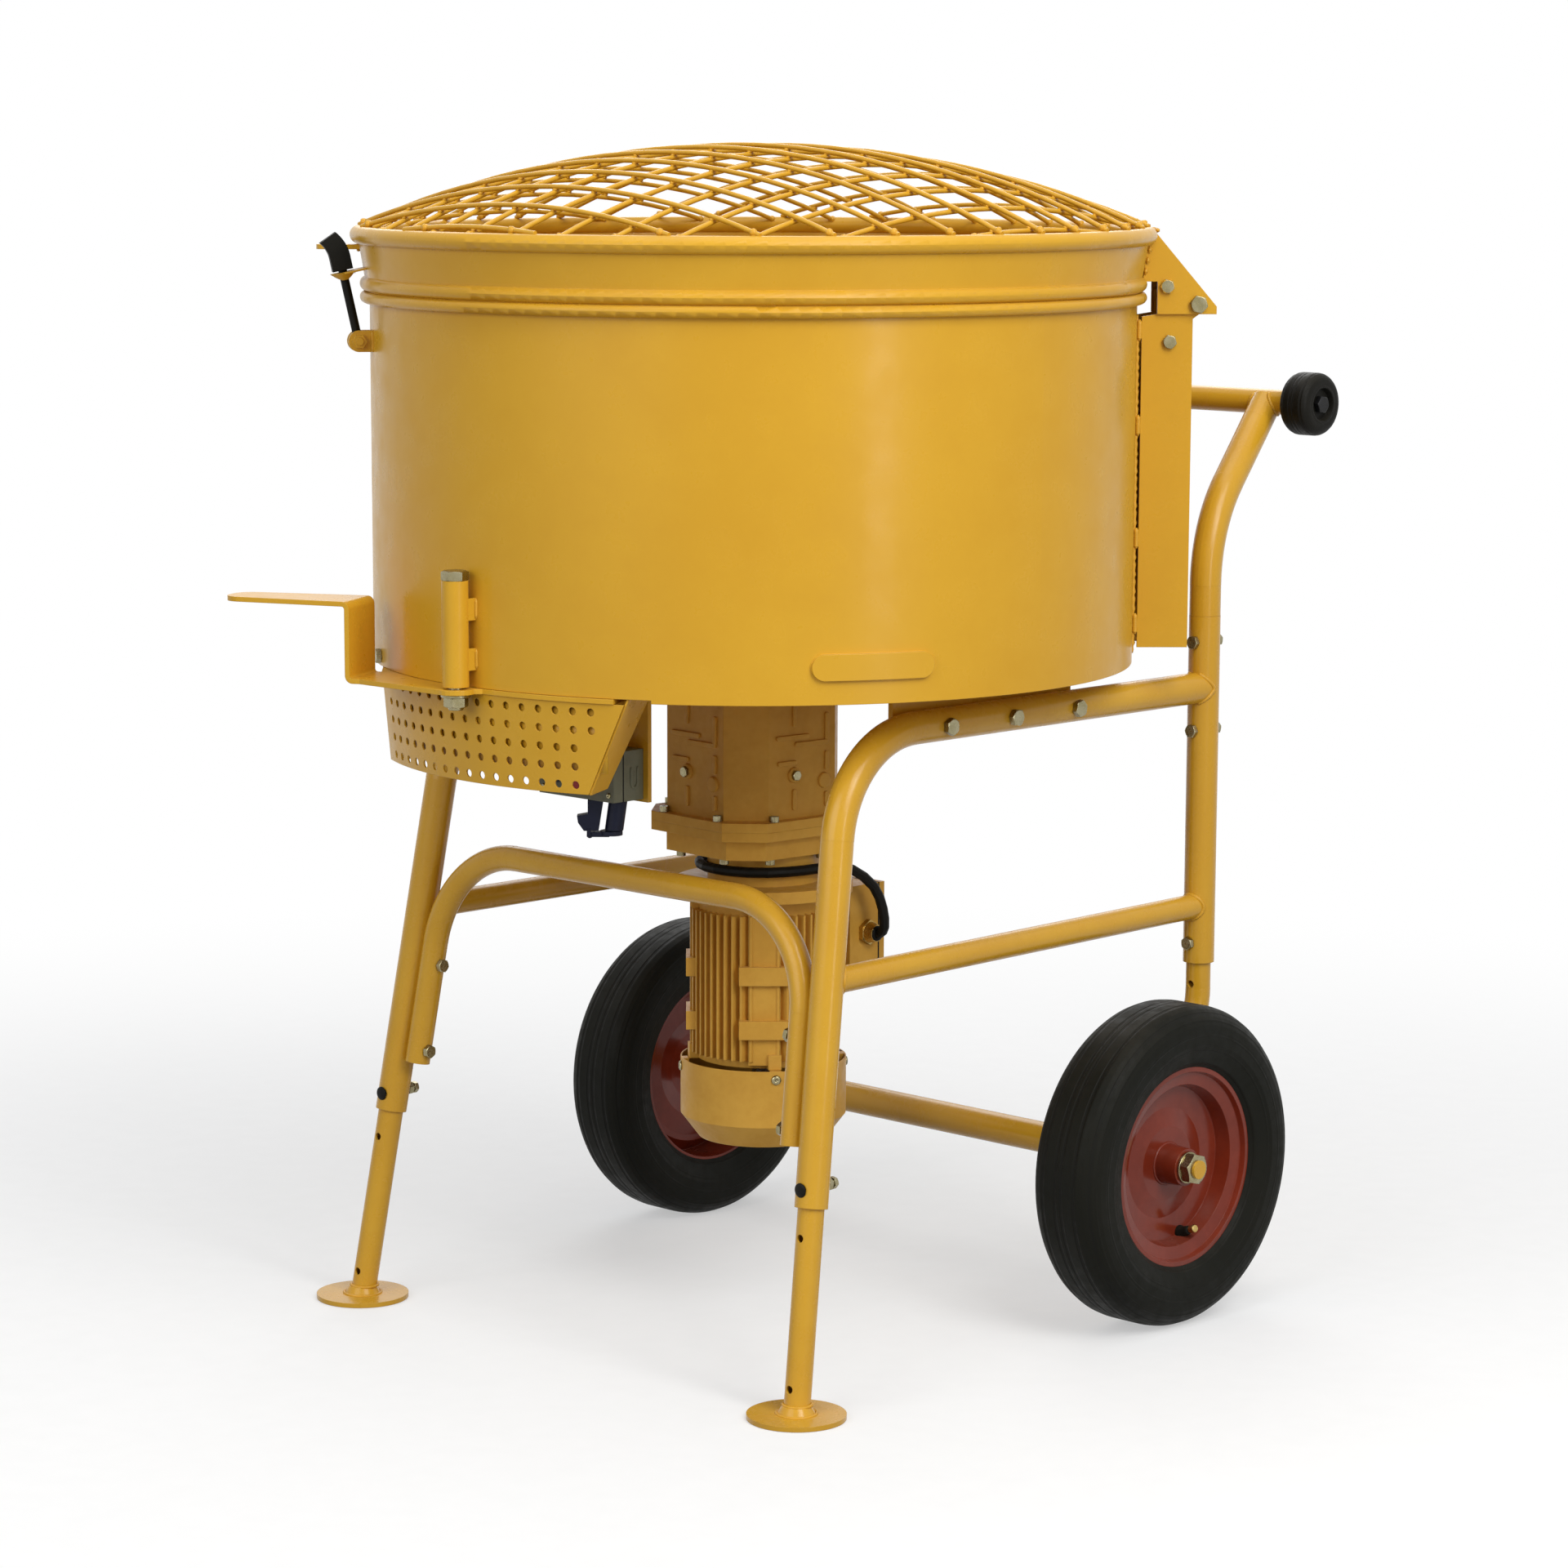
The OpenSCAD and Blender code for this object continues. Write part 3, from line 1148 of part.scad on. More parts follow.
// Finned stator housing with both end shields, mounting pads and the terminal neck
module motor_housing() color(paint) in_frame() about_motor(motor_z0) {
    h = motor_z1 - motor_z0;
    difference() {
        union() {
            cylinder(r = motor_r, h = h, $fn = 96);
            translate([0, 0, 8]) linear_extrude(h - 24) fins();
            for (a = [-45, -135]) rotate([0, 0, a]) {
                translate([60, -17, 4]) cube([17, 34, h - 14]);
                for (z = [33, 91]) translate([60, -27, z]) cube([23, 54, 20]);
            }
            translate([-30, 60, tbox_z[0] - motor_z0 + 12])
                cube([60, tbox_y[0] - motor_y - 60, tbox_z[1] - tbox_z[0] - 30]);
            for (a = [0:90:270]) rotate([0, 0, a + tab_a]) translate([motor_r - 6, -7, 0]) cube([16, 14, 16]);
        }
        translate([0, 0, 8]) cylinder(r = stator_r, h = h - 16, $fn = 96);
        translate([0, 0, -tiny]) cylinder(r = shaft_r + 2, h = h + 2 * tiny);
        for (z = motor_bearing_z) translate([0, 0, z - motor_z0]) cylinder(r = shaft_r + 14, h = 12);
        translate([-16, 60, tbox_z[0] - motor_z0 + 30]) cube([32, 60, 36]);
    }
    for (z = motor_bearing_z) translate([0, 0, z == motor_bearing_z[0] ? 8 : h - 14])
        ring(shaft_r + 20, shaft_r + 14, 6);
}

// Fins in parallel groups, clipped to a circle
module fins() intersection() {
    circle(r = fin_r, $fn = 96);
    difference() {
        union() {
            for (k = [-5:5]) {
                translate([k * 9 - 1.2, -fin_r]) square([2.4, fin_r]);
                translate([0, k * 9 - 1.2]) square([fin_r, 2.4]);
                translate([-fin_r, k * 9 - 1.2]) square([fin_r, 2.4]);
                if (abs(k) > 3) translate([k * 9 - 1.2, 0]) square([2.4, fin_r]);
            }
        }
        circle(r = motor_r - 2, $fn = 96);
    }
}

module motor_stator() color(steel) in_frame() about_motor(stack_z[0])
    ring(stator_r, rotor_r + 0.5, stack_z[1] - stack_z[0]);

module motor_rotor() color(steel) in_frame() about_motor(0) {
    translate([0, 0, stack_z[0]]) cylinder(r = rotor_r, h = stack_z[1] - stack_z[0]);
    translate([0, 0, fan_z - 8]) cylinder(r = shaft_r, h = nose_z - fan_z + 8);
    translate([0, 0, nose_z]) cylinder(r = nose_r, h = stage1_z + gear_h + 2 - nose_z);
}

module motor_fan() color(rubber) in_frame() about_motor(fan_z) {
    ring(20, shaft_r + 0.02, 30);
    translate([0, 0, 27]) ring(cowl_r - 16, 19, 3);
    for (k = [0:6]) rotate([0, 0, k * 360 / 7]) translate([18, -1.5, 4]) cube([cowl_r - 38, 3, 24]);
}

// Sheet cowl over the fan, with a slotted bottom
module fan_cowl() color(paint) in_frame() about_motor(cowl_z0) {
    h = motor_z0 - cowl_z0;
    t = 1.5;
    difference() {
        rotate_extrude($fn = 96) polygon([
            [0, 0], [cowl_r - 19, 0], [cowl_r, 25], [cowl_r, h], [cowl_r - t, h],
            [cowl_r - t, 25.6], [cowl_r - 19.7, t], [0, t]
        ]);
        for (a = [0:45:315]) rotate([0, 0, a]) for (r = [20:9:56])
            translate([0, 0, -tiny]) sector(r, r + 5, -15, 15, t + 2 * tiny);
    }
    for (a = [0:90:270]) rotate([0, 0, a + tab_a])
        translate([motor_r + 10.3, -6, h - 18]) cube([cowl_r - motor_r - 11, 12, 18]);
}

module input_pinion() color(steel) in_frame() about_motor(stage1_z)
    rotate([0, 0, lay_psi + 180 + 180 / pinion1_n]) gear(pinion1_n, stage1_m, gear_h, nose_r);

module layshaft() color(steel) in_frame() about_lay(0) {
    translate([0, 0, cover_z0 + 5]) cylinder(r = lay_r, h = lay_top_z + 10 - cover_z0 - 5);
    translate([0, 0, stage1_z]) rotate([0, 0, lay_psi]) gear(gear1_n, stage1_m, gear_h, 0);
    translate([0, 0, stage2_z]) rotate([0, 0, lay_phi + 180 + 180 / pinion2_n])
        gear(pinion2_n, stage2_m, gear2_h, 0);
}

module output_gear() color(steel) in_frame() translate([0, 0, stage2_z]) rotate([0, 0, lay_phi])
    gear(gear2_n, stage2_m, gear2_h, mixer_r);

// ---- mixing tools ----

module mixer_shaft() color(steel) in_frame() translate([0, 0, stage2_z - 4])
    cylinder(r = mixer_r, h = shaft_top - stage2_z + 4);

// Rotor hub: a bell over the shaft's end, with a rounded top
module mixer_hub() color(steel) in_frame() translate([0, 0, floor_top + paddle_clear])
    rotate_extrude($fn = 96) {
        deep = shaft_top - floor_top - paddle_clear;
        polygon(concat(
            [[mixer_r, 0], [hub_r, 0]],
            [for (a = [0:10:90]) [hub_r - 20 + 20 * cos(a), hub_h - 20 + 20 * sin(a)]],
            [[0, hub_h], [0, deep], [mixer_r, deep]]
        ));
    }

// Radial square arms and the posts that carry the paddles
module mixer_arms() color(steel) in_frame() difference() {
    for (k = [0:2]) at_polar(arm_a[k]) {
        translate([0, -arm_s / 2, arm_z - arm_s / 2]) cube([arm_len[k], arm_s, arm_s]);
        translate([paddle_r[k] - 10, -10, floor_top + paddle_h / 2])
            cube([20, 20, arm_z - floor_top - paddle_h / 2]);
    }
    translate([0, 0, floor_top]) cylinder(r = hub_r, h = 2 * arm_lift, $fn = 96);
    for (k = [0:2]) paddle_at(k) translate([-paddle_w, -paddle_t / 2, 0])
        cube([2 * paddle_w, paddle_t, paddle_h]);
}

module paddle_at(k) at_polar(arm_a[k], paddle_r[k], floor_top + paddle_clear)
    rotate([0, 0, paddle_turn]) children();

module mixer_paddles() color(steel) in_frame() for (k = [0:2]) paddle_at(k)
    translate([-paddle_w / 2, -paddle_t / 2, 0]) cube([paddle_w, paddle_t, paddle_h]);

// Blade that sweeps the wall, on the end of the longest arm
module wall_scraper() color(steel) in_frame() at_polar(arm_a[0]) {
    x1 = inner_r - scraper_clear;
    translate([arm_len[0], -arm_s / 2, floor_top + paddle_clear])
        cube([x1 - arm_len[0] - 1, paddle_t, scraper_h]);
    translate([arm_len[0], -arm_s / 2 + paddle_t, arm_z - arm_s / 2]) cube([6, arm_s - paddle_t, arm_s]);
}

// ---- electrics ----

module terminal_box() color(paint) in_frame() difference() {
    x0 = motor_x - tbox_w / 2;
    translate([x0, tbox_y[0], tbox_z[0]]) cube([tbox_w, tbox_y[1] - tbox_y[0], tbox_z[1] - tbox_z[0]]);
    translate([x0 + 4, tbox_y[0] + 4, tbox_z[0] + 4])
        cube([tbox_w - 8, tbox_y[1] - tbox_y[0], tbox_z[1] - tbox_z[0] - 8]);
    translate([motor_x - 16, tbox_y[0] - tiny, tbox_z[0] + 30]) cube([32, 10, 36]);
    translate([x0 + tbox_w - 10, gland_y, gland_z]) rotate([0, 90, 0]) cylinder(r = gland_r, h = 20);
}

module terminal_lid() color(paint) in_frame() {
    translate([motor_x - tbox_w / 2, tbox_y[1], tbox_z[0]])
        cube([tbox_w, tbox_y[2] - tbox_y[1], tbox_z[1] - tbox_z[0]]);
    for (sx = [-1, 1]) for (z = [tbox_z[0] + 9, tbox_z[1] - 9])
        translate([motor_x + sx * (tbox_w / 2 - 9), tbox_y[2], z]) rotate([-90, 0, 0]) socket_head(4, 3);
}

// Threaded body and nut of the cable gland
module cable_gland() color([0.75, 0.62, 0.30]) in_frame()
    translate([motor_x + tbox_w / 2 - 6, gland_y, gland_z]) rotate([0, 90, 0]) difference() {
        union() {
            cylinder(r = gland_r - 0.05, h = 10);
            translate([0, 0, 6]) hex_head(24, 6);
            translate([0, 0, 12]) cylinder(r1 = 11.5, r2 = 9, h = 10);
        }
        translate([0, 0, -tiny]) cylinder(r = cable_r + 0.3, h = 40);
    }

// The motor cable: from the gland over the terminal box, round the neck and up to the control box
module motor_cable() color(rubber) in_frame() swept(cable_path, cable_r, 10);

// A round tube along a path, as one closed mesh
module swept(path, r, sides) {
    n = len(path);
    along = [for (i = [0:n - 1]) unit(path[min(i + 1, n - 1)] - path[max(i - 1, 0)])];
    across = carried(along, 0, unit(cross(along[0], [0, 1, 0])));
    rings = [for (i = [0:n - 1]) for (k = [0:sides - 1])
        let (a = 360 * k / sides, w = cross(along[i], across[i]))
        path[i] + r * (cos(a) * across[i] + sin(a) * w)];
    walls = [for (i = [0:n - 2]) for (k = [0:sides - 1])
        [i * sides + k, i * sides + (k + 1) % sides, (i + 1) * sides + (k + 1) % sides, (i + 1) * sides + k]];
    polyhedron(rings, concat(
        [[for (k = [sides - 1:-1:0]) k]], walls, [[for (k = [0:sides - 1]) (n - 1) * sides + k]]
    ));
}

// Enclosure of the switches, open at the back against its bracket
module control_box() color(box_grey) in_frame() difference() {
    front = bracket_y - 5 - box_d;
    translate([box_x[0], front, box_z0]) cube([box_w, box_d, box_h]);
    translate([box_x[0] + box_wall, front + box_wall, box_z0 + box_wall])
        cube([box_w - 2 * box_wall, box_d, box_h - 2 * box_wall]);
    for (k = [0, 1]) translate([button_x[k], front - tiny, button_z]) rotate([-90, 0, 0])
        cylinder(r = 9 + run_gap, h = box_wall + 2 * tiny);
    translate([inlet_c.x, inlet_c.y, box_z0 - tiny]) cylinder(r = 7, h = box_wall + 2 * tiny);
}

// Plate under the drum that carries the control box
module box_bracket() color(paint) in_frame() difference() {
    translate([box_x[0] - 6, bracket_y - 5, bracket_z0])
        cube([bracket_x1 - box_x[0] + 6, 5, floor_z - bracket_z0]);
    translate([cable_hole.x, bracket_y + tiny, cable_hole.y]) rotate([90, 0, 0])
        cylinder(r = cable_r + 1, h = 10);
}

// A push button: collar inside the box, stem through its front, head outside
module push_button(k) in_frame() translate([button_x[k], bracket_y - 5 - box_d, button_z])
    rotate([90, 0, 0]) {
    gap = press + 1.5;
    translate([0, 0, -box_wall - 0.3 - 4]) cylinder(r = 11, h = 4);
    translate([0, 0, -box_wall - 1]) cylinder(r = 9, h = box_wall + 1 + gap);
    translate([0, 0, gap]) cylinder(r = button_r[k], h = 6);
}
module start_button() color([0.10, 0.45, 0.18]) push_button(0);
module stop_button() color([0.60, 0.08, 0.06]) push_button(1);

// The inlet's own frame: +X to the machine's right rear, z from the cap's pin
module inlet_frame() translate([inlet_c.x, inlet_c.y, inlet_z0]) rotate([0, 0, inlet_a]) children();

// Mounting plate, slanted barrel with its contacts, and the arm that carries the cap
module mains_inlet() color(navy) in_frame() inlet_frame() {
    top = box_z0 - inlet_z0;
    difference() {
        union() {
            translate([-16, -9, top - 3]) cube([32, 18, 3]);
            intersection() {
                translate([6, 0, 0]) rotate([0, 8, 0]) translate([0, 0, -5])
                    cylinder(r = inlet_r, h = top + 5);
                translate([-40, -40, 4.5]) cube([80, 80, top - 5.5]);
            }
        }
        translate([6, 0, 4]) rotate([0, 8, 0]) translate([0, 0, -5]) cylinder(r = inlet_r - 2.5, h = 22);
    }
    for (k = [0:2]) translate([8 + 3 * cos(120 * k), 3 * sin(120 * k), 12])
        cylinder(r = 1, h = 14, $fn = 16);
    difference() {
        translate([0, 7, 0]) rotate([90, 0, 0]) linear_extrude(14)
            polygon([[-20, top - 2], [-20, 22], [-31, 20], [-30, 13], [-24, 4.5], [-9, 4.5], [-4, top - 2]]);
        translate([-18, 8, 0]) rotate([90, 0, 0]) cylinder(r = 3.6, h = 16);
        translate([-18, -8, -8]) cube([40, 16, 12.8]);
    }
    translate([-18, 8, 0]) rotate([90, 0, 0]) cylinder(r = 1.5, h = 16);
    for (y = [-8, 6.5]) translate([-21, y, -1.5]) cube([4, 1.5, 8]);
}

// Spring flap under the barrel, hung on the arm's pin
module inlet_cap() color(navy) in_frame() inlet_frame() difference() {
    union() {
        translate([-18, 6, 0]) rotate([90, 0, 0]) cylinder(r = 3.2, h = 12);
        translate([-18, -6, -2]) cube([20, 12, 5]);
        translate([4, 0, -0.5]) cylinder(r = 11.5, h = 4.5);
    }
    translate([-18, 8, 0]) rotate([90, 0, 0]) cylinder(r = 1.5 + run_gap, h = 16);
}

// ---- drawing ----

drum_wall();
drum_floor();
hinge_column();
hinge_bolts();
latch_lug();
hatch_tube();
hatch_hardware();
hatch_guard();
grid_collar();
grid_mesh();
hinge_gusset();
lid_tabs();
latch_stem();
latch_grip();
hatch_plate();
side_frame_right();
side_frame_left();
front_hoop();
handle_bar();
drum_brackets();
frame_bolts();
leg_right();
leg_left();
axle_carrier();
axle_hardware();
tyre_right();
tyre_left();
rim_right();
rim_left();
roller_right();
roller_left();
roller_bolts();
gearbox_housing();
gearbox_cover();
flange_screws();
drive_bearings();
motor_adapter();
motor_housing();
motor_stator();
motor_rotor();
motor_fan();
fan_cowl();
input_pinion();
layshaft();
output_gear();
mixer_shaft();
mixer_hub();
mixer_arms();
mixer_paddles();
wall_scraper();
terminal_box();
terminal_lid();
cable_gland();
motor_cable();
control_box();
box_bracket();
start_button();
stop_button();
mains_inlet();
inlet_cap();
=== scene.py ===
"""Looks of the concrete mixer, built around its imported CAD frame.

The frame keeps every shape, size and joint. This script gives each CAD node a
procedural finish and adds the detail that the CAD leaves out: weld beads, spot
welds on the safety grid, threads, screws, gaskets, gearbox ribs, valve stems,
leg plugs, the guard's liner and button marks. Lengths are metres in the row
frame unless a name or a docstring says millimetres.
"""

from __future__ import annotations

import json
import logging
import math
from dataclasses import dataclass, field
from enum import Enum
from typing import Callable, Iterable, Sequence

import bpy  # noqa: E402
import bmesh  # noqa: E402
from mathutils import Matrix, Vector  # noqa: E402

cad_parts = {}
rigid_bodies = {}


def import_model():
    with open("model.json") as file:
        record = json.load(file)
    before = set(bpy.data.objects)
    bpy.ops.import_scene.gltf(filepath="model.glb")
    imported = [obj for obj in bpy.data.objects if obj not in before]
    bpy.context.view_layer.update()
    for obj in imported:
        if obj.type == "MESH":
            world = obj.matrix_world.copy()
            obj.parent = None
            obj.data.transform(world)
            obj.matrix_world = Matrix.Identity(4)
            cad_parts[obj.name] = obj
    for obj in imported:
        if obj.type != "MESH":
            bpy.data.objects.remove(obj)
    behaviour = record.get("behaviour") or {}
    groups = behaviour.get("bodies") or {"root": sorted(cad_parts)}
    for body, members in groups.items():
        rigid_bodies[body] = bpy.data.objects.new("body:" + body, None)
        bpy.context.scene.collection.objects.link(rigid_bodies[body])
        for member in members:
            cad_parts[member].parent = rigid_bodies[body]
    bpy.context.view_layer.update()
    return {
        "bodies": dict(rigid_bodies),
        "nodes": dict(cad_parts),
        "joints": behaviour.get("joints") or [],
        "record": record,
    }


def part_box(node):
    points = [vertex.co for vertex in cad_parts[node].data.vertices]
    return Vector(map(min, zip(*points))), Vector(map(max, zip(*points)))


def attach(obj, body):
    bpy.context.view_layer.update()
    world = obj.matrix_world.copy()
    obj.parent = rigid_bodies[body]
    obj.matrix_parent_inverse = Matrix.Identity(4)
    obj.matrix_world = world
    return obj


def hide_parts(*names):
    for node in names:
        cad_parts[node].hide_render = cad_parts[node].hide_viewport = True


LOG = logging.getLogger("mixer")
MM = 0.001
Rgb = tuple[float, float, float]
SIDES = {"right": 1, "left": -1}


# ---------------------------------------------------------------- choices


class Slot(str, Enum):
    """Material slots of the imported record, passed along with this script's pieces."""

    PAINT = "yellow_paint"
    RIM = "rim_paint"
    ZINC = "zinc"
    WORN = "worn_steel"
    BLACK_STEEL = "black_steel"
    BRASS = "brass"
    RUBBER = "black_rubber"
    FAN = "black_plastic"
    BOX = "box_plastic"
    GREEN = "green_plastic"
    RED = "red_plastic"


class Grain(Enum):
    """Kind of fine relief that a finish carries."""

    ORANGE_PEEL = "orange peel"
    CAST = "cast"
    BRUSHED = "brushed"
    MOULDED = "moulded"


# ---------------------------------------------------------------- finishes


@dataclass(frozen=True)
class Finish:
    """One procedural finish.

    Args:
        base: main colour, linear.
        shade: colour of the soft patches over it.
        worn: colour that shows through at worn edges; it is lighter than the base, so it is partly wear and
            partly a painted edge highlight.
        rough: lowest and highest roughness.
        metallic: metallic value of the surface.
        coat: weight of a clear coat.
        specular: specular level.
        grain: kind of fine relief.
        grain_mm: size of that relief.
        depth_mm: height of that relief.
        patch_mm: size of the colour patches.
        edge_mm: radius that edges are softened to.
        wear: share of wear and painted edge highlight along edges.
        dust: share of pale dust that lies on top faces.
    """

    base: Rgb
    shade: Rgb
    worn: Rgb
    rough: tuple[float, float]
    metallic: float = 0.0
    coat: float = 0.0
    specular: float = 0.5
    grain: Grain = Grain.ORANGE_PEEL
    grain_mm: float = 2.0
    depth_mm: float = 0.02
    patch_mm: float = 180.0
    edge_mm: float = 0.8
    wear: float = 0.0
    dust: float = 0.0


YELLOW: Rgb = (0.65, 0.356, 0.024)
YELLOW_SHADE: Rgb = (0.61, 0.322, 0.021)
# Lighter yellow along edges: partly paint wear, partly a painted edge highlight.
YELLOW_WORN_AND_HIGHLIGHT: Rgb = (0.76, 0.46, 0.08)

FINISHES: dict[str, Finish] = {
    "sheet": Finish(YELLOW, YELLOW_SHADE, YELLOW_WORN_AND_HIGHLIGHT, (0.24, 0.38), coat=0.05, specular=0.21,
                    grain_mm=2.4, depth_mm=0.012, patch_mm=260, edge_mm=1.0, wear=0.35, dust=0.10),
    "tube": Finish(YELLOW, YELLOW_SHADE, YELLOW_WORN_AND_HIGHLIGHT, (0.20, 0.32), coat=0.1, specular=0.26,
                   grain_mm=1.6, depth_mm=0.010, patch_mm=150, edge_mm=0.8, wear=0.30, dust=0.08),
    "cast": Finish((0.68, 0.375, 0.060), (0.60, 0.315, 0.046), YELLOW_WORN_AND_HIGHLIGHT, (0.34, 0.52), specular=0.2,
                   grain=Grain.CAST, grain_mm=2.2, depth_mm=0.09, patch_mm=60, edge_mm=1.4,
                   wear=0.35, dust=0.12),
    "weld": Finish((0.68, 0.36, 0.032), YELLOW_SHADE, YELLOW_WORN_AND_HIGHLIGHT, (0.26, 0.42), specular=0.3,
                   grain_mm=1.2, depth_mm=0.02, patch_mm=30, edge_mm=0.3, wear=0.1),
    "rim": Finish((0.225, 0.0290, 0.0110), (0.170, 0.0215, 0.0085), (0.36, 0.085, 0.04), (0.16, 0.27),
                  coat=0.14, specular=0.20, grain_mm=2.0, depth_mm=0.012, patch_mm=70, edge_mm=1.2,
                  wear=0.25, dust=0.06),
    "zinc": Finish((0.34, 0.305, 0.19), (0.25, 0.215, 0.11), (0.56, 0.53, 0.44), (0.20, 0.38),
                   metallic=1.0, grain=Grain.BRUSHED, grain_mm=0.9, depth_mm=0.01, patch_mm=14,
                   edge_mm=0.5, wear=0.4),
    "steel": Finish((0.46, 0.46, 0.47), (0.36, 0.35, 0.34), (0.66, 0.66, 0.66), (0.22, 0.40),
                    metallic=1.0, grain=Grain.BRUSHED, grain_mm=1.2, depth_mm=0.012, patch_mm=30,
                    edge_mm=0.5, wear=0.3),
    "worn": Finish((0.30, 0.275, 0.24), (0.20, 0.17, 0.135), (0.52, 0.50, 0.47), (0.35, 0.62),
                   metallic=0.85, grain=Grain.CAST, grain_mm=3.0, depth_mm=0.06, patch_mm=50,
                   edge_mm=1.2, wear=0.7, dust=0.2),
    "black_steel": Finish((0.022, 0.022, 0.023), (0.014, 0.014, 0.014), (0.16, 0.16, 0.16),
                          (0.30, 0.48), metallic=0.6, specular=0.25, grain=Grain.BRUSHED, grain_mm=0.9,
                          depth_mm=0.01, patch_mm=12, edge_mm=0.5, wear=0.4),
    "brass": Finish((0.52, 0.38, 0.14), (0.42, 0.28, 0.08), (0.70, 0.58, 0.30), (0.22, 0.36),
                    metallic=1.0, grain=Grain.BRUSHED, grain_mm=0.8, depth_mm=0.01, patch_mm=10,
                    edge_mm=0.5, wear=0.4),
    "tyre": Finish((0.0068, 0.0071, 0.0050), (0.0095, 0.0093, 0.0066), (0.020, 0.019, 0.014),
                   (0.46, 0.66), specular=0.09, grain=Grain.MOULDED, grain_mm=1.4, depth_mm=0.05,
                   patch_mm=90, edge_mm=1.5, wear=0.3, dust=0.035),
    "rubber": Finish((0.0062, 0.0059, 0.0044), (0.0088, 0.0081, 0.0060), (0.026, 0.024, 0.020),
                     (0.40, 0.60), specular=0.10, grain=Grain.MOULDED, grain_mm=1.0, depth_mm=0.03,
                     patch_mm=30, edge_mm=0.8, wear=0.3, dust=0.03),
    "fan": Finish((0.016, 0.016, 0.017), (0.022, 0.022, 0.022), (0.05, 0.05, 0.05), (0.42, 0.60),
                  specular=0.2, grain=Grain.MOULDED, grain_mm=1.0, depth_mm=0.02, patch_mm=30,
                  edge_mm=0.5, dust=0.15),
    "box": Finish((0.165, 0.170, 0.115), (0.140, 0.142, 0.094), (0.26, 0.26, 0.20), (0.42, 0.58),
                  specular=0.25, grain=Grain.MOULDED, grain_mm=0.9, depth_mm=0.035, patch_mm=40,
                  edge_mm=1.6, wear=0.3, dust=0.06),
    "green": Finish((0.018, 0.15, 0.040), (0.014, 0.12, 0.032), (0.08, 0.26, 0.11), (0.28, 0.42),
                    specular=0.3, grain=Grain.MOULDED, grain_mm=0.8, depth_mm=0.01, patch_mm=12,
                    edge_mm=0.8, wear=0.3),
    "red": Finish((0.42, 0.014, 0.010), (0.34, 0.010, 0.008), (0.55, 0.07, 0.05), (0.28, 0.42),
                  specular=0.3, grain=Grain.MOULDED, grain_mm=0.8, depth_mm=0.01, patch_mm=12,
                  edge_mm=0.8, wear=0.3),
    "navy": Finish((0.0062, 0.0085, 0.0260), (0.0050, 0.0068, 0.0190), (0.03, 0.04, 0.08),
                   (0.36, 0.52), specular=0.2, grain=Grain.MOULDED, grain_mm=0.9, depth_mm=0.02,
                   patch_mm=20, edge_mm=0.8, wear=0.3),
    "white_mark": Finish((0.72, 0.72, 0.70), (0.64, 0.64, 0.61), (0.55, 0.55, 0.52), (0.40, 0.55),
                         specular=0.3, grain=Grain.MOULDED, grain_mm=0.6, depth_mm=0.008, patch_mm=8,
                         edge_mm=0.2, wear=0.4),
}

NODE_FINISH: dict[str, str] = {
    **{n: "sheet" for n in (
        "drum_wall", "drum_floor", "hinge_column", "latch_lug", "hatch_tube", "hatch_guard",
        "grid_collar", "hinge_gusset", "lid_tabs", "hatch_plate", "drum_brackets", "box_bracket")},
    **{n: "tube" for n in (
        "grid_mesh", "side_frame_right", "side_frame_left", "front_hoop", "handle_bar",
        "leg_right", "leg_left", "axle_carrier")},
    **{n: "cast" for n in (
        "gearbox_housing", "gearbox_cover", "motor_adapter", "motor_housing", "fan_cowl",
        "terminal_box", "terminal_lid")},
    **{n: "zinc" for n in (
        "hinge_bolts", "hatch_hardware", "frame_bolts", "axle_hardware", "flange_screws")},
    **{n: "steel" for n in (
        "drive_bearings", "motor_stator", "motor_rotor", "input_pinion", "layshaft",
        "output_gear", "mixer_shaft")},
    **{n: "worn" for n in ("mixer_hub", "mixer_arms", "mixer_paddles", "wall_scraper")},
    **{n: "tyre" for n in ("tyre_right", "tyre_left")},
    **{n: "rim" for n in ("rim_right", "rim_left")},
    **{n: "rubber" for n in ("roller_right", "roller_left", "latch_stem", "latch_grip", "motor_cable")},
    "roller_bolts": "black_steel",
    "cable_gland": "brass",
    "motor_fan": "fan",
    "control_box": "box",
    "start_button": "green",
    "stop_button": "red",
    "mains_inlet": "navy",
    "inlet_cap": "navy",
}


# ---------------------------------------------------------------- shader graph


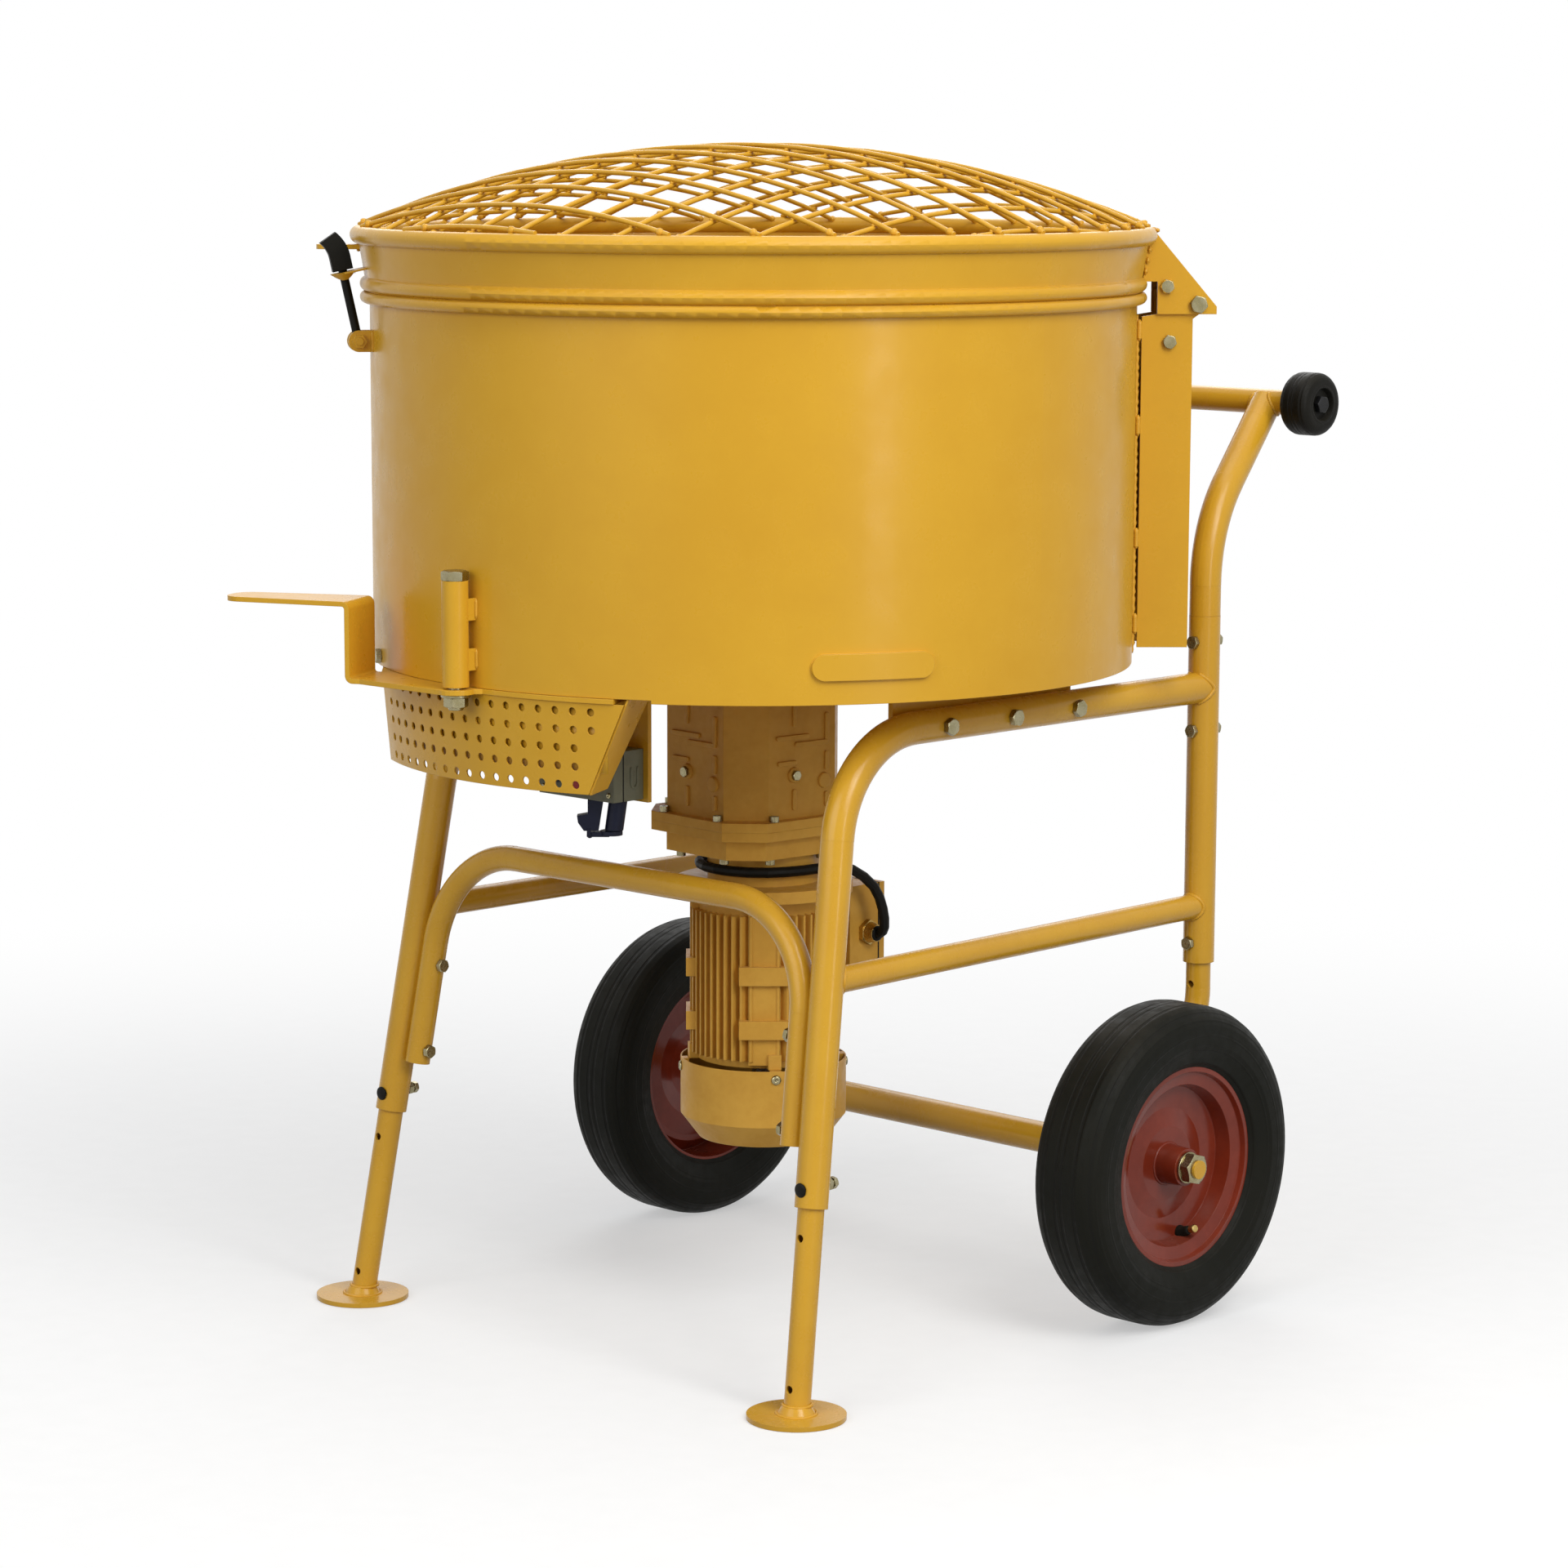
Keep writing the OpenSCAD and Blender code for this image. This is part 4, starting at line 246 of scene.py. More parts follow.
class Graph:
    """A short way to write a node tree."""

    def __init__(self, tree: bpy.types.NodeTree) -> None:
        """Starts on an empty tree.

        Args:
            tree: the shader or geometry node tree to fill.
        """
        self.tree = tree
        self._count = 0

    def node(self, kind: str, **settings: object) -> bpy.types.Node:
        """Adds a node.

        Args:
            kind: the node's type name.
            **settings: attributes to set on it.

        Returns:
            The new node.
        """
        made = self.tree.nodes.new(kind)
        for key, value in settings.items():
            setattr(made, key, value)
        self._count += 1
        made.location = (180 * (self._count % 12), -220 * (self._count // 12))
        return made

    def put(self, socket: bpy.types.NodeSocket, value: object) -> None:
        """Links a socket to an output, or sets its value.

        Args:
            socket: the input to fill.
            value: an output socket, or a plain value.
        """
        if isinstance(value, bpy.types.NodeSocket):
            self.tree.links.new(value, socket)
        else:
            socket.default_value = value

    def math(self, operation: str, a: object, b: object = 0.0, clamp: bool = False) -> bpy.types.NodeSocket:
        """Adds a Math node and returns its output.

        Args:
            operation: the node's operation.
            a: first input.
            b: second input.
            clamp: keep the result from 0 to 1.

        Returns:
            The value output.
        """
        made = self.node("ShaderNodeMath", operation=operation, use_clamp=clamp)
        self.put(made.inputs[0], a)
        if len(made.inputs) > 1:
            self.put(made.inputs[1], b)
        return made.outputs[0]

    def span(self, value: object, low: float, high: float, to_low: object = 0.0,
             to_high: object = 1.0, smooth: bool = False) -> bpy.types.NodeSocket:
        """Adds a Map Range node and returns its output.

        Args:
            value: what is mapped.
            low: value that gives to_low.
            high: value that gives to_high.
            to_low: result at low.
            to_high: result at high.
            smooth: ease both ends.

        Returns:
            The mapped output.
        """
        made = self.node("ShaderNodeMapRange", interpolation_type="SMOOTHSTEP" if smooth else "LINEAR")
        for socket, given in zip(made.inputs, (value, low, high, to_low, to_high)):
            self.put(socket, given)
        return made.outputs[0]

    def mix(self, factor: object, a: object, b: object) -> bpy.types.NodeSocket:
        """Mixes two colours and returns the result.

        Args:
            factor: 0 gives a and 1 gives b.
            a: first colour.
            b: second colour.

        Returns:
            The colour output.
        """
        made = self.node("ShaderNodeMix", data_type="RGBA")
        self.put(made.inputs[0], factor)
        self.put(made.inputs[6], a)
        self.put(made.inputs[7], b)
        return made.outputs[2]

    def noise(self, vector: object, scale: object, detail: float = 3.0,
              roughness: float = 0.5) -> bpy.types.NodeSocket:
        """Adds a noise texture and returns its factor.

        Args:
            vector: where it is read.
            scale: its scale.
            detail: octaves.
            roughness: weight of the small octaves.

        Returns:
            The factor output.
        """
        made = self.node("ShaderNodeTexNoise")
        self.put(made.inputs["Vector"], vector)
        self.put(made.inputs["Scale"], scale)
        made.inputs["Detail"].default_value = detail
        made.inputs["Roughness"].default_value = roughness
        return made.outputs[0]

    def group(self, shared: bpy.types.NodeTree, **values: object) -> bpy.types.Node:
        """Adds a shared node group and fills its named inputs.

        Args:
            shared: the group's tree.
            **values: input names, with _ for a space.

        Returns:
            The group node.
        """
        made = self.node("ShaderNodeGroup", node_tree=shared)
        for key, value in values.items():
            self.put(made.inputs[key.replace("_", " ")], value)
        return made


class SharedEffects:
    """The shader groups that every finish uses: edge wear with a painted edge highlight, dust, patches and
    the kinds of grain.
    """

    def __init__(self) -> None:
        """Builds each group once."""
        self.edge = self._edge_wear_and_highlight()
        self.dust = self._dust()
        self.patches = self._patches()
        self.grains = {kind: self._grain(kind) for kind in Grain}
        self.rings = self._rings()

    @staticmethod
    def _open(name: str, inputs: dict[str, str], outputs: dict[str, str]) -> tuple[Graph, dict, dict]:
        """Starts a group with named sockets.

        Args:
            name: the group's name.
            inputs: input names and their socket kinds.
            outputs: output names and their socket kinds.

        Returns:
            The graph, its inputs by name, and its output sockets by name.
        """
        tree = bpy.data.node_groups.new(name, "ShaderNodeTree")
        for label, kind in inputs.items():
            tree.interface.new_socket(name=label, in_out="INPUT", socket_type="NodeSocket" + kind)
        for label, kind in outputs.items():
            tree.interface.new_socket(name=label, in_out="OUTPUT", socket_type="NodeSocket" + kind)
        graph = Graph(tree)
        start, end = graph.node("NodeGroupInput"), graph.node("NodeGroupOutput")
        return graph, {s.name: s for s in start.outputs}, {s.name: s for s in end.inputs}

    def _edge_wear_and_highlight(self) -> bpy.types.NodeTree:
        """Softened edges, and a mask along the outer ones that noise breaks up; the mask lightens them,
        partly as wear and partly as a painted edge highlight.
        """
        g, i, o = self._open("Edge wear", {"Radius": "Float", "Wear": "Float"},
                             {"Mask": "Float", "Normal": "Vector"})
        soft = g.node("ShaderNodeBevel", samples=6)
        g.put(soft.inputs["Radius"], i["Radius"])
        wide = g.node("ShaderNodeBevel", samples=4)
        g.put(wide.inputs["Radius"], g.math("MULTIPLY", i["Radius"], 1.3))
        geometry = g.node("ShaderNodeNewGeometry")
        dot = g.node("ShaderNodeVectorMath", operation="DOT_PRODUCT")
        g.put(dot.inputs[0], wide.outputs[0])
        g.put(dot.inputs[1], geometry.outputs["Normal"])
        bent = g.span(dot.outputs["Value"], 0.995, 0.86, 0.0, 1.0)
        coordinates = g.node("ShaderNodeTexCoord")
        broken = g.span(g.noise(coordinates.outputs["Object"], 55.0, 4.0, 0.65), 0.44, 0.66)
        g.put(o["Mask"], g.math("MULTIPLY", g.math("MULTIPLY", bent, broken), i["Wear"], clamp=True))
        g.put(o["Normal"], soft.outputs[0])
        return g.tree

    def _dust(self) -> bpy.types.NodeTree:
        """A mask of dust on faces that look up."""
        g, i, o = self._open("Dust", {"Amount": "Float"}, {"Mask": "Float"})
        geometry = g.node("ShaderNodeNewGeometry")
        parts = g.node("ShaderNodeSeparateXYZ")
        g.put(parts.inputs[0], geometry.outputs["Normal"])
        upward = g.span(parts.outputs["Z"], 0.15, 0.95, 0.0, 1.0, smooth=True)
        coordinates = g.node("ShaderNodeTexCoord")
        cloud = g.span(g.noise(coordinates.outputs["Object"], 14.0, 5.0, 0.6), 0.38, 0.72)
        g.put(o["Mask"], g.math("MULTIPLY", g.math("MULTIPLY", upward, cloud), i["Amount"], clamp=True))
        return g.tree

    def _patches(self) -> bpy.types.NodeTree:
        """Soft colour and gloss patches of two sizes."""
        g, i, o = self._open("Patches", {"Scale": "Float"}, {"Colour": "Float", "Gloss": "Float"})
        coordinates = g.node("ShaderNodeTexCoord")
        wide = g.noise(coordinates.outputs["Object"], i["Scale"], 3.0, 0.55)
        fine = g.noise(coordinates.outputs["Object"], g.math("MULTIPLY", i["Scale"], 7.3), 4.0, 0.6)
        both = g.math("ADD", g.math("MULTIPLY", wide, 0.72), g.math("MULTIPLY", fine, 0.28))
        g.put(o["Colour"], g.span(both, 0.34, 0.66, smooth=True))
        g.put(o["Gloss"], g.span(fine, 0.32, 0.70))
        return g.tree

    def _grain(self, kind: Grain) -> bpy.types.NodeTree:
        """Fine relief of one kind, put on top of a given normal."""
        g, i, o = self._open(f"Grain {kind.value}", {"Scale": "Float", "Depth": "Float", "Normal": "Vector"},
                             {"Normal": "Vector"})
        coordinates = g.node("ShaderNodeTexCoord")
        place: object = coordinates.outputs["Object"]
        if kind is Grain.BRUSHED:
            stretch = g.node("ShaderNodeMapping")
            g.put(stretch.inputs["Vector"], place)
            stretch.inputs["Scale"].default_value = (1.0, 1.0, 0.16)
            height = g.noise(stretch.outputs[0], i["Scale"], 4.0, 0.7)
        elif kind is Grain.CAST:
            coarse = g.noise(place, i["Scale"], 5.0, 0.62)
            pits = g.node("ShaderNodeTexVoronoi", feature="SMOOTH_F1")
            g.put(pits.inputs["Vector"], place)
            g.put(pits.inputs["Scale"], g.math("MULTIPLY", i["Scale"], 1.7))
            height = g.math("ADD", g.math("MULTIPLY", coarse, 0.7), g.math("MULTIPLY", pits.outputs[0], 0.3))
        elif kind is Grain.MOULDED:
            height = g.noise(place, i["Scale"], 2.0, 0.4)
        else:
            peel = g.noise(place, i["Scale"], 1.0, 0.3)
            speck = g.noise(place, g.math("MULTIPLY", i["Scale"], 6.0), 2.0, 0.5)
            height = g.math("ADD", g.math("MULTIPLY", peel, 0.8), g.math("MULTIPLY", speck, 0.2))
        bump = g.node("ShaderNodeBump")
        g.put(bump.inputs["Distance"], i["Depth"])
        g.put(bump.inputs["Height"], height)
        g.put(bump.inputs["Normal"], i["Normal"])
        g.put(o["Normal"], bump.outputs[0])
        return g.tree

    def _rings(self) -> bpy.types.NodeTree:
        """Moulded rings about an axis along X through a centre: sidewall ridges and tread grooves."""
        g, i, o = self._open(
            "Rings", {"Centre": "Vector", "Tread Radius": "Float", "Pitch": "Float", "Depth": "Float",
                      "Normal": "Vector"}, {"Normal": "Vector", "Groove": "Float"})
        coordinates = g.node("ShaderNodeTexCoord")
        off = g.node("ShaderNodeVectorMath", operation="SUBTRACT")
        g.put(off.inputs[0], coordinates.outputs["Object"])
        g.put(off.inputs[1], i["Centre"])
        parts = g.node("ShaderNodeSeparateXYZ")
        g.put(parts.inputs[0], off.outputs[0])
        radius = g.math("SQRT", g.math("ADD", g.math("POWER", parts.outputs["Y"], 2.0),
                                       g.math("POWER", parts.outputs["Z"], 2.0)))
        tread = g.span(g.math("SUBTRACT", radius, i["Tread Radius"]), -0.004, 0.0, smooth=True)
        across = g.math("ABSOLUTE", parts.outputs["X"])
        wave = g.math("SINE", g.math("MULTIPLY", g.math("DIVIDE", across, i["Pitch"]), math.tau))
        grooves = g.math("MULTIPLY", g.span(wave, 0.55, 0.95, smooth=True), tread)
        ridge = g.math("SINE", g.math("MULTIPLY", g.math("DIVIDE", radius, 0.0155), math.tau))
        ridges = g.math("MULTIPLY", g.span(ridge, 0.86, 1.0, smooth=True), g.math("SUBTRACT", 1.0, tread))
        height = g.math("SUBTRACT", g.math("MULTIPLY", ridges, 0.45), grooves)
        bump = g.node("ShaderNodeBump")
        g.put(bump.inputs["Distance"], i["Depth"])
        g.put(bump.inputs["Height"], height)
        g.put(bump.inputs["Normal"], i["Normal"])
        g.put(o["Normal"], bump.outputs[0])
        g.put(o["Groove"], grooves)
        return g.tree


@dataclass(frozen=True)
class RingPattern:
    """Moulded rings of one wheel or roller.

    Args:
        centre: a point on its axis, which runs along X.
        tread_radius: radius where the tread begins.
        pitch: distance between two grooves.
        depth: depth of a groove.
    """

    centre: Vector
    tread_radius: float
    pitch: float
    depth: float


class MaterialLibrary:
    """Makes Blender materials from finishes, once each."""

    DUST_COLOUR = (0.42, 0.37, 0.29, 1.0)
    # Painted shade in the tyre and roller grooves: how far the grooves are darkened, and the colour they are
    # darkened towards.
    GROOVE_SHADE = 0.3
    GROOVE_SHADE_COLOUR = (0.006, 0.006, 0.006, 1.0)

    def __init__(self) -> None:
        """Builds the shared groups."""
        self.effects = SharedEffects()
        self._made: dict[str, bpy.types.Material] = {}

    def get(self, name: str, rings: RingPattern | None = None, tag: str = "") -> bpy.types.Material:
        """Returns the material of a finish.

        Args:
            name: key in FINISHES.
            rings: moulded rings to add.
            tag: name of this variant, if it has rings.

        Returns:
            The material.
        """
        key = name + tag
        if key not in self._made:
            self._made[key] = self._build(key, FINISHES[name], rings)
        return self._made[key]

    def _build(self, key: str, finish: Finish, rings: RingPattern | None) -> bpy.types.Material:
        """Wires one material.

        Args:
            key: the material's name.
            finish: what it looks like.
            rings: moulded rings to add.

        Returns:
            The new material.
        """
        material = bpy.data.materials.new(f"mat_{key}")
        material.use_nodes = True
        material.node_tree.nodes.clear()
        g = Graph(material.node_tree)
        end = g.node("ShaderNodeOutputMaterial")
        shader = g.node("ShaderNodeBsdfPrincipled")
        shader.inputs["Metallic"].default_value = finish.metallic
        shader.inputs["Specular IOR Level"].default_value = finish.specular
        shader.inputs["Coat Weight"].default_value = finish.coat
        shader.inputs["Coat Roughness"].default_value = 0.12
        edge = g.group(self.effects.edge, Radius=finish.edge_mm * MM, Wear=finish.wear)
        patches = g.group(self.effects.patches, Scale=1.0 / (finish.patch_mm * MM))
        colour = g.mix(patches.outputs["Colour"], (*finish.base, 1.0), (*finish.shade, 1.0))
        # Edges lightened towards the worn colour: partly wear, partly a painted edge highlight.
        colour = g.mix(edge.outputs["Mask"], colour, (*finish.worn, 1.0))
        rough = g.span(patches.outputs["Gloss"], 0.0, 1.0, finish.rough[0], finish.rough[1])
        if finish.dust:
            dust = g.group(self.effects.dust, Amount=finish.dust)
            colour = g.mix(dust.outputs["Mask"], colour, self.DUST_COLOUR)
            rough = g.math("ADD", rough, g.math("MULTIPLY", dust.outputs["Mask"], 0.4), clamp=True)
        normal = edge.outputs["Normal"]
        if rings:
            ringed = g.group(self.effects.rings, Centre=tuple(rings.centre), Tread_Radius=rings.tread_radius,
                             Pitch=rings.pitch, Depth=rings.depth, Normal=normal)
            normal = ringed.outputs["Normal"]
            # Painted shade: the moulded grooves are darkened in colour.
            shade = g.math("MULTIPLY", ringed.outputs["Groove"], self.GROOVE_SHADE)
            colour = g.mix(shade, colour, self.GROOVE_SHADE_COLOUR)
        grain = g.group(self.effects.grains[finish.grain], Scale=1.0 / (finish.grain_mm * MM),
                        Depth=finish.depth_mm * MM, Normal=normal)
        g.put(shader.inputs["Base Color"], colour)
        g.put(shader.inputs["Roughness"], rough)
        g.put(shader.inputs["Normal"], grain.outputs["Normal"])
        g.put(end.inputs["Surface"], shader.outputs[0])
        material.diffuse_color = (*finish.base, 1.0)
        return material


# ---------------------------------------------------------------- geometry


class MeshKit:
    """Collects vertices and faces of one piece."""

    def __init__(self) -> None:
        """Starts empty."""
        self.vertices: list[Vector] = []
        self.faces: list[tuple[int, ...]] = []

    def bead(self, path: Sequence[Vector], radius: float, closed: bool = False, sides: int = 6,
             ripple: float = 0.13, pitch: float = 2.4 * MM) -> None:
        """Sweeps a rippled weld bead along a path.

        Args:
            path: points that the bead follows, at least two.
            radius: its radius.
            closed: join the last point to the first.
            sides: sides of its section.
            ripple: share of the radius that the ripples take.
            pitch: distance between two ripples.
        """
        points = self._even(path, pitch / 2.5, closed)
        count = len(points)
        start = len(self.vertices)
        side = Vector((0.0, 0.0, 1.0))
        for i, point in enumerate(points):
            after = points[(i + 1) % count] if closed else points[min(i + 1, count - 1)]
            before = points[i - 1] if closed else points[max(i - 1, 0)]
            along = (after - before).normalized()
            side = (side - along * side.dot(along))
            side = side.normalized() if side.length > 1e-6 else along.orthogonal().normalized()
            up = along.cross(side)
            size = radius * (1.0 + ripple * math.sin(math.tau * i / 2.5))
            if not closed:
                size *= min(1.0, 0.35 + 0.65 * min(i, count - 1 - i) / 3.0)
            for k in range(sides):
                turn = math.tau * k / sides
                self.vertices.append(point + size * (math.cos(turn) * side + math.sin(turn) * up))
        for i in range(count if closed else count - 1):
            a, b = start + i * sides, start + ((i + 1) % count) * sides
            for k in range(sides):
                n = (k + 1) % sides
                self.faces.append((a + k, a + n, b + n, b + k))
        if not closed:
            self.faces.append(tuple(range(start + sides - 1, start - 1, -1)))
            self.faces.append(tuple(start + (count - 1) * sides + k for k in range(sides)))

    @staticmethod
    def _even(path: Sequence[Vector], step: float, closed: bool) -> list[Vector]:
        """Spaces points evenly along a path.

        Args:
            path: the path's corners.
            step: distance between two points.
            closed: the path ends where it starts.

        Returns:
            The new points.
        """
        corners = [Vector(p) for p in path]
        if closed:
            corners.append(corners[0])
        lengths = [(b - a).length for a, b in zip(corners, corners[1:])]
        total = sum(lengths)
        count = max(3, round(total / step))
        made, leg, passed = [], 0, 0.0
        for i in range(count if closed else count + 1):
            want = total * i / count
            while leg < len(lengths) - 1 and passed + lengths[leg] < want:
                passed += lengths[leg]
                leg += 1
            share = (want - passed) / lengths[leg] if lengths[leg] > 1e-9 else 0.0
            made.append(corners[leg].lerp(corners[leg + 1], min(1.0, share)))
        return made

    def lathe(self, profile: Sequence[tuple[float, float]], frame: Matrix, segments: int = 32) -> None:
        """Turns a profile about the Z axis of a frame.

        Args:
            profile: (radius, height) points, from the bottom axis point to the top one.
            frame: where the axis is.
            segments: steps of the turn.
        """
        rings: list[list[int]] = []
        for radius, height in profile:
            if radius < 1e-7:
                rings.append([len(self.vertices)])
                self.vertices.append(frame @ Vector((0.0, 0.0, height)))
                continue
            rings.append([len(self.vertices) + k for k in range(segments)])
            for k in range(segments):
                turn = math.tau * k / segments
                spoke = Vector((radius * math.cos(turn), radius * math.sin(turn), height))
                self.vertices.append(frame @ spoke)
        for low, high in zip(rings, rings[1:]):
            for k in range(segments):
                n = (k + 1) % segments
                if len(low) == 1 and len(high) > 1:
                    self.faces.append((low[0], high[n], high[k]))
                elif len(high) == 1 and len(low) > 1:
                    self.faces.append((low[k], low[n], high[0]))
                elif len(low) > 1:
                    self.faces.append((low[k], low[n], high[n], high[k]))

    def sector(self, profile: Sequence[tuple[float, float]], at: Vector, angles: tuple[float, float],
               steps: int) -> None:
        """Adds a closed profile turned through part of a circle.

        Args:
            profile: (radius, height) corners, in metres.
            at: a point of the axis.
            angles: the first and last angle, in degrees.
            steps: how many steps the turn takes.
        """
        first, count = len(self.vertices), len(profile)
        for i in range(steps + 1):
            turn = radial(angles[0] + (angles[1] - angles[0]) * i / steps)
            self.vertices += [at + turn * r + Vector((0.0, 0.0, z)) for r, z in profile]
        for i in range(steps):
            for j in range(count):
                a, b = first + i * count + j, first + i * count + (j + 1) % count
                self.faces.append((a, b, b + count, a + count))
        self.faces.append(tuple(range(first, first + count)))
        self.faces.append(tuple(reversed(range(first + steps * count, first + (steps + 1) * count))))

    def slab(self, outline: Sequence[tuple[float, float]], height: float, frame: Matrix) -> None:
        """Raises a closed outline along the Z axis of a frame.

        Args:
            outline: points of the outline, anticlockwise.
            height: how high it stands.
            frame: where it lies.
        """
        start, count = len(self.vertices), len(outline)
        for level in (0.0, height):
            self.vertices.extend(frame @ Vector((x, y, level)) for x, y in outline)
        self.faces.append(tuple(start + k for k in range(count - 1, -1, -1)))
        self.faces.append(tuple(start + count + k for k in range(count)))
        for k in range(count):
            n = (k + 1) % count
            self.faces.append((start + k, start + n, start + count + n, start + count + k))

    def build(self, name: str, material: bpy.types.Material, smooth: bool = True,
              bevel: float = 0.0) -> bpy.types.Object:
        """Turns what was collected into an object at the origin.

        Args:
            name: the piece's name.
            material: its material.
            smooth: shade it smooth.
            bevel: width of a bevel on its edges.

        Returns:
            The new object.
        """
        mesh = bpy.data.meshes.new(name)
        mesh.from_pydata([tuple(v) for v in self.vertices], [], self.faces)
        mesh.validate()
        work = bmesh.new()
        work.from_mesh(mesh)
        bmesh.ops.recalc_face_normals(work, faces=work.faces)
        work.to_mesh(mesh)
        work.free()
        obj = bpy.data.objects.new(name, mesh)
        bpy.context.scene.collection.objects.link(obj)
        mesh.materials.append(material)
        mesh.polygons.foreach_set("use_smooth", [smooth] * len(mesh.polygons))
        if bevel:
            rounding = obj.modifiers.new("soft edges", "BEVEL")
            rounding.width, rounding.segments, rounding.limit_method = bevel, 2, "ANGLE"
            settle(obj)
        return obj


def settle(obj: bpy.types.Object) -> bpy.types.Object:
    """Applies an object's modifiers to its mesh.

    Args:
        obj: the object to settle.

    Returns:
        The same object, with a plain mesh.
    """
    bpy.context.view_layer.update()
    solid = obj.evaluated_get(bpy.context.evaluated_depsgraph_get())
    mesh = bpy.data.meshes.new_from_object(solid)
    obj.modifiers.clear()
    obj.data = mesh
    return obj


def facing(direction: Vector, at: Vector, spin: float = 0.0) -> Matrix:
    """A frame at a point whose Z axis looks along a direction.

    Args:
        direction: where Z looks.
        at: the frame's origin.
        spin: turn about Z, in radians.

    Returns:
        The frame.
    """
    turn = direction.to_track_quat("Z", "Y").to_matrix().to_4x4()
    return Matrix.Translation(at) @ turn @ Matrix.Rotation(spin, 4, "Z")


class Scatter:
    """Repeats one small template on many frames with Geometry Nodes."""

    def __init__(self, name: str, template: MeshKit, material: bpy.types.Material) -> None:
        """Keeps what is repeated.

        Args:
            name: the piece's name.
            template: the shape, drawn about its own origin.
            material: the material of every copy.
        """
        self.name, self.template, self.material = name, template, material

    def on(self, frames: Iterable[Matrix], sizes: Sequence[float] | None = None,
           smooth: bool = True) -> bpy.types.Object:
        """Puts a copy on each frame.

        Args:
            frames: where the copies go.
            sizes: scale of each copy.
            smooth: shade the copies smooth.

        Returns:
            One plain mesh object.
        """
        places = list(frames)
        scale = list(sizes) if sizes else [1.0] * len(places)
        source = self.template.build(self.name + "_template", self.material, smooth)
        cloud = bpy.data.meshes.new(self.name)
        cloud.from_pydata([tuple(m.translation) for m in places], [], [])
        turn = cloud.attributes.new("turn", "FLOAT_VECTOR", "POINT")
        turn.data.foreach_set("vector", [a for m in places for a in m.to_euler("XYZ")])
        size = cloud.attributes.new("size", "FLOAT", "POINT")
        size.data.foreach_set("value", scale)
        obj = bpy.data.objects.new(self.name, cloud)
        bpy.context.scene.collection.objects.link(obj)
        modifier = obj.modifiers.new("copies", "NODES")
        modifier.node_group = self._nodes(source)
        settle(obj)
        bpy.data.objects.remove(source)
        return obj

    def _nodes(self, source: bpy.types.Object) -> bpy.types.NodeTree:
        """Builds the geometry nodes: instances on points, realized, with their material.

        Args:
            source: the template object.

        Returns:
            The node tree.
        """
        tree = bpy.data.node_groups.new(self.name + "_nodes", "GeometryNodeTree")
        tree.interface.new_socket(name="Geometry", in_out="INPUT", socket_type="NodeSocketGeometry")
        tree.interface.new_socket(name="Geometry", in_out="OUTPUT", socket_type="NodeSocketGeometry")
        g = Graph(tree)
        start, end = g.node("NodeGroupInput"), g.node("NodeGroupOutput")
        info = g.node("GeometryNodeObjectInfo")
        info.inputs["Object"].default_value = source
        turn = g.node("GeometryNodeInputNamedAttribute", data_type="FLOAT_VECTOR")
        turn.inputs["Name"].default_value = "turn"
        size = g.node("GeometryNodeInputNamedAttribute", data_type="FLOAT")
        size.inputs["Name"].default_value = "size"
        rotation = g.node("FunctionNodeEulerToRotation")
        g.put(rotation.inputs[0], turn.outputs["Attribute"])
        copies = g.node("GeometryNodeInstanceOnPoints")
        g.put(copies.inputs["Points"], start.outputs[0])
        g.put(copies.inputs["Instance"], info.outputs["Geometry"])
        g.put(copies.inputs["Rotation"], rotation.outputs[0])
        g.put(copies.inputs["Scale"], size.outputs["Attribute"])
        real = g.node("GeometryNodeRealizeInstances")
        g.put(real.inputs[0], copies.outputs[0])
        painted = g.node("GeometryNodeSetMaterial")
        painted.inputs["Material"].default_value = self.material
        g.put(painted.inputs["Geometry"], real.outputs[0])
        g.put(end.inputs[0], painted.outputs[0])
        return tree


# ---------------------------------------------------------------- layout


@dataclass
class Layout:
    """Where the frame's main parts are, read from the CAD boxes.

    Args:
        axis: the drum's axis on the floor.
    """

    axis: Vector = field(default_factory=Vector)

    @classmethod
    def read(cls) -> "Layout":
        """Reads the drum's axis from its wall.

        Returns:
            The layout.
        """
        low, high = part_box("drum_wall")
        return cls(axis=Vector(((low.x + high.x) / 2, (low.y + high.y) / 2, 0.0)))

    def at(self, x: float, y: float, z: float) -> Vector:
        """A point given in millimetres about the drum's axis.

        Args:
            x: to the machine's right.
            y: to the rear.
            z: up from the floor.

        Returns:
            The point in the row frame.
        """
        return self.axis + Vector((x, y, z)) * MM

    def polar(self, angle: float, radius: float, z: float) -> Vector:
        """A point given by its compass angle about the drum's axis, in degrees and millimetres.

        Args:
            angle: 0 is the machine's right and -90 its front.
            radius: distance from the axis.
            z: up from the floor.

        Returns:
            The point in the row frame.
        """
        turn = math.radians(angle)
        return self.at(radius * math.cos(turn), radius * math.sin(turn), z)

    @staticmethod
    def middle(node: str) -> Vector:
        """The middle of a CAD node's box.

        Args:
            node: the node's name.

        Returns:
            The middle point.
        """
        low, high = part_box(node)
        return (low + high) / 2


def radial(angle: float) -> Vector:
    """The unit vector away from the drum's axis at a compass angle.

    Args:
        angle: the compass angle in degrees.

    Returns:
        The direction.
    """
    return Vector((math.cos(math.radians(angle)), math.sin(math.radians(angle)), 0.0))


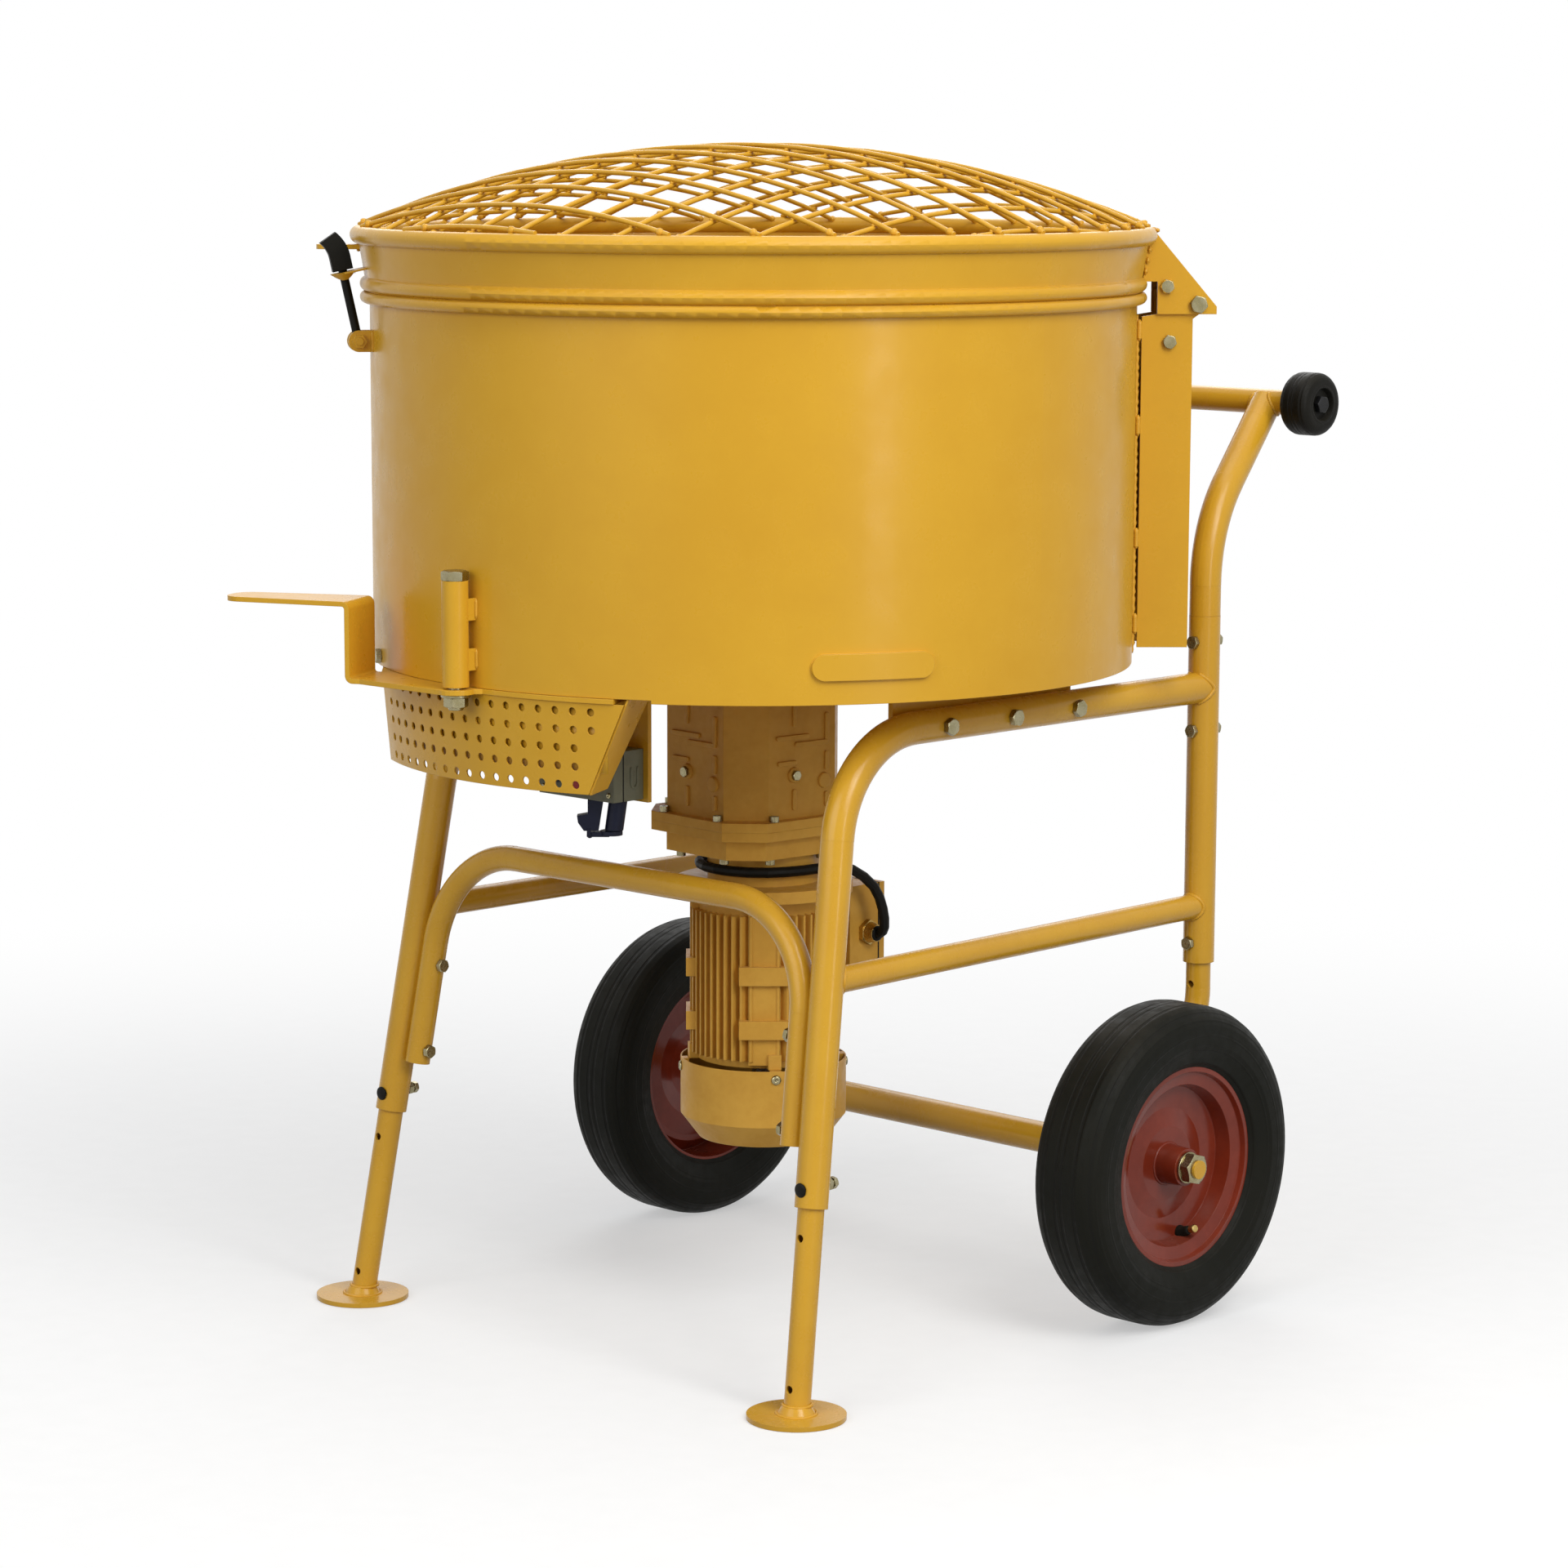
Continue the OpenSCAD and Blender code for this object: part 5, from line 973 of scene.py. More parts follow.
def saddle(origin: Vector, along: Vector, radius: float, target: Vector, target_along: Vector,
           target_radius: float, start: float = 0.0, end: float = math.tau, steps: int = 48) -> list[Vector]:
    """The line where a tube meets the outside of another tube.

    Args:
        origin: a point on the first tube's axis, outside the second tube.
        along: the first tube's direction, towards the second.
        radius: the first tube's radius.
        target: a point on the second tube's axis.
        target_along: the second tube's direction.
        target_radius: the second tube's radius.
        start: first angle about the first tube.
        end: last angle about the first tube.
        steps: points on the line.

    Returns:
        Points of the line.
    """
    u = along.normalized()
    w = target_along.normalized()
    across = u.cross(w).normalized()
    up = across.cross(u)
    points = []
    for i in range(steps):
        turn = start + (end - start) * i / (steps if end - start >= math.tau - 1e-6 else steps - 1)
        base = origin + radius * (math.cos(turn) * across + math.sin(turn) * up)
        offset = base - target
        p = offset - w * offset.dot(w)
        q = u - w * u.dot(w)
        a, b, c = q.dot(q), 2 * p.dot(q), p.dot(p) - target_radius ** 2
        root = max(0.0, b * b - 4 * a * c)
        points.append(base + u * ((-b - math.sqrt(root)) / (2 * a)))
    return points


# ---------------------------------------------------------------- assemblies


class Assembly:
    """A group of detail pieces that share the layout and the materials."""

    def __init__(self, layout: Layout, materials: MaterialLibrary) -> None:
        """Keeps what every assembly needs.

        Args:
            layout: where the frame's parts are.
            materials: the material library.
        """
        self.layout, self.materials = layout, materials

    def ride(self, obj: bpy.types.Object, body: str, slot: Slot) -> bpy.types.Object:
        """Hangs a piece on its CAD body.

        Args:
            obj: the piece.
            body: the body it moves with.
            slot: the record's material slot; not used.

        Returns:
            The piece.
        """
        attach(obj, body)
        return obj

    def build(self) -> None:
        """Makes the pieces."""
        raise NotImplementedError


@dataclass(frozen=True)
class TubeSizes:
    """The frame's tubes, in millimetres about the drum's axis.

    Args:
        wide: radius of the outer tubes.
        thin: radius of the inner tubes.
        upright: (x, y) of the rear sleeve.
        foot: (x, y) of the foot's middle.
        top_z: height of the top bar.
        low_z: height of the lower bar.
        corner_y: where the leg's line meets the top bar.
        clamp_z: height of the leg's clamp screw.
        axle: (y, z) of the axle.
    """

    wide: float = 16.85
    thin: float = 13.45
    upright: tuple[float, float] = (288.0, 402.0)
    foot: tuple[float, float] = (328.5, -272.5)
    top_z: float = 666.2
    low_z: float = 427.0
    corner_y: float = -164.7
    clamp_z: float = 226.0
    axle: tuple[float, float] = (267.2, 173.0)

    def leg(self, z: float) -> tuple[float, float, float]:
        """A point on the right leg's line.

        Args:
            z: its height.

        Returns:
            The point.
        """
        share = z / self.top_z
        return (self.foot[0] + (self.upright[0] - self.foot[0]) * share,
                self.foot[1] + (self.corner_y - self.foot[1]) * share, z)


TUBES = TubeSizes()


def hex_template(across: float, height: float, chamfer: float = 0.16) -> MeshKit:
    """A hexagonal head or nut with turned corners, drawn upwards from its seat.

    Args:
        across: width across flats, in millimetres.
        height: its height, in millimetres.
        chamfer: share of the half width that the turned corners take.

    Returns:
        The shape.
    """
    kit = MeshKit()
    flat, count = across / 2 * MM, 48
    face = flat * (1 - chamfer * 0.35)

    def ring(level: Callable[[float], float], radius: Callable[[float], float]) -> list[int]:
        """One ring of points, whose level and radius follow the hexagon's radius there."""
        start = len(kit.vertices)
        for k in range(count):
            turn = math.tau * k / count
            hexed = flat / math.cos((turn + math.pi / 6) % (math.pi / 3) - math.pi / 6)
            r = radius(hexed)
            kit.vertices.append(Vector((r * math.cos(turn), r * math.sin(turn), level(hexed))))
        return list(range(start, start + count))

    high = height * MM
    rings = [
        ring(lambda r: 0.0, lambda r: min(r, flat * 1.0)),
        ring(lambda r: (r - flat) * 0.45, lambda r: r),
        ring(lambda r: high - (r - face) * 0.55, lambda r: r),
        ring(lambda r: high, lambda r: face),
        ring(lambda r: high, lambda r: face * 0.5),
    ]
    for low, top in zip(rings, rings[1:]):
        for k in range(count):
            n = (k + 1) % count
            kit.faces.append((low[k], low[n], top[n], top[k]))
    kit.faces.append(tuple(reversed(rings[0])))
    kit.faces.append(tuple(rings[-1]))
    return kit


def thread_template(radius: float, length: float, pitch: float) -> MeshKit:
    """A threaded end with a turned point, drawn upwards.

    Args:
        radius: outer radius, in millimetres.
        length: its length, in millimetres.
        pitch: distance between two turns, in millimetres.

    Returns:
        The shape.
    """
    kit = MeshKit()
    depth = pitch * 0.45
    turns = max(2, int(length / pitch))
    profile = [(0.0, 0.0)]
    for i in range(turns):
        profile += [((radius - depth) * MM, i * pitch * MM), (radius * MM, (i + 0.5) * pitch * MM)]
    profile += [((radius - depth) * MM, turns * pitch * MM), ((radius - depth * 1.4) * MM, length * MM),
                (0.0, length * MM)]
    kit.lathe(profile, Matrix.Identity(4), 24)
    return kit


def pan_template(radius: float, height: float) -> MeshKit:
    """A pan head with a cross-shaped dip, drawn upwards.

    Args:
        radius: the head's radius, in millimetres.
        height: its height, in millimetres.

    Returns:
        The shape.
    """
    kit = MeshKit()
    r, h = radius * MM, height * MM
    kit.lathe([(0.0, 0.0), (r, 0.0), (r, h * 0.45), (r * 0.88, h * 0.8), (r * 0.6, h), (r * 0.34, h),
               (r * 0.26, h * 0.55), (0.0, h * 0.35)], Matrix.Identity(4), 28)
    return kit


@dataclass(frozen=True)
class LinerSizes:
    """The curved sheet behind the guard, in millimetres and degrees.

    Args:
        low: height of its lower edge.
        high: height of its upper edge.
        seat: height at which its outer radius is measured.
        radius: outer radius at the seat.
        slope: how far it leans inwards for each millimetre down.
        gauge: its thickness.
        angles: compass angles of its two ends.
        steps: how many flats its curve has.
    """

    low: float = 636.0
    high: float = 704.8
    seat: float = 706.4
    radius: float = 395.9
    slope: float = 8.0 / 92.0
    gauge: float = 1.2
    angles: tuple[float, float] = (-117.5, -67.0)
    steps: int = 48


class DrumDetail(Assembly):
    """Weld beads of the drum, its column, lug, tube, guard and brackets, and the guard's liner."""

    def build(self) -> None:
        """Makes one piece of weld beads for the drum."""
        kit = MeshKit()
        lay = self.layout
        self._column(kit)
        self._small_plates(kit)
        self._floor(kit)
        for side in (-1, 1):
            edge = lay.at(0, 0, 0) + radial(45) * 399.6 * MM + radial(135) * side * 27.2 * MM
            kit.bead([edge + Vector((0, 0, z * MM)) for z in (716, 1070)], 2.3 * MM,
                     ripple=0.35, pitch=9 * MM)
        seam = [lay.polar(135, 400.1, z) for z in (716, 1084)]
        kit.bead(seam, 1.1 * MM, ripple=0.2, pitch=3.2 * MM)
        self.ride(kit.build("drum_welds", self.materials.get("weld")), "machine", Slot.PAINT)
        self._liner()

    def _liner(self) -> None:
        """The curved sheet behind the guard's upper rows of holes."""
        kit, t = MeshKit(), LinerSizes()
        top, bottom = (t.radius - (t.seat - z) * t.slope for z in (t.high, t.low))
        profile = [(top - t.gauge, t.high), (top, t.high), (bottom, t.low), (bottom - t.gauge, t.low)]
        kit.sector([(r * MM, z * MM) for r, z in profile], self.layout.at(0, 0, 0), t.angles, t.steps)
        self.ride(kit.build("guard_liner", self.materials.get("sheet")), "machine", Slot.PAINT)

    def _column(self, kit: MeshKit) -> None:
        """Stitches between the wall and the column's two side plates."""
        out, across = radial(45), radial(135)
        for side in (-1, 1):
            for z in (747.4, 837.4, 955.4, 1054.4):
                base = self.layout.at(0, 0, z) + out * 401.6 * MM + across * side * 29.3 * MM
                kit.bead([base - Vector((0, 0, 11 * MM)), base + Vector((0, 0, 11 * MM))], 2.9 * MM)

    def _small_plates(self, kit: MeshKit) -> None:
        """Fillets of the latch ears, the hatch tube's tabs and the control box bracket."""
        lay = self.layout
        lug_out, lug_across = radial(-125), radial(-35)
        for side in (-1, 1):
            base = lay.at(0, 0, 1044.4) + lug_out * 400.4 * MM + lug_across * side * 10.0 * MM
            kit.bead([base - Vector((0, 0, 11 * MM)), base + Vector((0, 0, 11 * MM))], 1.9 * MM)
        tab_out, tab_across = radial(-90.6), radial(-0.6)
        for side in (-1, 1):
            for z in (741, 791):
                base = lay.at(0, 0, z) + tab_out * 400.4 * MM + tab_across * side * 11.4 * MM
                kit.bead([base - Vector((0, 0, 10 * MM)), base + Vector((0, 0, 10 * MM))], 1.8 * MM)
        for y in (-220.0, -213.2):
            for x in (-46, -6, 36):
                kit.bead([lay.at(x, y, 710.9), lay.at(x + 22, y, 710.9)], 1.8 * MM)

    def _floor(self, kit: MeshKit) -> None:
        """Stitches under the floor: along the wall, the guard's flange and the two brackets."""
        lay = self.layout
        for k in range(24):
            middle = 180 + 15 * k
            local = (middle + 180) % 360 - 180
            if -141 < local < -56:
                continue
            kit.bead([lay.polar(middle + a, 395.8, 710.9) for a in (-3, -1.5, 0, 1.5, 3)], 1.9 * MM)
        out, across = radial(-64), radial(26)
        for offset in (1.2, 5.6):
            for r in (338, 372):
                start = lay.at(0, 0, 710.8) + out * r * MM + across * offset * MM
                kit.bead([start, start + out * 18 * MM], 1.7 * MM)
        for side in (-1, 1):
            for y in (-60, 0, 60, 120, 172):
                kit.bead([lay.at(side * 204.4, y, 711), lay.at(side * 204.4, y + 26, 711)], 1.9 * MM)


@dataclass(frozen=True)
class GridSizes:
    """The safety grid's dome, in millimetres.

    Args:
        radius: radius of the outer rods' sphere.
        step: distance between two rods.
        rod: rod diameter.
        span: radius at which the rods enter the bead.
        apex: the dome's top.
        shift: how far the pattern stands off the axis, along X and Y.
    """

    radius: float = 1060.0
    step: float = 55.0
    rod: float = 5.0
    span: float = 410.8
    apex: float = 1247.0
    shift: tuple[float, float] = (7.5, -14.5)

    def lines(self, family: int) -> list[float]:
        """Where the rods of one family stand.

        Args:
            family: 0 for the upper rods, which run along X, and 1 for the lower ones along Y.

        Returns:
            Each rod's distance from the axis.
        """
        shift = self.shift[1 - family]
        count = int(self.span // self.step) + 1
        places = [shift + k * self.step for k in range(-count, count + 1)]
        return [p for p in places if abs(p) < self.span - self.rod]


class LidDetail(Assembly):
    """Spot welds of the safety grid and weld beads of its collar, gusset and tongue."""

    def __init__(self, layout: Layout, materials: MaterialLibrary, sizes: GridSizes = GridSizes()) -> None:
        """Keeps the grid's sizes.

        Args:
            layout: where the frame's parts are.
            materials: the material library.
            sizes: the dome's sizes.
        """
        super().__init__(layout, materials)
        self.sizes = sizes

    def build(self) -> None:
        """Makes the spot welds and the beads."""
        self._spots()
        self._beads()

    def _spots(self) -> None:
        """A small blob at each crossing of two rods, and a larger one at each rod's end."""
        s = self.sizes
        centre = self.layout.at(0, 0, s.apex - s.rod / 2 - s.radius)
        between = (s.radius - s.rod / 2 - 0.05) * MM
        frames, sizes = [], []
        for i, across in enumerate(s.lines(1)):
            for j, along in enumerate(s.lines(0)):
                x, y = across * MM, along * MM
                if math.hypot(x, y) > (s.span - 9) * MM:
                    continue
                out = Vector((x, y, math.sqrt(between ** 2 - x * x - y * y)))
                frames.append(facing(out.normalized(), centre + out, 0.7 * i + 1.3 * j))
                sizes.append(1.0 + 0.12 * math.sin(3.1 * i + 5.7 * j))
        kit = MeshKit()
        kit.lathe([(0.0, -1.6 * MM), (1.9 * MM, -1.3 * MM), (3.0 * MM, -0.4 * MM), (3.0 * MM, 0.4 * MM),
                   (1.9 * MM, 1.3 * MM), (0.0, 1.6 * MM)], Matrix.Identity(4), 12)
        spots = Scatter("grid_spot_welds", kit, self.materials.get("weld")).on(frames, sizes)
        self.ride(spots, "lid", Slot.PAINT)
        ends = []
        for family, radius in ((0, s.radius), (1, s.radius - s.rod - 0.1)):
            for off in s.lines(family):
                reach = math.sqrt((s.span - 6.4) ** 2 - off * off) if abs(off) < s.span - 7 else 0.0
                for side in (-1, 1) if reach else ():
                    x, y = (side * reach, off) if family == 0 else (off, side * reach)
                    z = math.sqrt(radius ** 2 - x * x - y * y)
                    out = Vector((x, y, z)) * MM
                    ends.append(facing(Vector((x, y, 0)).normalized(), centre + out, 0.01 * off))
        blob = MeshKit()
        blob.lathe([(0.0, -3.6 * MM), (2.6 * MM, -3.0 * MM), (3.5 * MM, -1.0 * MM), (3.9 * MM, 2.4 * MM),
                    (2.6 * MM, 4.6 * MM), (0.0, 4.8 * MM)], Matrix.Identity(4), 14)
        self.ride(Scatter("grid_end_welds", blob, self.materials.get("weld")).on(ends), "lid", Slot.PAINT)

    def _beads(self) -> None:
        """Stitches of the gusset's plates and spine, the tongue and the collar's own seam."""
        kit, lay = MeshKit(), self.layout
        out, across = radial(45), radial(135)

        def place(r: float, side: float, z: float) -> Vector:
            """A point at a radius, a sideways offset and a height, in millimetres."""
            return lay.at(0, 0, z) + out * r * MM + across * side * MM

        for side in (-35.0, 35.0):
            for low, high in ((1112, 1119), (1123, 1130), (1134, 1141)):
                kit.bead([place(404.6 + (low - 1102.2) / 50 * 8.3, side, low),
                          place(404.6 + (high - 1102.2) / 50 * 8.3, side, high)], 2.3 * MM)
        for start in (-26, -6, 14):
            kit.bead([place(419.6, start, 1157.2), place(419.6, start + 13, 1157.2)], 2.2 * MM)
        tongue_out, tongue_across = radial(225), radial(315)
        for z in (1142.0, 1135.5):
            base = lay.at(0, 0, z) + tongue_out * 411.6 * MM
            kit.bead([base - tongue_across * 12 * MM, base + tongue_across * 12 * MM], 1.8 * MM)
        kit.bead([lay.polar(200, 404.4 + 0.166 * (z - 1102.2), z) for z in (1110, 1126, 1144)], 1.0 * MM,
                 ripple=0.2, pitch=3.2 * MM)
        self.ride(kit.build("lid_welds", self.materials.get("weld")), "lid", Slot.PAINT)


class FrameDetail(Assembly):
    """Weld beads where the frame's tubes meet, on the machine, the axle and the feet."""

    def build(self) -> None:
        """Makes the beads of every body that has welded tubes."""
        frame, axle = MeshKit(), MeshKit()
        for name, side in SIDES.items():
            self._side(frame, side)
            self._handle(frame, side)
            self._axle(axle, side)
            foot = MeshKit()
            x, y, z = TUBES.leg(13.2)
            ring = [self.layout.at(side * (x + 14.4 * math.cos(a)), y + 14.4 * math.sin(a), z)
                    for a in (math.tau * k / 36 for k in range(36))]
            foot.bead(ring, 1.7 * MM, closed=True)
            low = [self.layout.at(side * (TUBES.foot[0] + 20.2 * math.cos(a)),
                                  TUBES.foot[1] + 20.2 * math.sin(a), 5.2)
                   for a in (math.tau * k / 40 for k in range(40))]
            foot.bead(low, 1.5 * MM, closed=True)
            piece = foot.build(f"foot_weld_{name}", self.materials.get("weld"))
            self.ride(piece, f"front_leg_{name}", Slot.PAINT)
        self._plugs()
        self.ride(frame.build("frame_welds", self.materials.get("weld")), "machine", Slot.PAINT)
        self.ride(axle.build("axle_welds", self.materials.get("weld")), "axle", Slot.PAINT)

    def _plugs(self) -> None:
        """Rubber plugs in the front holes of the outer leg tubes."""
        kit, front = MeshKit(), Vector((0.0, -1.0, 0.0))
        for side in SIDES.values():
            x, y, z = TUBES.leg(TUBES.clamp_z)
            seat = self.layout.at(side * x, y - TUBES.wide, z)
            kit.lathe([(0.0, -3.4 * MM), (5.6 * MM, -3.4 * MM), (5.6 * MM, 0.5 * MM), (7.4 * MM, 0.7 * MM),
                       (7.2 * MM, 1.6 * MM), (5.0 * MM, 2.6 * MM), (0.0, 2.9 * MM)], facing(front, seat), 32)
        self.ride(kit.build("leg_plugs", self.materials.get("rubber")), "machine", Slot.RUBBER)

    def _side(self, kit: MeshKit, side: int) -> None:
        """Both ends of the lower bar and the rear end of the top bar."""
        lay, t = self.layout, TUBES
        leg0, leg1 = lay.at(*t.leg(t.low_z)), lay.at(*t.leg(t.low_z + 100))
        leg0.x, leg1.x = side * leg0.x, side * leg1.x
        post = lay.at(side * t.upright[0], t.upright[1], t.low_z)
        middle = (leg0 + post) / 2
        up = Vector((0.0, 0.0, 1.0))
        kit.bead(saddle(middle, leg0 - middle, t.thin * MM, leg0, leg1 - leg0, t.wide * MM), 2.3 * MM,
                 closed=True)
        kit.bead(saddle(middle, post - middle, t.thin * MM, post, up, (t.wide + 0.15) * MM), 2.3 * MM,
                 closed=True)
        top = lay.at(side * t.upright[0], t.upright[1], t.top_z)
        back = Vector((0.0, 1.0, 0.0))
        for start in (-math.pi * 0.42, math.pi * 0.58):
            points = saddle(top - back * 0.1, back, (t.wide - 0.15) * MM, top, up, (t.wide + 0.15) * MM,
                            start, start + math.pi * 0.84, 28)
            kit.bead(points, 2.3 * MM)

    def _handle(self, kit: MeshKit, side: int) -> None:
        """The crossbar's joint with the handle tube."""
        lay, t = self.layout, TUBES
        joint = lay.at(side * 267.0, 529.5, 967.0)
        start = lay.at(side * 288.0, 402.0, 839.5)
        along = (start - joint).normalized()
        for towards in (1, -1):
            bar = Vector((float(towards), 0.0, 0.0))
            origin = joint - bar * 0.1
            points = saddle(origin, bar, t.thin * MM, joint, along, t.wide * MM, 0.0, math.tau, 48)
            half = [p for p in points if (p - joint).dot(along) > -1.5 * MM]
            half.sort(key=lambda p: math.atan2((p - joint).dot(along.cross(bar)), (p - joint).dot(along)))
            kit.bead(half, 2.2 * MM)

    def _axle(self, kit: MeshKit, side: int) -> None:
        """The carrier tube's joint with the axle."""
        lay, t = self.layout, TUBES
        target = lay.at(side * t.upright[0], *t.axle)
        origin = lay.at(side * t.upright[0], t.upright[1], t.axle[1] + 128)
        points = saddle(origin, target - origin, t.thin * MM, target, Vector((1.0, 0.0, 0.0)), t.wide * MM)
        kit.bead(points, 2.3 * MM, closed=True)


class BoltDetail(Assembly):
    """Bolts, nuts and threads: turned corners and threads instead of plain prisms."""

    def build(self) -> None:
        """Makes the hardware that replaces the CAD's plain bolts."""
        self._frame_bolts()
        self._hinge_bolts()
        self._hatch_bolts()
        self._axle_nuts()
        self._roller_bolts()

    def _set(self, name: str, body: str, node: str, heads: dict[tuple[float, float], list[Matrix]],
             shanks: list[tuple[Vector, Vector, float]], threads: list[tuple[Matrix, float, float]],
             finish: str, slot: Slot, extra: Callable[[MeshKit], None] | None = None) -> None:
        """Joins heads, shanks and threads into one piece that stands for a CAD node.

        Args:
            name: the piece's name.
            body: the body it rides on.
            node: the CAD node that it replaces, or nothing.
            heads: (width across flats, height) and the frames of those heads.
            shanks: both ends and the radius of each shank, in metres.
            threads: frame, radius and length in millimetres of each threaded end.
            finish: key in FINISHES.
            slot: material slot of the record.
            extra: adds washers and collars to the shanks' mesh.
        """
        material = self.materials.get(finish)
        made = []
        for (across, height), frames in heads.items():
            scatter = Scatter(f"{name}_{across:g}", hex_template(across, height), material)
            made.append(scatter.on(frames, smooth=False))
        kit = MeshKit()
        for a, b, radius in shanks:
            kit.lathe([(0.0, 0.0), (radius, 0.0), (radius, (b - a).length), (0.0, (b - a).length)],
                      facing((b - a).normalized(), a), 24)
        if extra:
            extra(kit)
        made.append(kit.build(name + "_shanks", material, smooth=False))
        for i, (frame, radius, length) in enumerate(threads):
            made.append(Scatter(f"{name}_t{i}", thread_template(radius, length, 1.25), material).on([frame]))
        piece = join(name, made)
        self.ride(piece, body, slot)
        if node:
            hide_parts(node)

    def _frame_bolts(self) -> None:
        """Bolts of the brackets, uprights and hoop, and the clamp screws."""
        lay, t = self.layout, TUBES
        heads: dict[tuple[float, float], list[Matrix]] = {(16, 6.5): [], (16, 8): [], (13, 5.5): [],
                                                          (13, 6.5): [],
                                                          (13, 6): [], (11, 5): []}
        shanks, threads = [], []
        for s in SIDES.values():
            out = Vector((float(s), 0.0, 0.0))
            for i, y in enumerate((-28, 72, 172)):
                seat = lay.at(s * (t.upright[0] + t.wide + 0.2), y, t.top_z)
                heads[(16, 6.5)].append(facing(out, seat, 0.4 * i))
                inner = seat - out * (2 * t.wide + 6 + 0.6) * MM
                heads[(16, 8)].append(facing(-out, inner, 0.9 * i))
                shanks.append((seat + out * 3 * MM, seat - out * (2 * t.wide + 14.5) * MM, 4.9 * MM))
                threads.append((facing(-out, inner - out * 7.6 * MM), 5.0, 5.7))
            front, back = Vector((0.0, -1.0, 0.0)), Vector((0.0, 1.0, 0.0))
            for i, z in enumerate((620, 716)):
                seat = lay.at(s * t.upright[0], t.upright[1] - t.wide - 0.2, z)
                heads[(13, 5.5)].append(facing(front, seat, 0.5 + i))
                inner = seat + back * (2 * t.wide + 0.6) * MM
                heads[(13, 6.5)].append(facing(back, inner, 0.2 + i))
                shanks.append((seat, inner + back * 6 * MM, 3.9 * MM))
                threads.append((facing(back, inner + back * 6.2 * MM), 4.0, 3.1))
            seat = lay.at(s * t.upright[0], t.upright[1] - t.wide - 0.2, 387.0)
            heads[(13, 5.5)].append(facing(front, seat, 0.1))
            shanks.append((seat, seat + back * 3.1 * MM, 3.9 * MM))
            for i, z in enumerate((276, 369)):
                x, y, _ = t.leg(z)
                seat = lay.at(s * (x - t.wide - 2 * t.thin - 0.4), y, z)
                heads[(13, 5.5)].append(facing(-out, seat, 0.3 * i))
                shanks.append((seat, seat + out * (2 * t.thin + 3) * MM, 3.9 * MM))
            x, y, z = t.leg(t.clamp_z)
            middle = lay.at(s * x, y, z)
            shanks.append((middle + back * (t.thin + 0.4) * MM, middle + back * (t.wide + 11) * MM, 3.6 * MM))
            heads[(13, 6)].append(facing(back, middle + back * (t.wide + 0.9) * MM, 0.2))
            heads[(11, 5)].append(facing(back, middle + back * (t.wide + 10) * MM, 0.7))
            threads.append((facing(back, middle + back * (t.wide + 6.6) * MM), 4.0, 3.6))
        self._set("frame_hardware", "machine", "frame_bolts", heads, shanks, threads, "zinc", Slot.ZINC)

    def _cross(self, middle: Vector, across: Vector, radius: float, grip: float,
               heads: dict, shanks: list, threads: list) -> None:
        """A bolt through a grip, with its head at one end and its nut at the other.

        Args:
            middle: the middle of the grip.
            across: the direction towards the head.
            radius: the bolt's radius, in millimetres.
            grip: the grip's length, in millimetres.
            heads: heads by size, to add to.
            shanks: shanks, to add to.
            threads: threads, to add to.
        """
        head, nut = middle + across * grip / 2 * MM, middle - across * grip / 2 * MM
        heads.setdefault((3.3 * radius, 1.2 * radius), []).append(facing(across, head, 0.3))
        heads.setdefault((3.3 * radius, 1.501 * radius), []).append(facing(-across, nut, 0.1))
        shanks.append((head, nut, (radius - 0.1) * MM))
        threads.append((facing(-across, nut - across * (1.5 * radius - 0.4) * MM), radius,
                        0.5 * radius + 0.4))

    def _hinge_bolts(self) -> None:
        """The hinge's bolt and the bolt through the column."""
        heads, shanks, threads = {}, [], []
        out, across = radial(45), radial(-45)
        self._cross(self.layout.at(0, 0, 1081.4) + out * 462.4 * MM, across, 5, 69.2, heads, shanks, threads)
        self._cross(self.layout.at(0, 0, 1042.4) + out * 433 * MM, across, 4, 60.6, heads, shanks, threads)
        self._set("hinge_hardware", "machine", "hinge_bolts", heads, shanks, threads, "zinc", Slot.ZINC)
        heads, shanks, threads = {}, [], []
        self._cross(self.layout.at(0, 0, 1099.9) + out * 429.5 * MM, across, 4, 69.0, heads, shanks, threads)
        self._set("gusset_hardware", "lid", "", heads, shanks, threads, "zinc", Slot.ZINC)

    def _hatch_bolts(self) -> None:
        """The hatch's pivot bolt with its washer and nut, and the stop bolt."""
        lay = self.layout
        up = Vector((0.0, 0.0, 1.0))
        pivot = lay.polar(-90.6, 418, 0)
        top, seat = 819.7 * MM, 706.4 * MM
        heads = {(24, 10): [facing(up, pivot + up * top, 0.35)],
                 (22, 10): [facing(-up, pivot + up * (seat - 3 * MM), 0.5)],
                 (13, 6): [facing(radial(-120), lay.polar(-120, 400.1, 722.0), 0.2)]}
        shanks = [(pivot + up * (seat - 13 * MM), pivot + up * (top + 1 * MM), 7.9 * MM)]
        threads = [(facing(-up, pivot + up * (seat - 12.6 * MM)), 8.0, 3.3)]

        def washer(kit: MeshKit) -> None:
            """Adds the washer under the tube."""
            kit.lathe([(8.1 * MM, 0.0), (14.4 * MM, 0.0), (15 * MM, 0.5 * MM), (15 * MM, 2.6 * MM),
                       (14.4 * MM, 3 * MM), (8.1 * MM, 3 * MM)],
                      Matrix.Translation(pivot + up * (seat - 3 * MM)), 40)

        self._set("hatch_hardware_detail", "machine", "hatch_hardware", heads, shanks, threads,
                  "zinc", Slot.ZINC, washer)

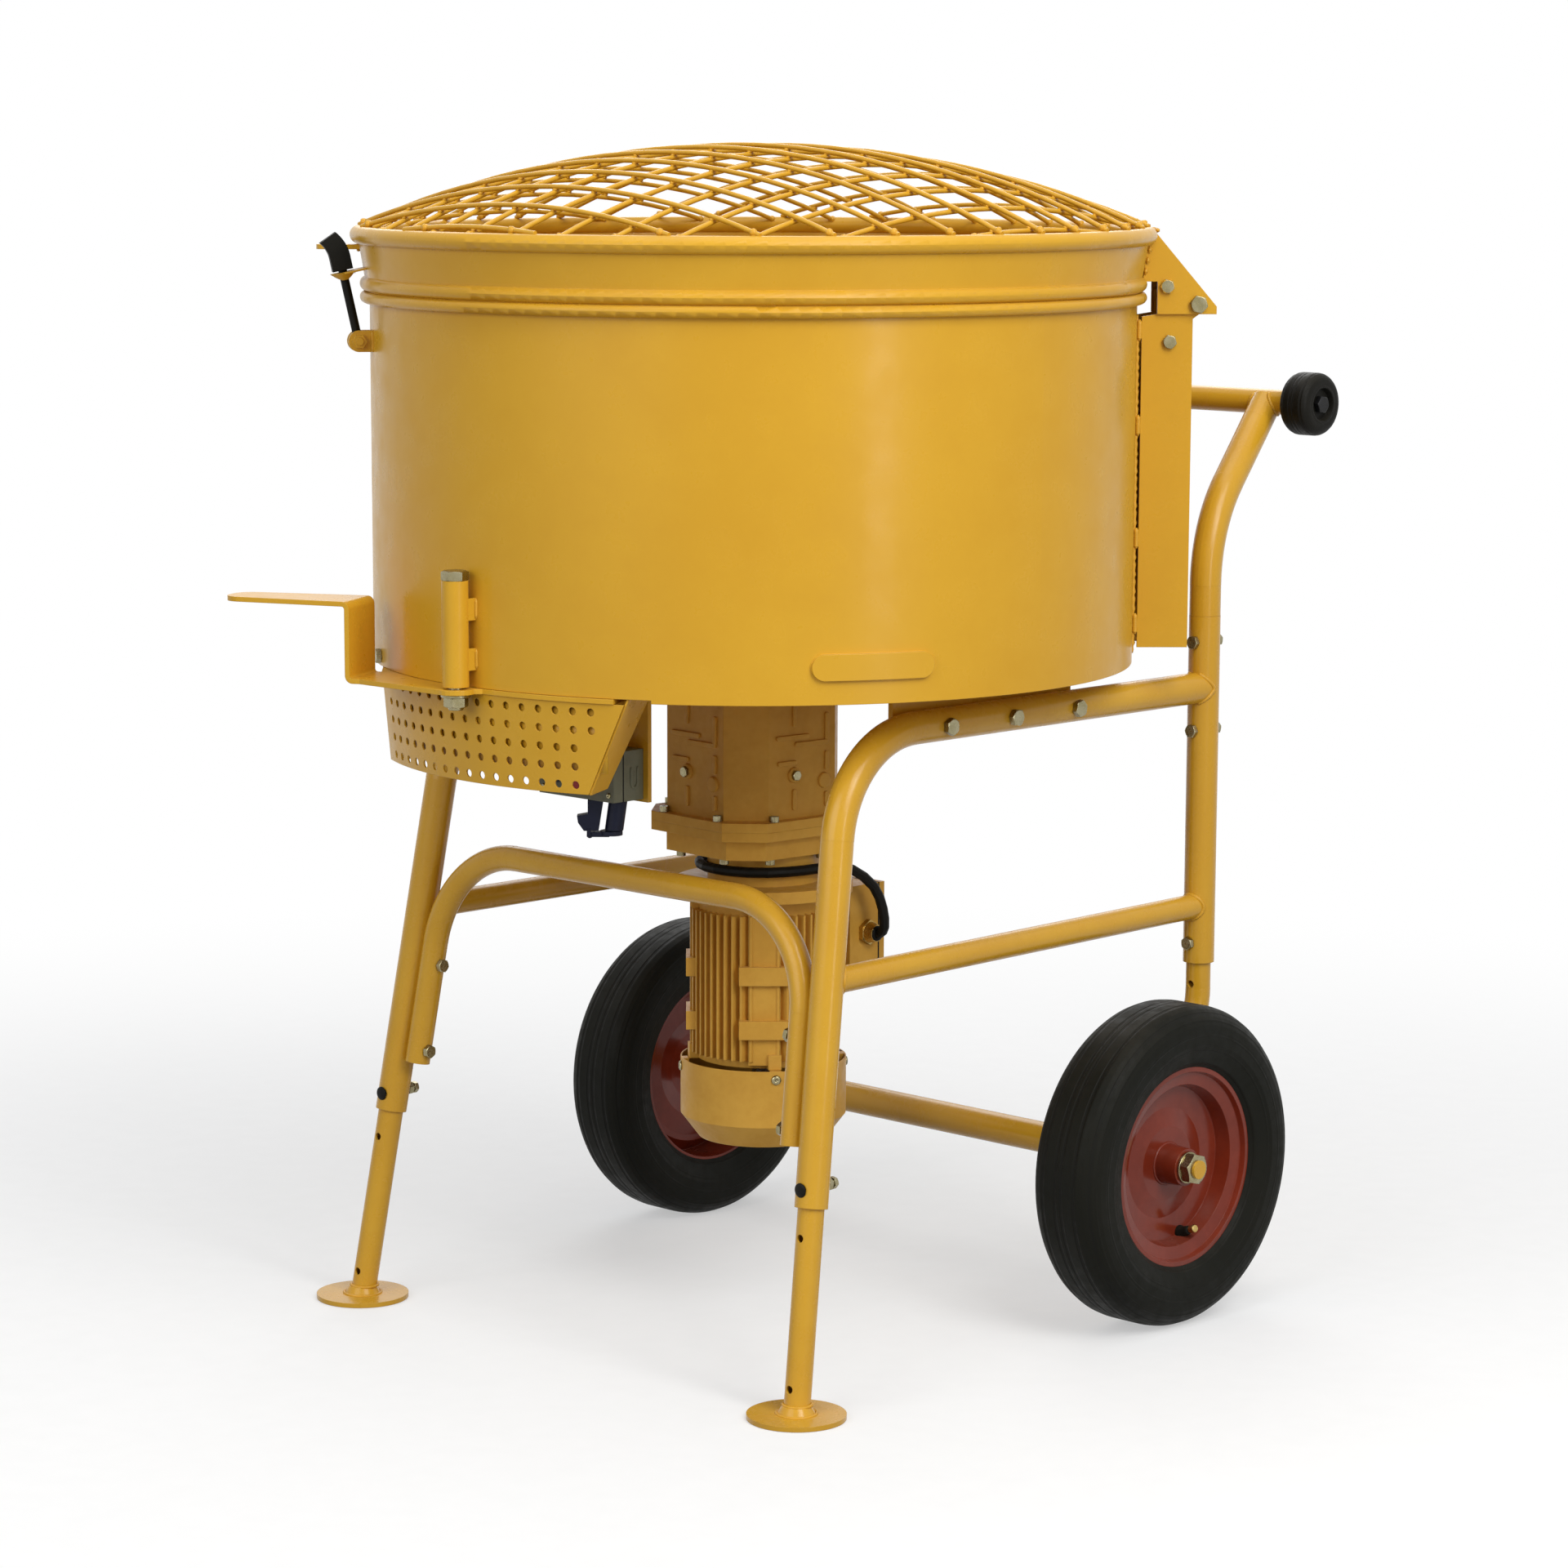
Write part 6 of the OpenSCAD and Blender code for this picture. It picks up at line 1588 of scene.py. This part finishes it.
    def _axle_nuts(self) -> None:
        """Collars, washers, nuts and threaded ends of the axle."""
        lay = self.layout
        heads: dict[tuple[float, float], list[Matrix]] = {(30, 12): []}
        threads = []
        start = 351.8 - 31 - 14 + 0.05
        hub = 351.8 + 33 + 0.3
        for s in SIDES.values():
            out = Vector((float(s), 0.0, 0.0))
            heads[(30, 12)].append(facing(out, lay.at(s * (hub + 3), *TUBES.axle), 0.25))
            threads.append((facing(out, lay.at(s * (hub + 14.6), *TUBES.axle)), 10.05, 3.0))

        def collars(kit: MeshKit) -> None:
            """Adds the collar and the washer beside each wheel."""
            for s in SIDES.values():
                frame = facing(Vector((float(s), 0.0, 0.0)), lay.at(0, *TUBES.axle))
                end = 351.8 - 33 - 0.3
                kit.lathe([(10.1 * MM, start * MM), (22.4 * MM, start * MM), (23 * MM, (start + 0.8) * MM),
                           (23 * MM, (end - 0.8) * MM), (22.4 * MM, end * MM), (10.1 * MM, end * MM)],
                          frame, 48)
                kit.lathe([(10.1 * MM, hub * MM), (16.5 * MM, hub * MM), (17 * MM, (hub + 0.4) * MM),
                           (17 * MM, (hub + 2.6) * MM), (16.5 * MM, (hub + 3) * MM),
                           (10.1 * MM, (hub + 3) * MM)],
                          frame, 48)

        self._set("axle_nuts", "axle", "axle_hardware", heads, [], threads, "zinc", Slot.ZINC, collars)

    def _roller_bolts(self) -> None:
        """The bolts that hold the handle's rollers."""
        heads: dict[tuple[float, float], list[Matrix]] = {(17, 6.5): []}
        shanks = []
        for s in SIDES.values():
            out = Vector((float(s), 0.0, 0.0))
            seat = self.layout.at(s * 338.3, 529.5, 967)
            heads[(17, 6.5)].append(facing(out, seat, 0.4))
            shanks.append((seat + out * 2 * MM, seat - out * 52 * MM, 5 * MM))
        self._set("roller_hardware", "machine", "roller_bolts", heads, shanks, [],
                  "black_steel", Slot.BLACK_STEEL)


def join(name: str, objects: Sequence[bpy.types.Object]) -> bpy.types.Object:
    """Joins plain mesh objects into one, and drops the old ones.

    Args:
        name: the new piece's name.
        objects: what is joined.

    Returns:
        The new object.
    """
    work = bmesh.new()
    materials: list[bpy.types.Material] = []
    for obj in objects:
        first = len(work.faces)
        work.from_mesh(obj.data)
        work.faces.ensure_lookup_table()
        for face in work.faces[first:]:
            own = obj.data.materials[face.material_index] if obj.data.materials else None
            if own not in materials:
                materials.append(own)
            face.material_index = materials.index(own)
    mesh = bpy.data.meshes.new(name)
    work.to_mesh(mesh)
    work.free()
    for material in materials:
        mesh.materials.append(material)
    for obj in list(objects):
        bpy.data.objects.remove(obj)
    made = bpy.data.objects.new(name, mesh)
    bpy.context.scene.collection.objects.link(made)
    return made


class DriveDetail(Assembly):
    """Cast ribs, plugs, cowl screws, gaskets and the cable's seals."""

    RIBS: tuple[tuple[float, float, float, float], ...] = (
        (-12.0, 684.0, 5.0, 20.0), (-12.0, 655.0, 5.0, 24.0), (-12.0, 566.0, 5.0, 22.0),
        (-14.0, 632.0, 46.0, 5.0), (12.0, 624.0, 46.0, 5.0), (-22.0, 605.0, 26.0, 5.0),
        (33.0, 640.0, 5.0, 30.0), (33.0, 604.0, 5.0, 20.0), (33.0, 563.0, 5.0, 16.0))

    def build(self) -> None:
        """Makes the drive's small pieces."""
        self._cowl_screws()
        self._gearbox_ribs()
        self._gaskets()
        self._seals()

    def _cowl_screws(self) -> None:
        """Four pan-head screws that hold the fan cowl."""
        centre = self.layout.at(8.6, 8.4, 269)
        frames = []
        for a in (53, 143, 233, 323):
            out = radial(a)
            frames.append(facing(out, centre + out * 88.9 * MM, 0.2))
        screws = Scatter("cowl_screws", pan_template(5.2, 2.8), self.materials.get("zinc")).on(frames)
        self.ride(screws, "machine", Slot.ZINC)

    def _gearbox_ribs(self) -> None:
        """Cast ribs and bosses on the housing's four flat sides, and its level and drain plugs."""
        ribs, plugs = MeshKit(), []
        lay = self.layout
        for k in range(4):
            out, across = radial(-95 + 90 * k), radial(-5 + 90 * k)

            def place(side: float, z: float, lift: float = 0.0) -> Vector:
                """A point on this face of the case, lifted off it by so many millimetres."""
                return lay.at(0, 0, z) + out * (79.7 + lift) * MM + across * side * MM

            basis = Matrix((across, Vector((0.0, 0.0, 1.0)), out)).transposed().to_4x4()
            for side, z, wide, high in self.RIBS:
                ribs.slab([(x * MM, y * MM) for x, y in rounded(wide, high, 2.0)], 2.6 * MM,
                          Matrix.Translation(place(side, z)) @ basis)
            for side, z in ((-12.0, 592.0), (30.0, 583.0)):
                ribs.lathe([(0.0, 0.0), (8.5 * MM, 0.0), (8.0 * MM, 2.6 * MM), (7.4 * MM, 3.2 * MM),
                            (0.0, 3.2 * MM)],
                           facing(out, place(side, z)), 32)
            plugs.append(facing(out, place(-12.0, 592, 3.2), 0.4 * k))
        piece = ribs.build("gearbox_ribs", self.materials.get("cast"), smooth=False, bevel=0.7 * MM)
        self.ride(piece, "machine", Slot.PAINT)
        scatter = Scatter("gearbox_plugs", hex_template(10, 3.6), self.materials.get("zinc"))
        heads = scatter.on(plugs, smooth=False)
        self.ride(heads, "machine", Slot.ZINC)

    def _gaskets(self) -> None:
        """Thin gaskets of the terminal box and of the control box, each standing a little proud."""
        lay = self.layout
        rubber = self.materials.get("rubber")
        low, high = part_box("terminal_box")
        gasket = frame_strip(low.x, high.x, low.z, high.z, high.y - 0.9 * MM, high.y + 0.9 * MM, 0.35 * MM)
        self.ride(gasket.build("terminal_gasket", rubber, smooth=False), "machine", Slot.RUBBER)
        low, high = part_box("control_box")
        seam = frame_strip(low.x, high.x, low.z, high.z, low.y + 13 * MM, low.y + 14.4 * MM, 0.3 * MM)
        self.ride(seam.build("control_box_gasket", rubber, smooth=False), "machine", Slot.RUBBER)
        front = Vector((0.0, -1.0, 0.0))
        frames = [facing(front, Vector((x, low.y + 0.1 * MM, z)), 0.3)
                  for x in (low.x + 7 * MM, high.x - 7 * MM) for z in (low.z + 7 * MM, high.z - 7 * MM)]
        scatter = Scatter("control_box_screws", pan_template(2.9, 1.8), self.materials.get("zinc"))
        self.ride(scatter.on(frames), "machine", Slot.ZINC)
        clip = MeshKit()
        x = high.x + 0.2 * MM
        y, z = low.y + 29 * MM, low.z + 20 * MM
        loop = [Vector((x, y - 4.5 * MM * math.cos(a), z - 7 * MM * math.sin(a))) for a in
                (math.pi * k / 12 for k in range(13))]
        path = [loop[0] + Vector((0, 0, 15 * MM)), *loop, loop[-1] + Vector((0, 0, 15 * MM))]
        clip.bead(path, 1.5 * MM, ripple=0.0, pitch=2 * MM, sides=10)
        dark = self.materials.get("box")
        self.ride(clip.build("control_box_clip", dark), "machine", Slot.BOX)
        rings = MeshKit()
        for bx, inner, outer in ((-28, 10.2, 13.5), (12, 10.2, 17.6)):
            seat = Vector((lay.at(bx, 0, 0).x, low.y, 612 * MM))
            rings.lathe([(inner * MM, 0.0), (outer * MM, 0.0), (outer * MM, 0.7 * MM),
                         ((outer - 0.6) * MM, 1.2 * MM), (inner * MM, 1.2 * MM)], facing(front, seat), 48)
        self.ride(rings.build("button_bezels", self.materials.get("fan"), smooth=False), "machine", Slot.FAN)

    def _seals(self) -> None:
        """The rubber nose behind the gland and the grommet in the bracket."""
        lay = self.layout
        kit = MeshKit()
        nose = facing(Vector((1.0, 0.0, 0.0)), lay.at(73.0, 116.4, 405))
        kit.lathe([(5.6 * MM, 0.0), (8.6 * MM, 0.0), (8.2 * MM, 2.5 * MM), (7.0 * MM, 3.2 * MM),
                   (5.6 * MM, 3.4 * MM)],
                  nose, 32)
        back = facing(Vector((0.0, 1.0, 0.0)), lay.at(-36, -214, 612))
        kit.lathe([(5.6 * MM, 0.0), (10.5 * MM, 0.0), (10.5 * MM, 1.2 * MM), (9.0 * MM, 2.4 * MM),
                   (6.4 * MM, 2.6 * MM), (5.6 * MM, 2.0 * MM)], back, 32)
        self.ride(kit.build("cable_seals", self.materials.get("rubber")), "machine", Slot.RUBBER)


def rounded(width: float, height: float, radius: float, steps: int = 4) -> list[tuple[float, float]]:
    """The outline of a rounded rectangle about the origin.

    Args:
        width: its width.
        height: its height.
        radius: radius of its corners.
        steps: points per corner.

    Returns:
        Points, anticlockwise.
    """
    points = []
    for k, (sx, sy) in enumerate(((1, 1), (-1, 1), (-1, -1), (1, -1))):
        for i in range(steps + 1):
            a = math.pi / 2 * (k + i / steps)
            points.append((sx * (width / 2 - radius) + radius * math.cos(a),
                           sy * (height / 2 - radius) + radius * math.sin(a)))
    return points


def frame_strip(x0: float, x1: float, z0: float, z1: float, y0: float, y1: float, proud: float) -> MeshKit:
    """A rectangular strip round a box, from y0 to y1, standing proud of its four sides.

    Args:
        x0: the box's left side.
        x1: its right side.
        z0: its bottom.
        z1: its top.
        y0: front of the strip.
        y1: back of the strip.
        proud: how far it stands out.

    Returns:
        The strip.
    """
    kit = MeshKit()
    inner, outer = 1.0 * MM, proud
    for y in (y0, y1):
        for grow in (-inner, outer):
            kit.vertices += [Vector((x, y, z)) for x, z in (
                (x0 - grow, z0 - grow), (x1 + grow, z0 - grow), (x1 + grow, z1 + grow),
                (x0 - grow, z1 + grow))]
    for k in range(4):
        n = (k + 1) % 4
        kit.faces += [(k, n, 4 + n, 4 + k), (8 + k, 12 + k, 12 + n, 8 + n), (4 + k, 4 + n, 12 + n, 12 + k),
                      (k, 8 + k, 8 + n, n)]
    return kit


class ButtonDetail(Assembly):
    """The raised start and stop marks."""

    def build(self) -> None:
        """Makes a bar on the start button and a ring on the stop button."""
        front = Vector((0.0, -1.0, 0.0))
        material = self.materials.get("white_mark")
        for node, body, kind in (("start_button", "start_push", "bar"), ("stop_button", "stop_push", "ring")):
            low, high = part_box(node)
            frame = facing(front, Vector(((low.x + high.x) / 2, low.y - 0.02 * MM, (low.z + high.z) / 2)))
            kit = MeshKit()
            if kind == "bar":
                kit.slab([(x * MM, y * MM) for x, y in rounded(2.0, 10.0, 0.9)], 0.35 * MM, frame)
            else:
                kit.lathe([(4.6 * MM, 0.0), (6.4 * MM, 0.0), (6.4 * MM, 0.35 * MM), (4.6 * MM, 0.35 * MM),
                           (4.6 * MM, 0.0)], frame, 40)
            self.ride(kit.build(f"{node}_mark", material, smooth=False), body,
                      Slot.GREEN if kind == "bar" else Slot.RED)


class WheelDetail(Assembly):
    """Valve stems and hub welds of the wheels.

    VALVE_RADIUS, VALVE_TURN and VALVE_LEAN place the valve on the disc, in millimetres, degrees and as a
    slope. HUB_RADIUS and HUB_LEVELS place the two welds round the hub, in millimetres.
    """

    VALVE_RADIUS = 84.0
    VALVE_TURN = -73.0
    VALVE_LEAN = 0.42
    DISC_FACE = 6.0
    HUB_RADIUS = 22.0
    HUB_LEVELS = (6.0, 2.6)

    def build(self) -> None:
        """Makes the pieces of both wheels."""
        for name, side in SIDES.items():
            out = Vector((float(side), 0.0, 0.0))
            centre = self.layout.middle(f"rim_{name}")
            angle = math.radians(self.VALVE_TURN)
            arm = Vector((0.0, math.cos(angle), math.sin(angle)))
            root = centre + arm * self.VALVE_RADIUS * MM + out * self.DISC_FACE * MM
            lean = (out - arm * self.VALVE_LEAN).normalized()
            rubber, cap = MeshKit(), MeshKit()
            frame = facing(lean, root)
            rubber.lathe([(0.0, -2 * MM), (8 * MM, -2 * MM), (8 * MM, 1.5 * MM), (6 * MM, 4 * MM),
                          (5 * MM, 12 * MM), (4.3 * MM, 16 * MM), (0.0, 16 * MM)], frame, 24)
            cap.lathe([(0.0, 15 * MM), (3.2 * MM, 15 * MM), (3.2 * MM, 17 * MM), (4.3 * MM, 17.3 * MM),
                       (4.3 * MM, 24 * MM), (3.4 * MM, 25 * MM), (0.0, 25 * MM)], frame, 24)
            body = f"wheel_{name}"
            self.ride(rubber.build(f"valve_stem_{name}", self.materials.get("rubber")), body, Slot.RUBBER)
            brass = cap.build(f"valve_cap_{name}", self.materials.get("brass"), smooth=False)
            self.ride(brass, body, Slot.BRASS)
            weld = MeshKit()
            for level in self.HUB_LEVELS:
                ring = [centre + out * level * MM
                        + Vector((0.0, math.cos(a), math.sin(a))) * self.HUB_RADIUS * MM
                        for a in (math.tau * k / 48 for k in range(48))]
                weld.bead(ring, 1.9 * MM, closed=True)
            self.ride(weld.build(f"hub_weld_{name}", self.materials.get("rim")), body, Slot.RIM)


class MixerDetail(Assembly):
    """Bolts and weld beads of the mixing tools."""

    def build(self) -> None:
        """Makes the paddle bolts, the hub's cap bolt and the arm welds."""
        lay = self.layout
        frames, beads = [], MeshKit()
        for angle, reach in ((180, 320), (60, 245), (-60, 165)):
            turned = angle + 35
            base = lay.polar(angle, reach, 0)
            face, along = radial(turned + 90), radial(turned)
            for side in (-1, 1):
                for offset in (-36, 36):
                    for z in (741, 778):
                        spot = base + Vector((0, 0, z * MM)) + along * offset * MM + face * side * 4 * MM
                        frames.append(facing(face * side, spot, 0.3 * offset))
            arm, cross = radial(angle), radial(angle + 90)
            for z in (785.2, 816.8):
                root = lay.at(0, 0, z) + arm * 55.8 * MM
                beads.bead([root - cross * 14 * MM, root + cross * 14 * MM], 2.6 * MM)
            for side in (-15.8, 15.8):
                root = lay.at(0, 0, 801) + arm * 55.0 * MM + cross * side * MM
                beads.bead([root - Vector((0, 0, 14 * MM)), root + Vector((0, 0, 14 * MM))], 2.6 * MM)
        scatter = Scatter("paddle_bolts", hex_template(13, 5), self.materials.get("worn"))
        bolts = scatter.on(frames, smooth=False)
        self.ride(bolts, "mixer", Slot.WORN)
        self.ride(beads.build("mixer_welds", self.materials.get("worn")), "mixer", Slot.WORN)
        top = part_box("mixer_hub")[1].z
        cap = Scatter("hub_cap_bolt", hex_template(24, 9), self.materials.get("worn")).on(
            [facing(Vector((0, 0, 1)), Vector((lay.axis.x, lay.axis.y, top)), 0.3)], smooth=False)
        self.ride(cap, "mixer", Slot.WORN)


# ---------------------------------------------------------------- studio


@dataclass(frozen=True)
class CameraSetup:
    """The camera, about the drum's axis.

    Args:
        azimuth: compass turn from the front, in degrees.
        distance: level distance from the axis.
        height: height over the floor.
        pitch: degrees that it looks down.
        roll: degrees of roll.
        focal: focal length, in 1920ths of the frame's width.
        shift: sideways and upward shift.
    """

    azimuth: float = 44.333
    distance: float = 4.6966
    height: float = 1.2751
    pitch: float = 9.571
    roll: float = 0.101
    focal: float = 5460.7
    shift: tuple[float, float] = (0.0201, 0.0526)


class Studio:
    """Camera, lights, floor and background."""

    FLOOR_GLOW = 0.45
    FLOOR_BOUNCE: Rgb = (0.34, 0.33, 0.32)
    WORLD_LEVEL = 0.27

    def __init__(self, layout: Layout) -> None:
        """Keeps the layout.

        Args:
            layout: where the drum's axis is.
        """
        self.layout = layout

    def build(self) -> None:
        """Makes the whole studio."""
        self._camera(CameraSetup())
        self._floor()
        self._lights()
        self._world()
        bpy.context.scene.view_settings.view_transform = "Standard"

    def _camera(self, setup: CameraSetup) -> None:
        """Places the camera.

        Args:
            setup: the camera's figures.
        """
        data = bpy.data.cameras.new("camera")
        data.sensor_width = 36.0
        data.lens = setup.focal / 1920 * 36.0
        data.shift_x, data.shift_y = setup.shift
        data.clip_start, data.clip_end = 0.05, 100.0
        camera = bpy.data.objects.new("camera", data)
        a = math.radians(setup.azimuth)
        back = Vector((math.sin(a) * setup.distance, -math.cos(a) * setup.distance, setup.height))
        camera.location = self.layout.axis + back
        look = (Matrix.Rotation(a, 4, "Z") @ Matrix.Rotation(math.radians(90 - setup.pitch), 4, "X")
                @ Matrix.Rotation(math.radians(setup.roll), 4, "Z"))
        camera.rotation_euler = look.to_euler()
        bpy.context.scene.collection.objects.link(camera)
        bpy.context.scene.camera = camera

    def _floor(self) -> None:
        """A round pale floor that fades into the background."""
        mesh = bpy.data.meshes.new("floor")
        work = bmesh.new()
        bmesh.ops.create_circle(work, cap_ends=True, segments=96, radius=14.0)
        work.to_mesh(mesh)
        work.free()
        floor = bpy.data.objects.new("floor", mesh)
        floor.location = (self.layout.axis.x, self.layout.axis.y, -0.0005)
        bpy.context.scene.collection.objects.link(floor)
        material = bpy.data.materials.new("mat_floor")
        material.use_nodes = True
        material.node_tree.nodes.clear()
        g = Graph(material.node_tree)
        end = g.node("ShaderNodeOutputMaterial")
        matt, near = g.node("ShaderNodeBsdfDiffuse"), g.node("ShaderNodeBsdfDiffuse")
        glow = g.node("ShaderNodeEmission")
        glow.inputs["Color"].default_value = (1.0, 1.0, 1.0, 1.0)
        coordinates = g.node("ShaderNodeTexCoord")
        length = g.node("ShaderNodeVectorMath", operation="LENGTH")
        g.put(length.inputs[0], coordinates.outputs["Object"])
        fade = g.span(length.outputs["Value"], 0.7, 2.6, self.FLOOR_GLOW, 1.0, smooth=True)
        speck = g.span(g.noise(coordinates.outputs["Object"], 30.0, 4.0), 0.3, 0.7, 0.0, 1.0)
        g.put(matt.inputs["Color"], g.mix(speck, (0.90, 0.90, 0.895, 1.0), (0.93, 0.93, 0.925, 1.0)))
        near.inputs["Color"].default_value = (*self.FLOOR_BOUNCE, 1.0)
        blend, choice = g.node("ShaderNodeMixShader"), g.node("ShaderNodeMixShader")
        g.put(blend.inputs[0], fade)
        g.put(blend.inputs[1], matt.outputs[0])
        g.put(blend.inputs[2], glow.outputs[0])
        g.put(choice.inputs[0], self._seen(g))
        g.put(choice.inputs[1], near.outputs[0])
        g.put(choice.inputs[2], blend.outputs[0])
        g.put(end.inputs["Surface"], choice.outputs[0])
        mesh.materials.append(material)

    def _light(self, name: str, azimuth: float, elevation: float, distance: float, size: tuple[float, float],
               power: float, colour: Rgb = (1.0, 1.0, 1.0)) -> None:
        """Adds a rectangular soft light that looks at the drum.

        Args:
            name: its name.
            azimuth: compass turn from the front, in degrees.
            elevation: degrees over the horizon.
            distance: distance from the drum's middle.
            size: width and height.
            power: watts.
            colour: its colour.
        """
        data = bpy.data.lights.new(name, "AREA")
        data.shape, data.size, data.size_y = "RECTANGLE", size[0], size[1]
        data.energy, data.color = power, colour
        light = bpy.data.objects.new(name, data)
        a, e = math.radians(azimuth), math.radians(elevation)
        target = self.layout.axis + Vector((0.0, 0.0, 0.75))
        back = Vector((math.sin(a) * math.cos(e), -math.cos(a) * math.cos(e), math.sin(e)))
        light.location = target + back * distance
        light.rotation_euler = back.to_track_quat("Z", "Y").to_euler()
        bpy.context.scene.collection.objects.link(light)

    def _lights(self) -> None:
        """A key from the upper right, a tall strip for the drum's gleam, and soft fills."""
        self._light("key", 76, 38, 3.6, (1.8, 2.2), 74, (1.0, 0.985, 0.96))
        self._light("strip", 80, 14, 3.4, (0.5, 2.4), 20)
        self._light("fill", 2, 22, 4.2, (3.0, 2.6), 62, (0.97, 0.985, 1.0))
        self._light("top", 40, 80, 3.4, (2.6, 2.6), 38)
        self._light("back", 225, 32, 4.0, (2.6, 2.0), 42)

    @staticmethod
    def _seen(g: Graph) -> bpy.types.NodeSocket:
        """Whether a ray sees the white background: camera, glossy and transmission rays do.

        Args:
            g: the graph to add the nodes to.

        Returns:
            1 for such a ray and 0 for any other.
        """
        path = g.node("ShaderNodeLightPath")
        shiny = g.math("MAXIMUM", path.outputs["Is Glossy Ray"], path.outputs["Is Transmission Ray"])
        return g.math("MAXIMUM", path.outputs["Is Camera Ray"], shiny)

    def _world(self) -> None:
        """A white background for what is seen and a soft grey one for the light."""
        world = bpy.data.worlds.new("world")
        bpy.context.scene.world = world
        world.use_nodes = True
        world.node_tree.nodes.clear()
        g = Graph(world.node_tree)
        end = g.node("ShaderNodeOutputWorld")
        seen, soft = g.node("ShaderNodeBackground"), g.node("ShaderNodeBackground")
        seen.inputs["Color"].default_value = (1.0, 1.0, 1.0, 1.0)
        soft.inputs["Color"].default_value = (0.92, 0.95, 1.0, 1.0)
        soft.inputs["Strength"].default_value = self.WORLD_LEVEL
        blend = g.node("ShaderNodeMixShader")
        g.put(blend.inputs[0], self._seen(g))
        g.put(blend.inputs[1], soft.outputs[0])
        g.put(blend.inputs[2], seen.outputs[0])
        g.put(end.inputs["Surface"], blend.outputs[0])


# ---------------------------------------------------------------- main


class Mixer:
    """The whole machine: finishes on the CAD nodes and the detail pieces.

    TYRE_RINGS and ROLLER_RINGS are the radius where the tread begins, the pitch and the depth, in metres.
    """

    TYRE_RINGS = (0.166, 0.0165, 0.8 * MM)
    ROLLER_RINGS = (0.0335, 0.0095, 0.5 * MM)

    DETAILS: tuple[type[Assembly], ...] = (DrumDetail, LidDetail, FrameDetail, BoltDetail, DriveDetail,
                                           ButtonDetail, WheelDetail, MixerDetail)

    def __init__(self, frame: dict, layout: Layout) -> None:
        """Keeps the frame.

        Args:
            layout: where the frame's parts are.
        """
        self.frame, self.layout = frame, layout
        self.materials = MaterialLibrary()

    def paint_nodes(self) -> None:
        """Gives each CAD node its finish."""
        for name, obj in self.frame["nodes"].items():
            finish = NODE_FINISH.get(name)
            if finish is None:
                LOG.warning("node %s has no finish", name)
                continue
            material = self._with_rings(name, finish)
            obj.data.materials.clear()
            obj.data.materials.append(material)

    def _with_rings(self, name: str, finish: str) -> bpy.types.Material:
        """The material of a node, with moulded rings if it is a tyre or a roller.

        Args:
            name: the node's name.
            finish: its finish.

        Returns:
            The material.
        """
        if name.startswith("tyre_"):
            rings = RingPattern(self.layout.middle(name), *self.TYRE_RINGS)
            return self.materials.get(finish, rings, "_" + name)
        if name.startswith("roller_") and name != "roller_bolts":
            rings = RingPattern(self.layout.middle(name), *self.ROLLER_RINGS)
            return self.materials.get(finish, rings, "_" + name)
        return self.materials.get(finish)

    def build(self) -> None:
        """Finishes the nodes and makes every detail piece."""
        self.paint_nodes()
        for kind in self.DETAILS:
            kind(self.layout, self.materials).build()
            LOG.info("%s done", kind.__name__)


def main() -> None:
    """Builds the scene."""
    logging.basicConfig(level=logging.INFO, format="%(message)s")
    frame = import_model()
    layout = Layout.read()
    Mixer(frame, layout).build()
    Studio(layout).build()


if __name__ == "__main__":
    main()
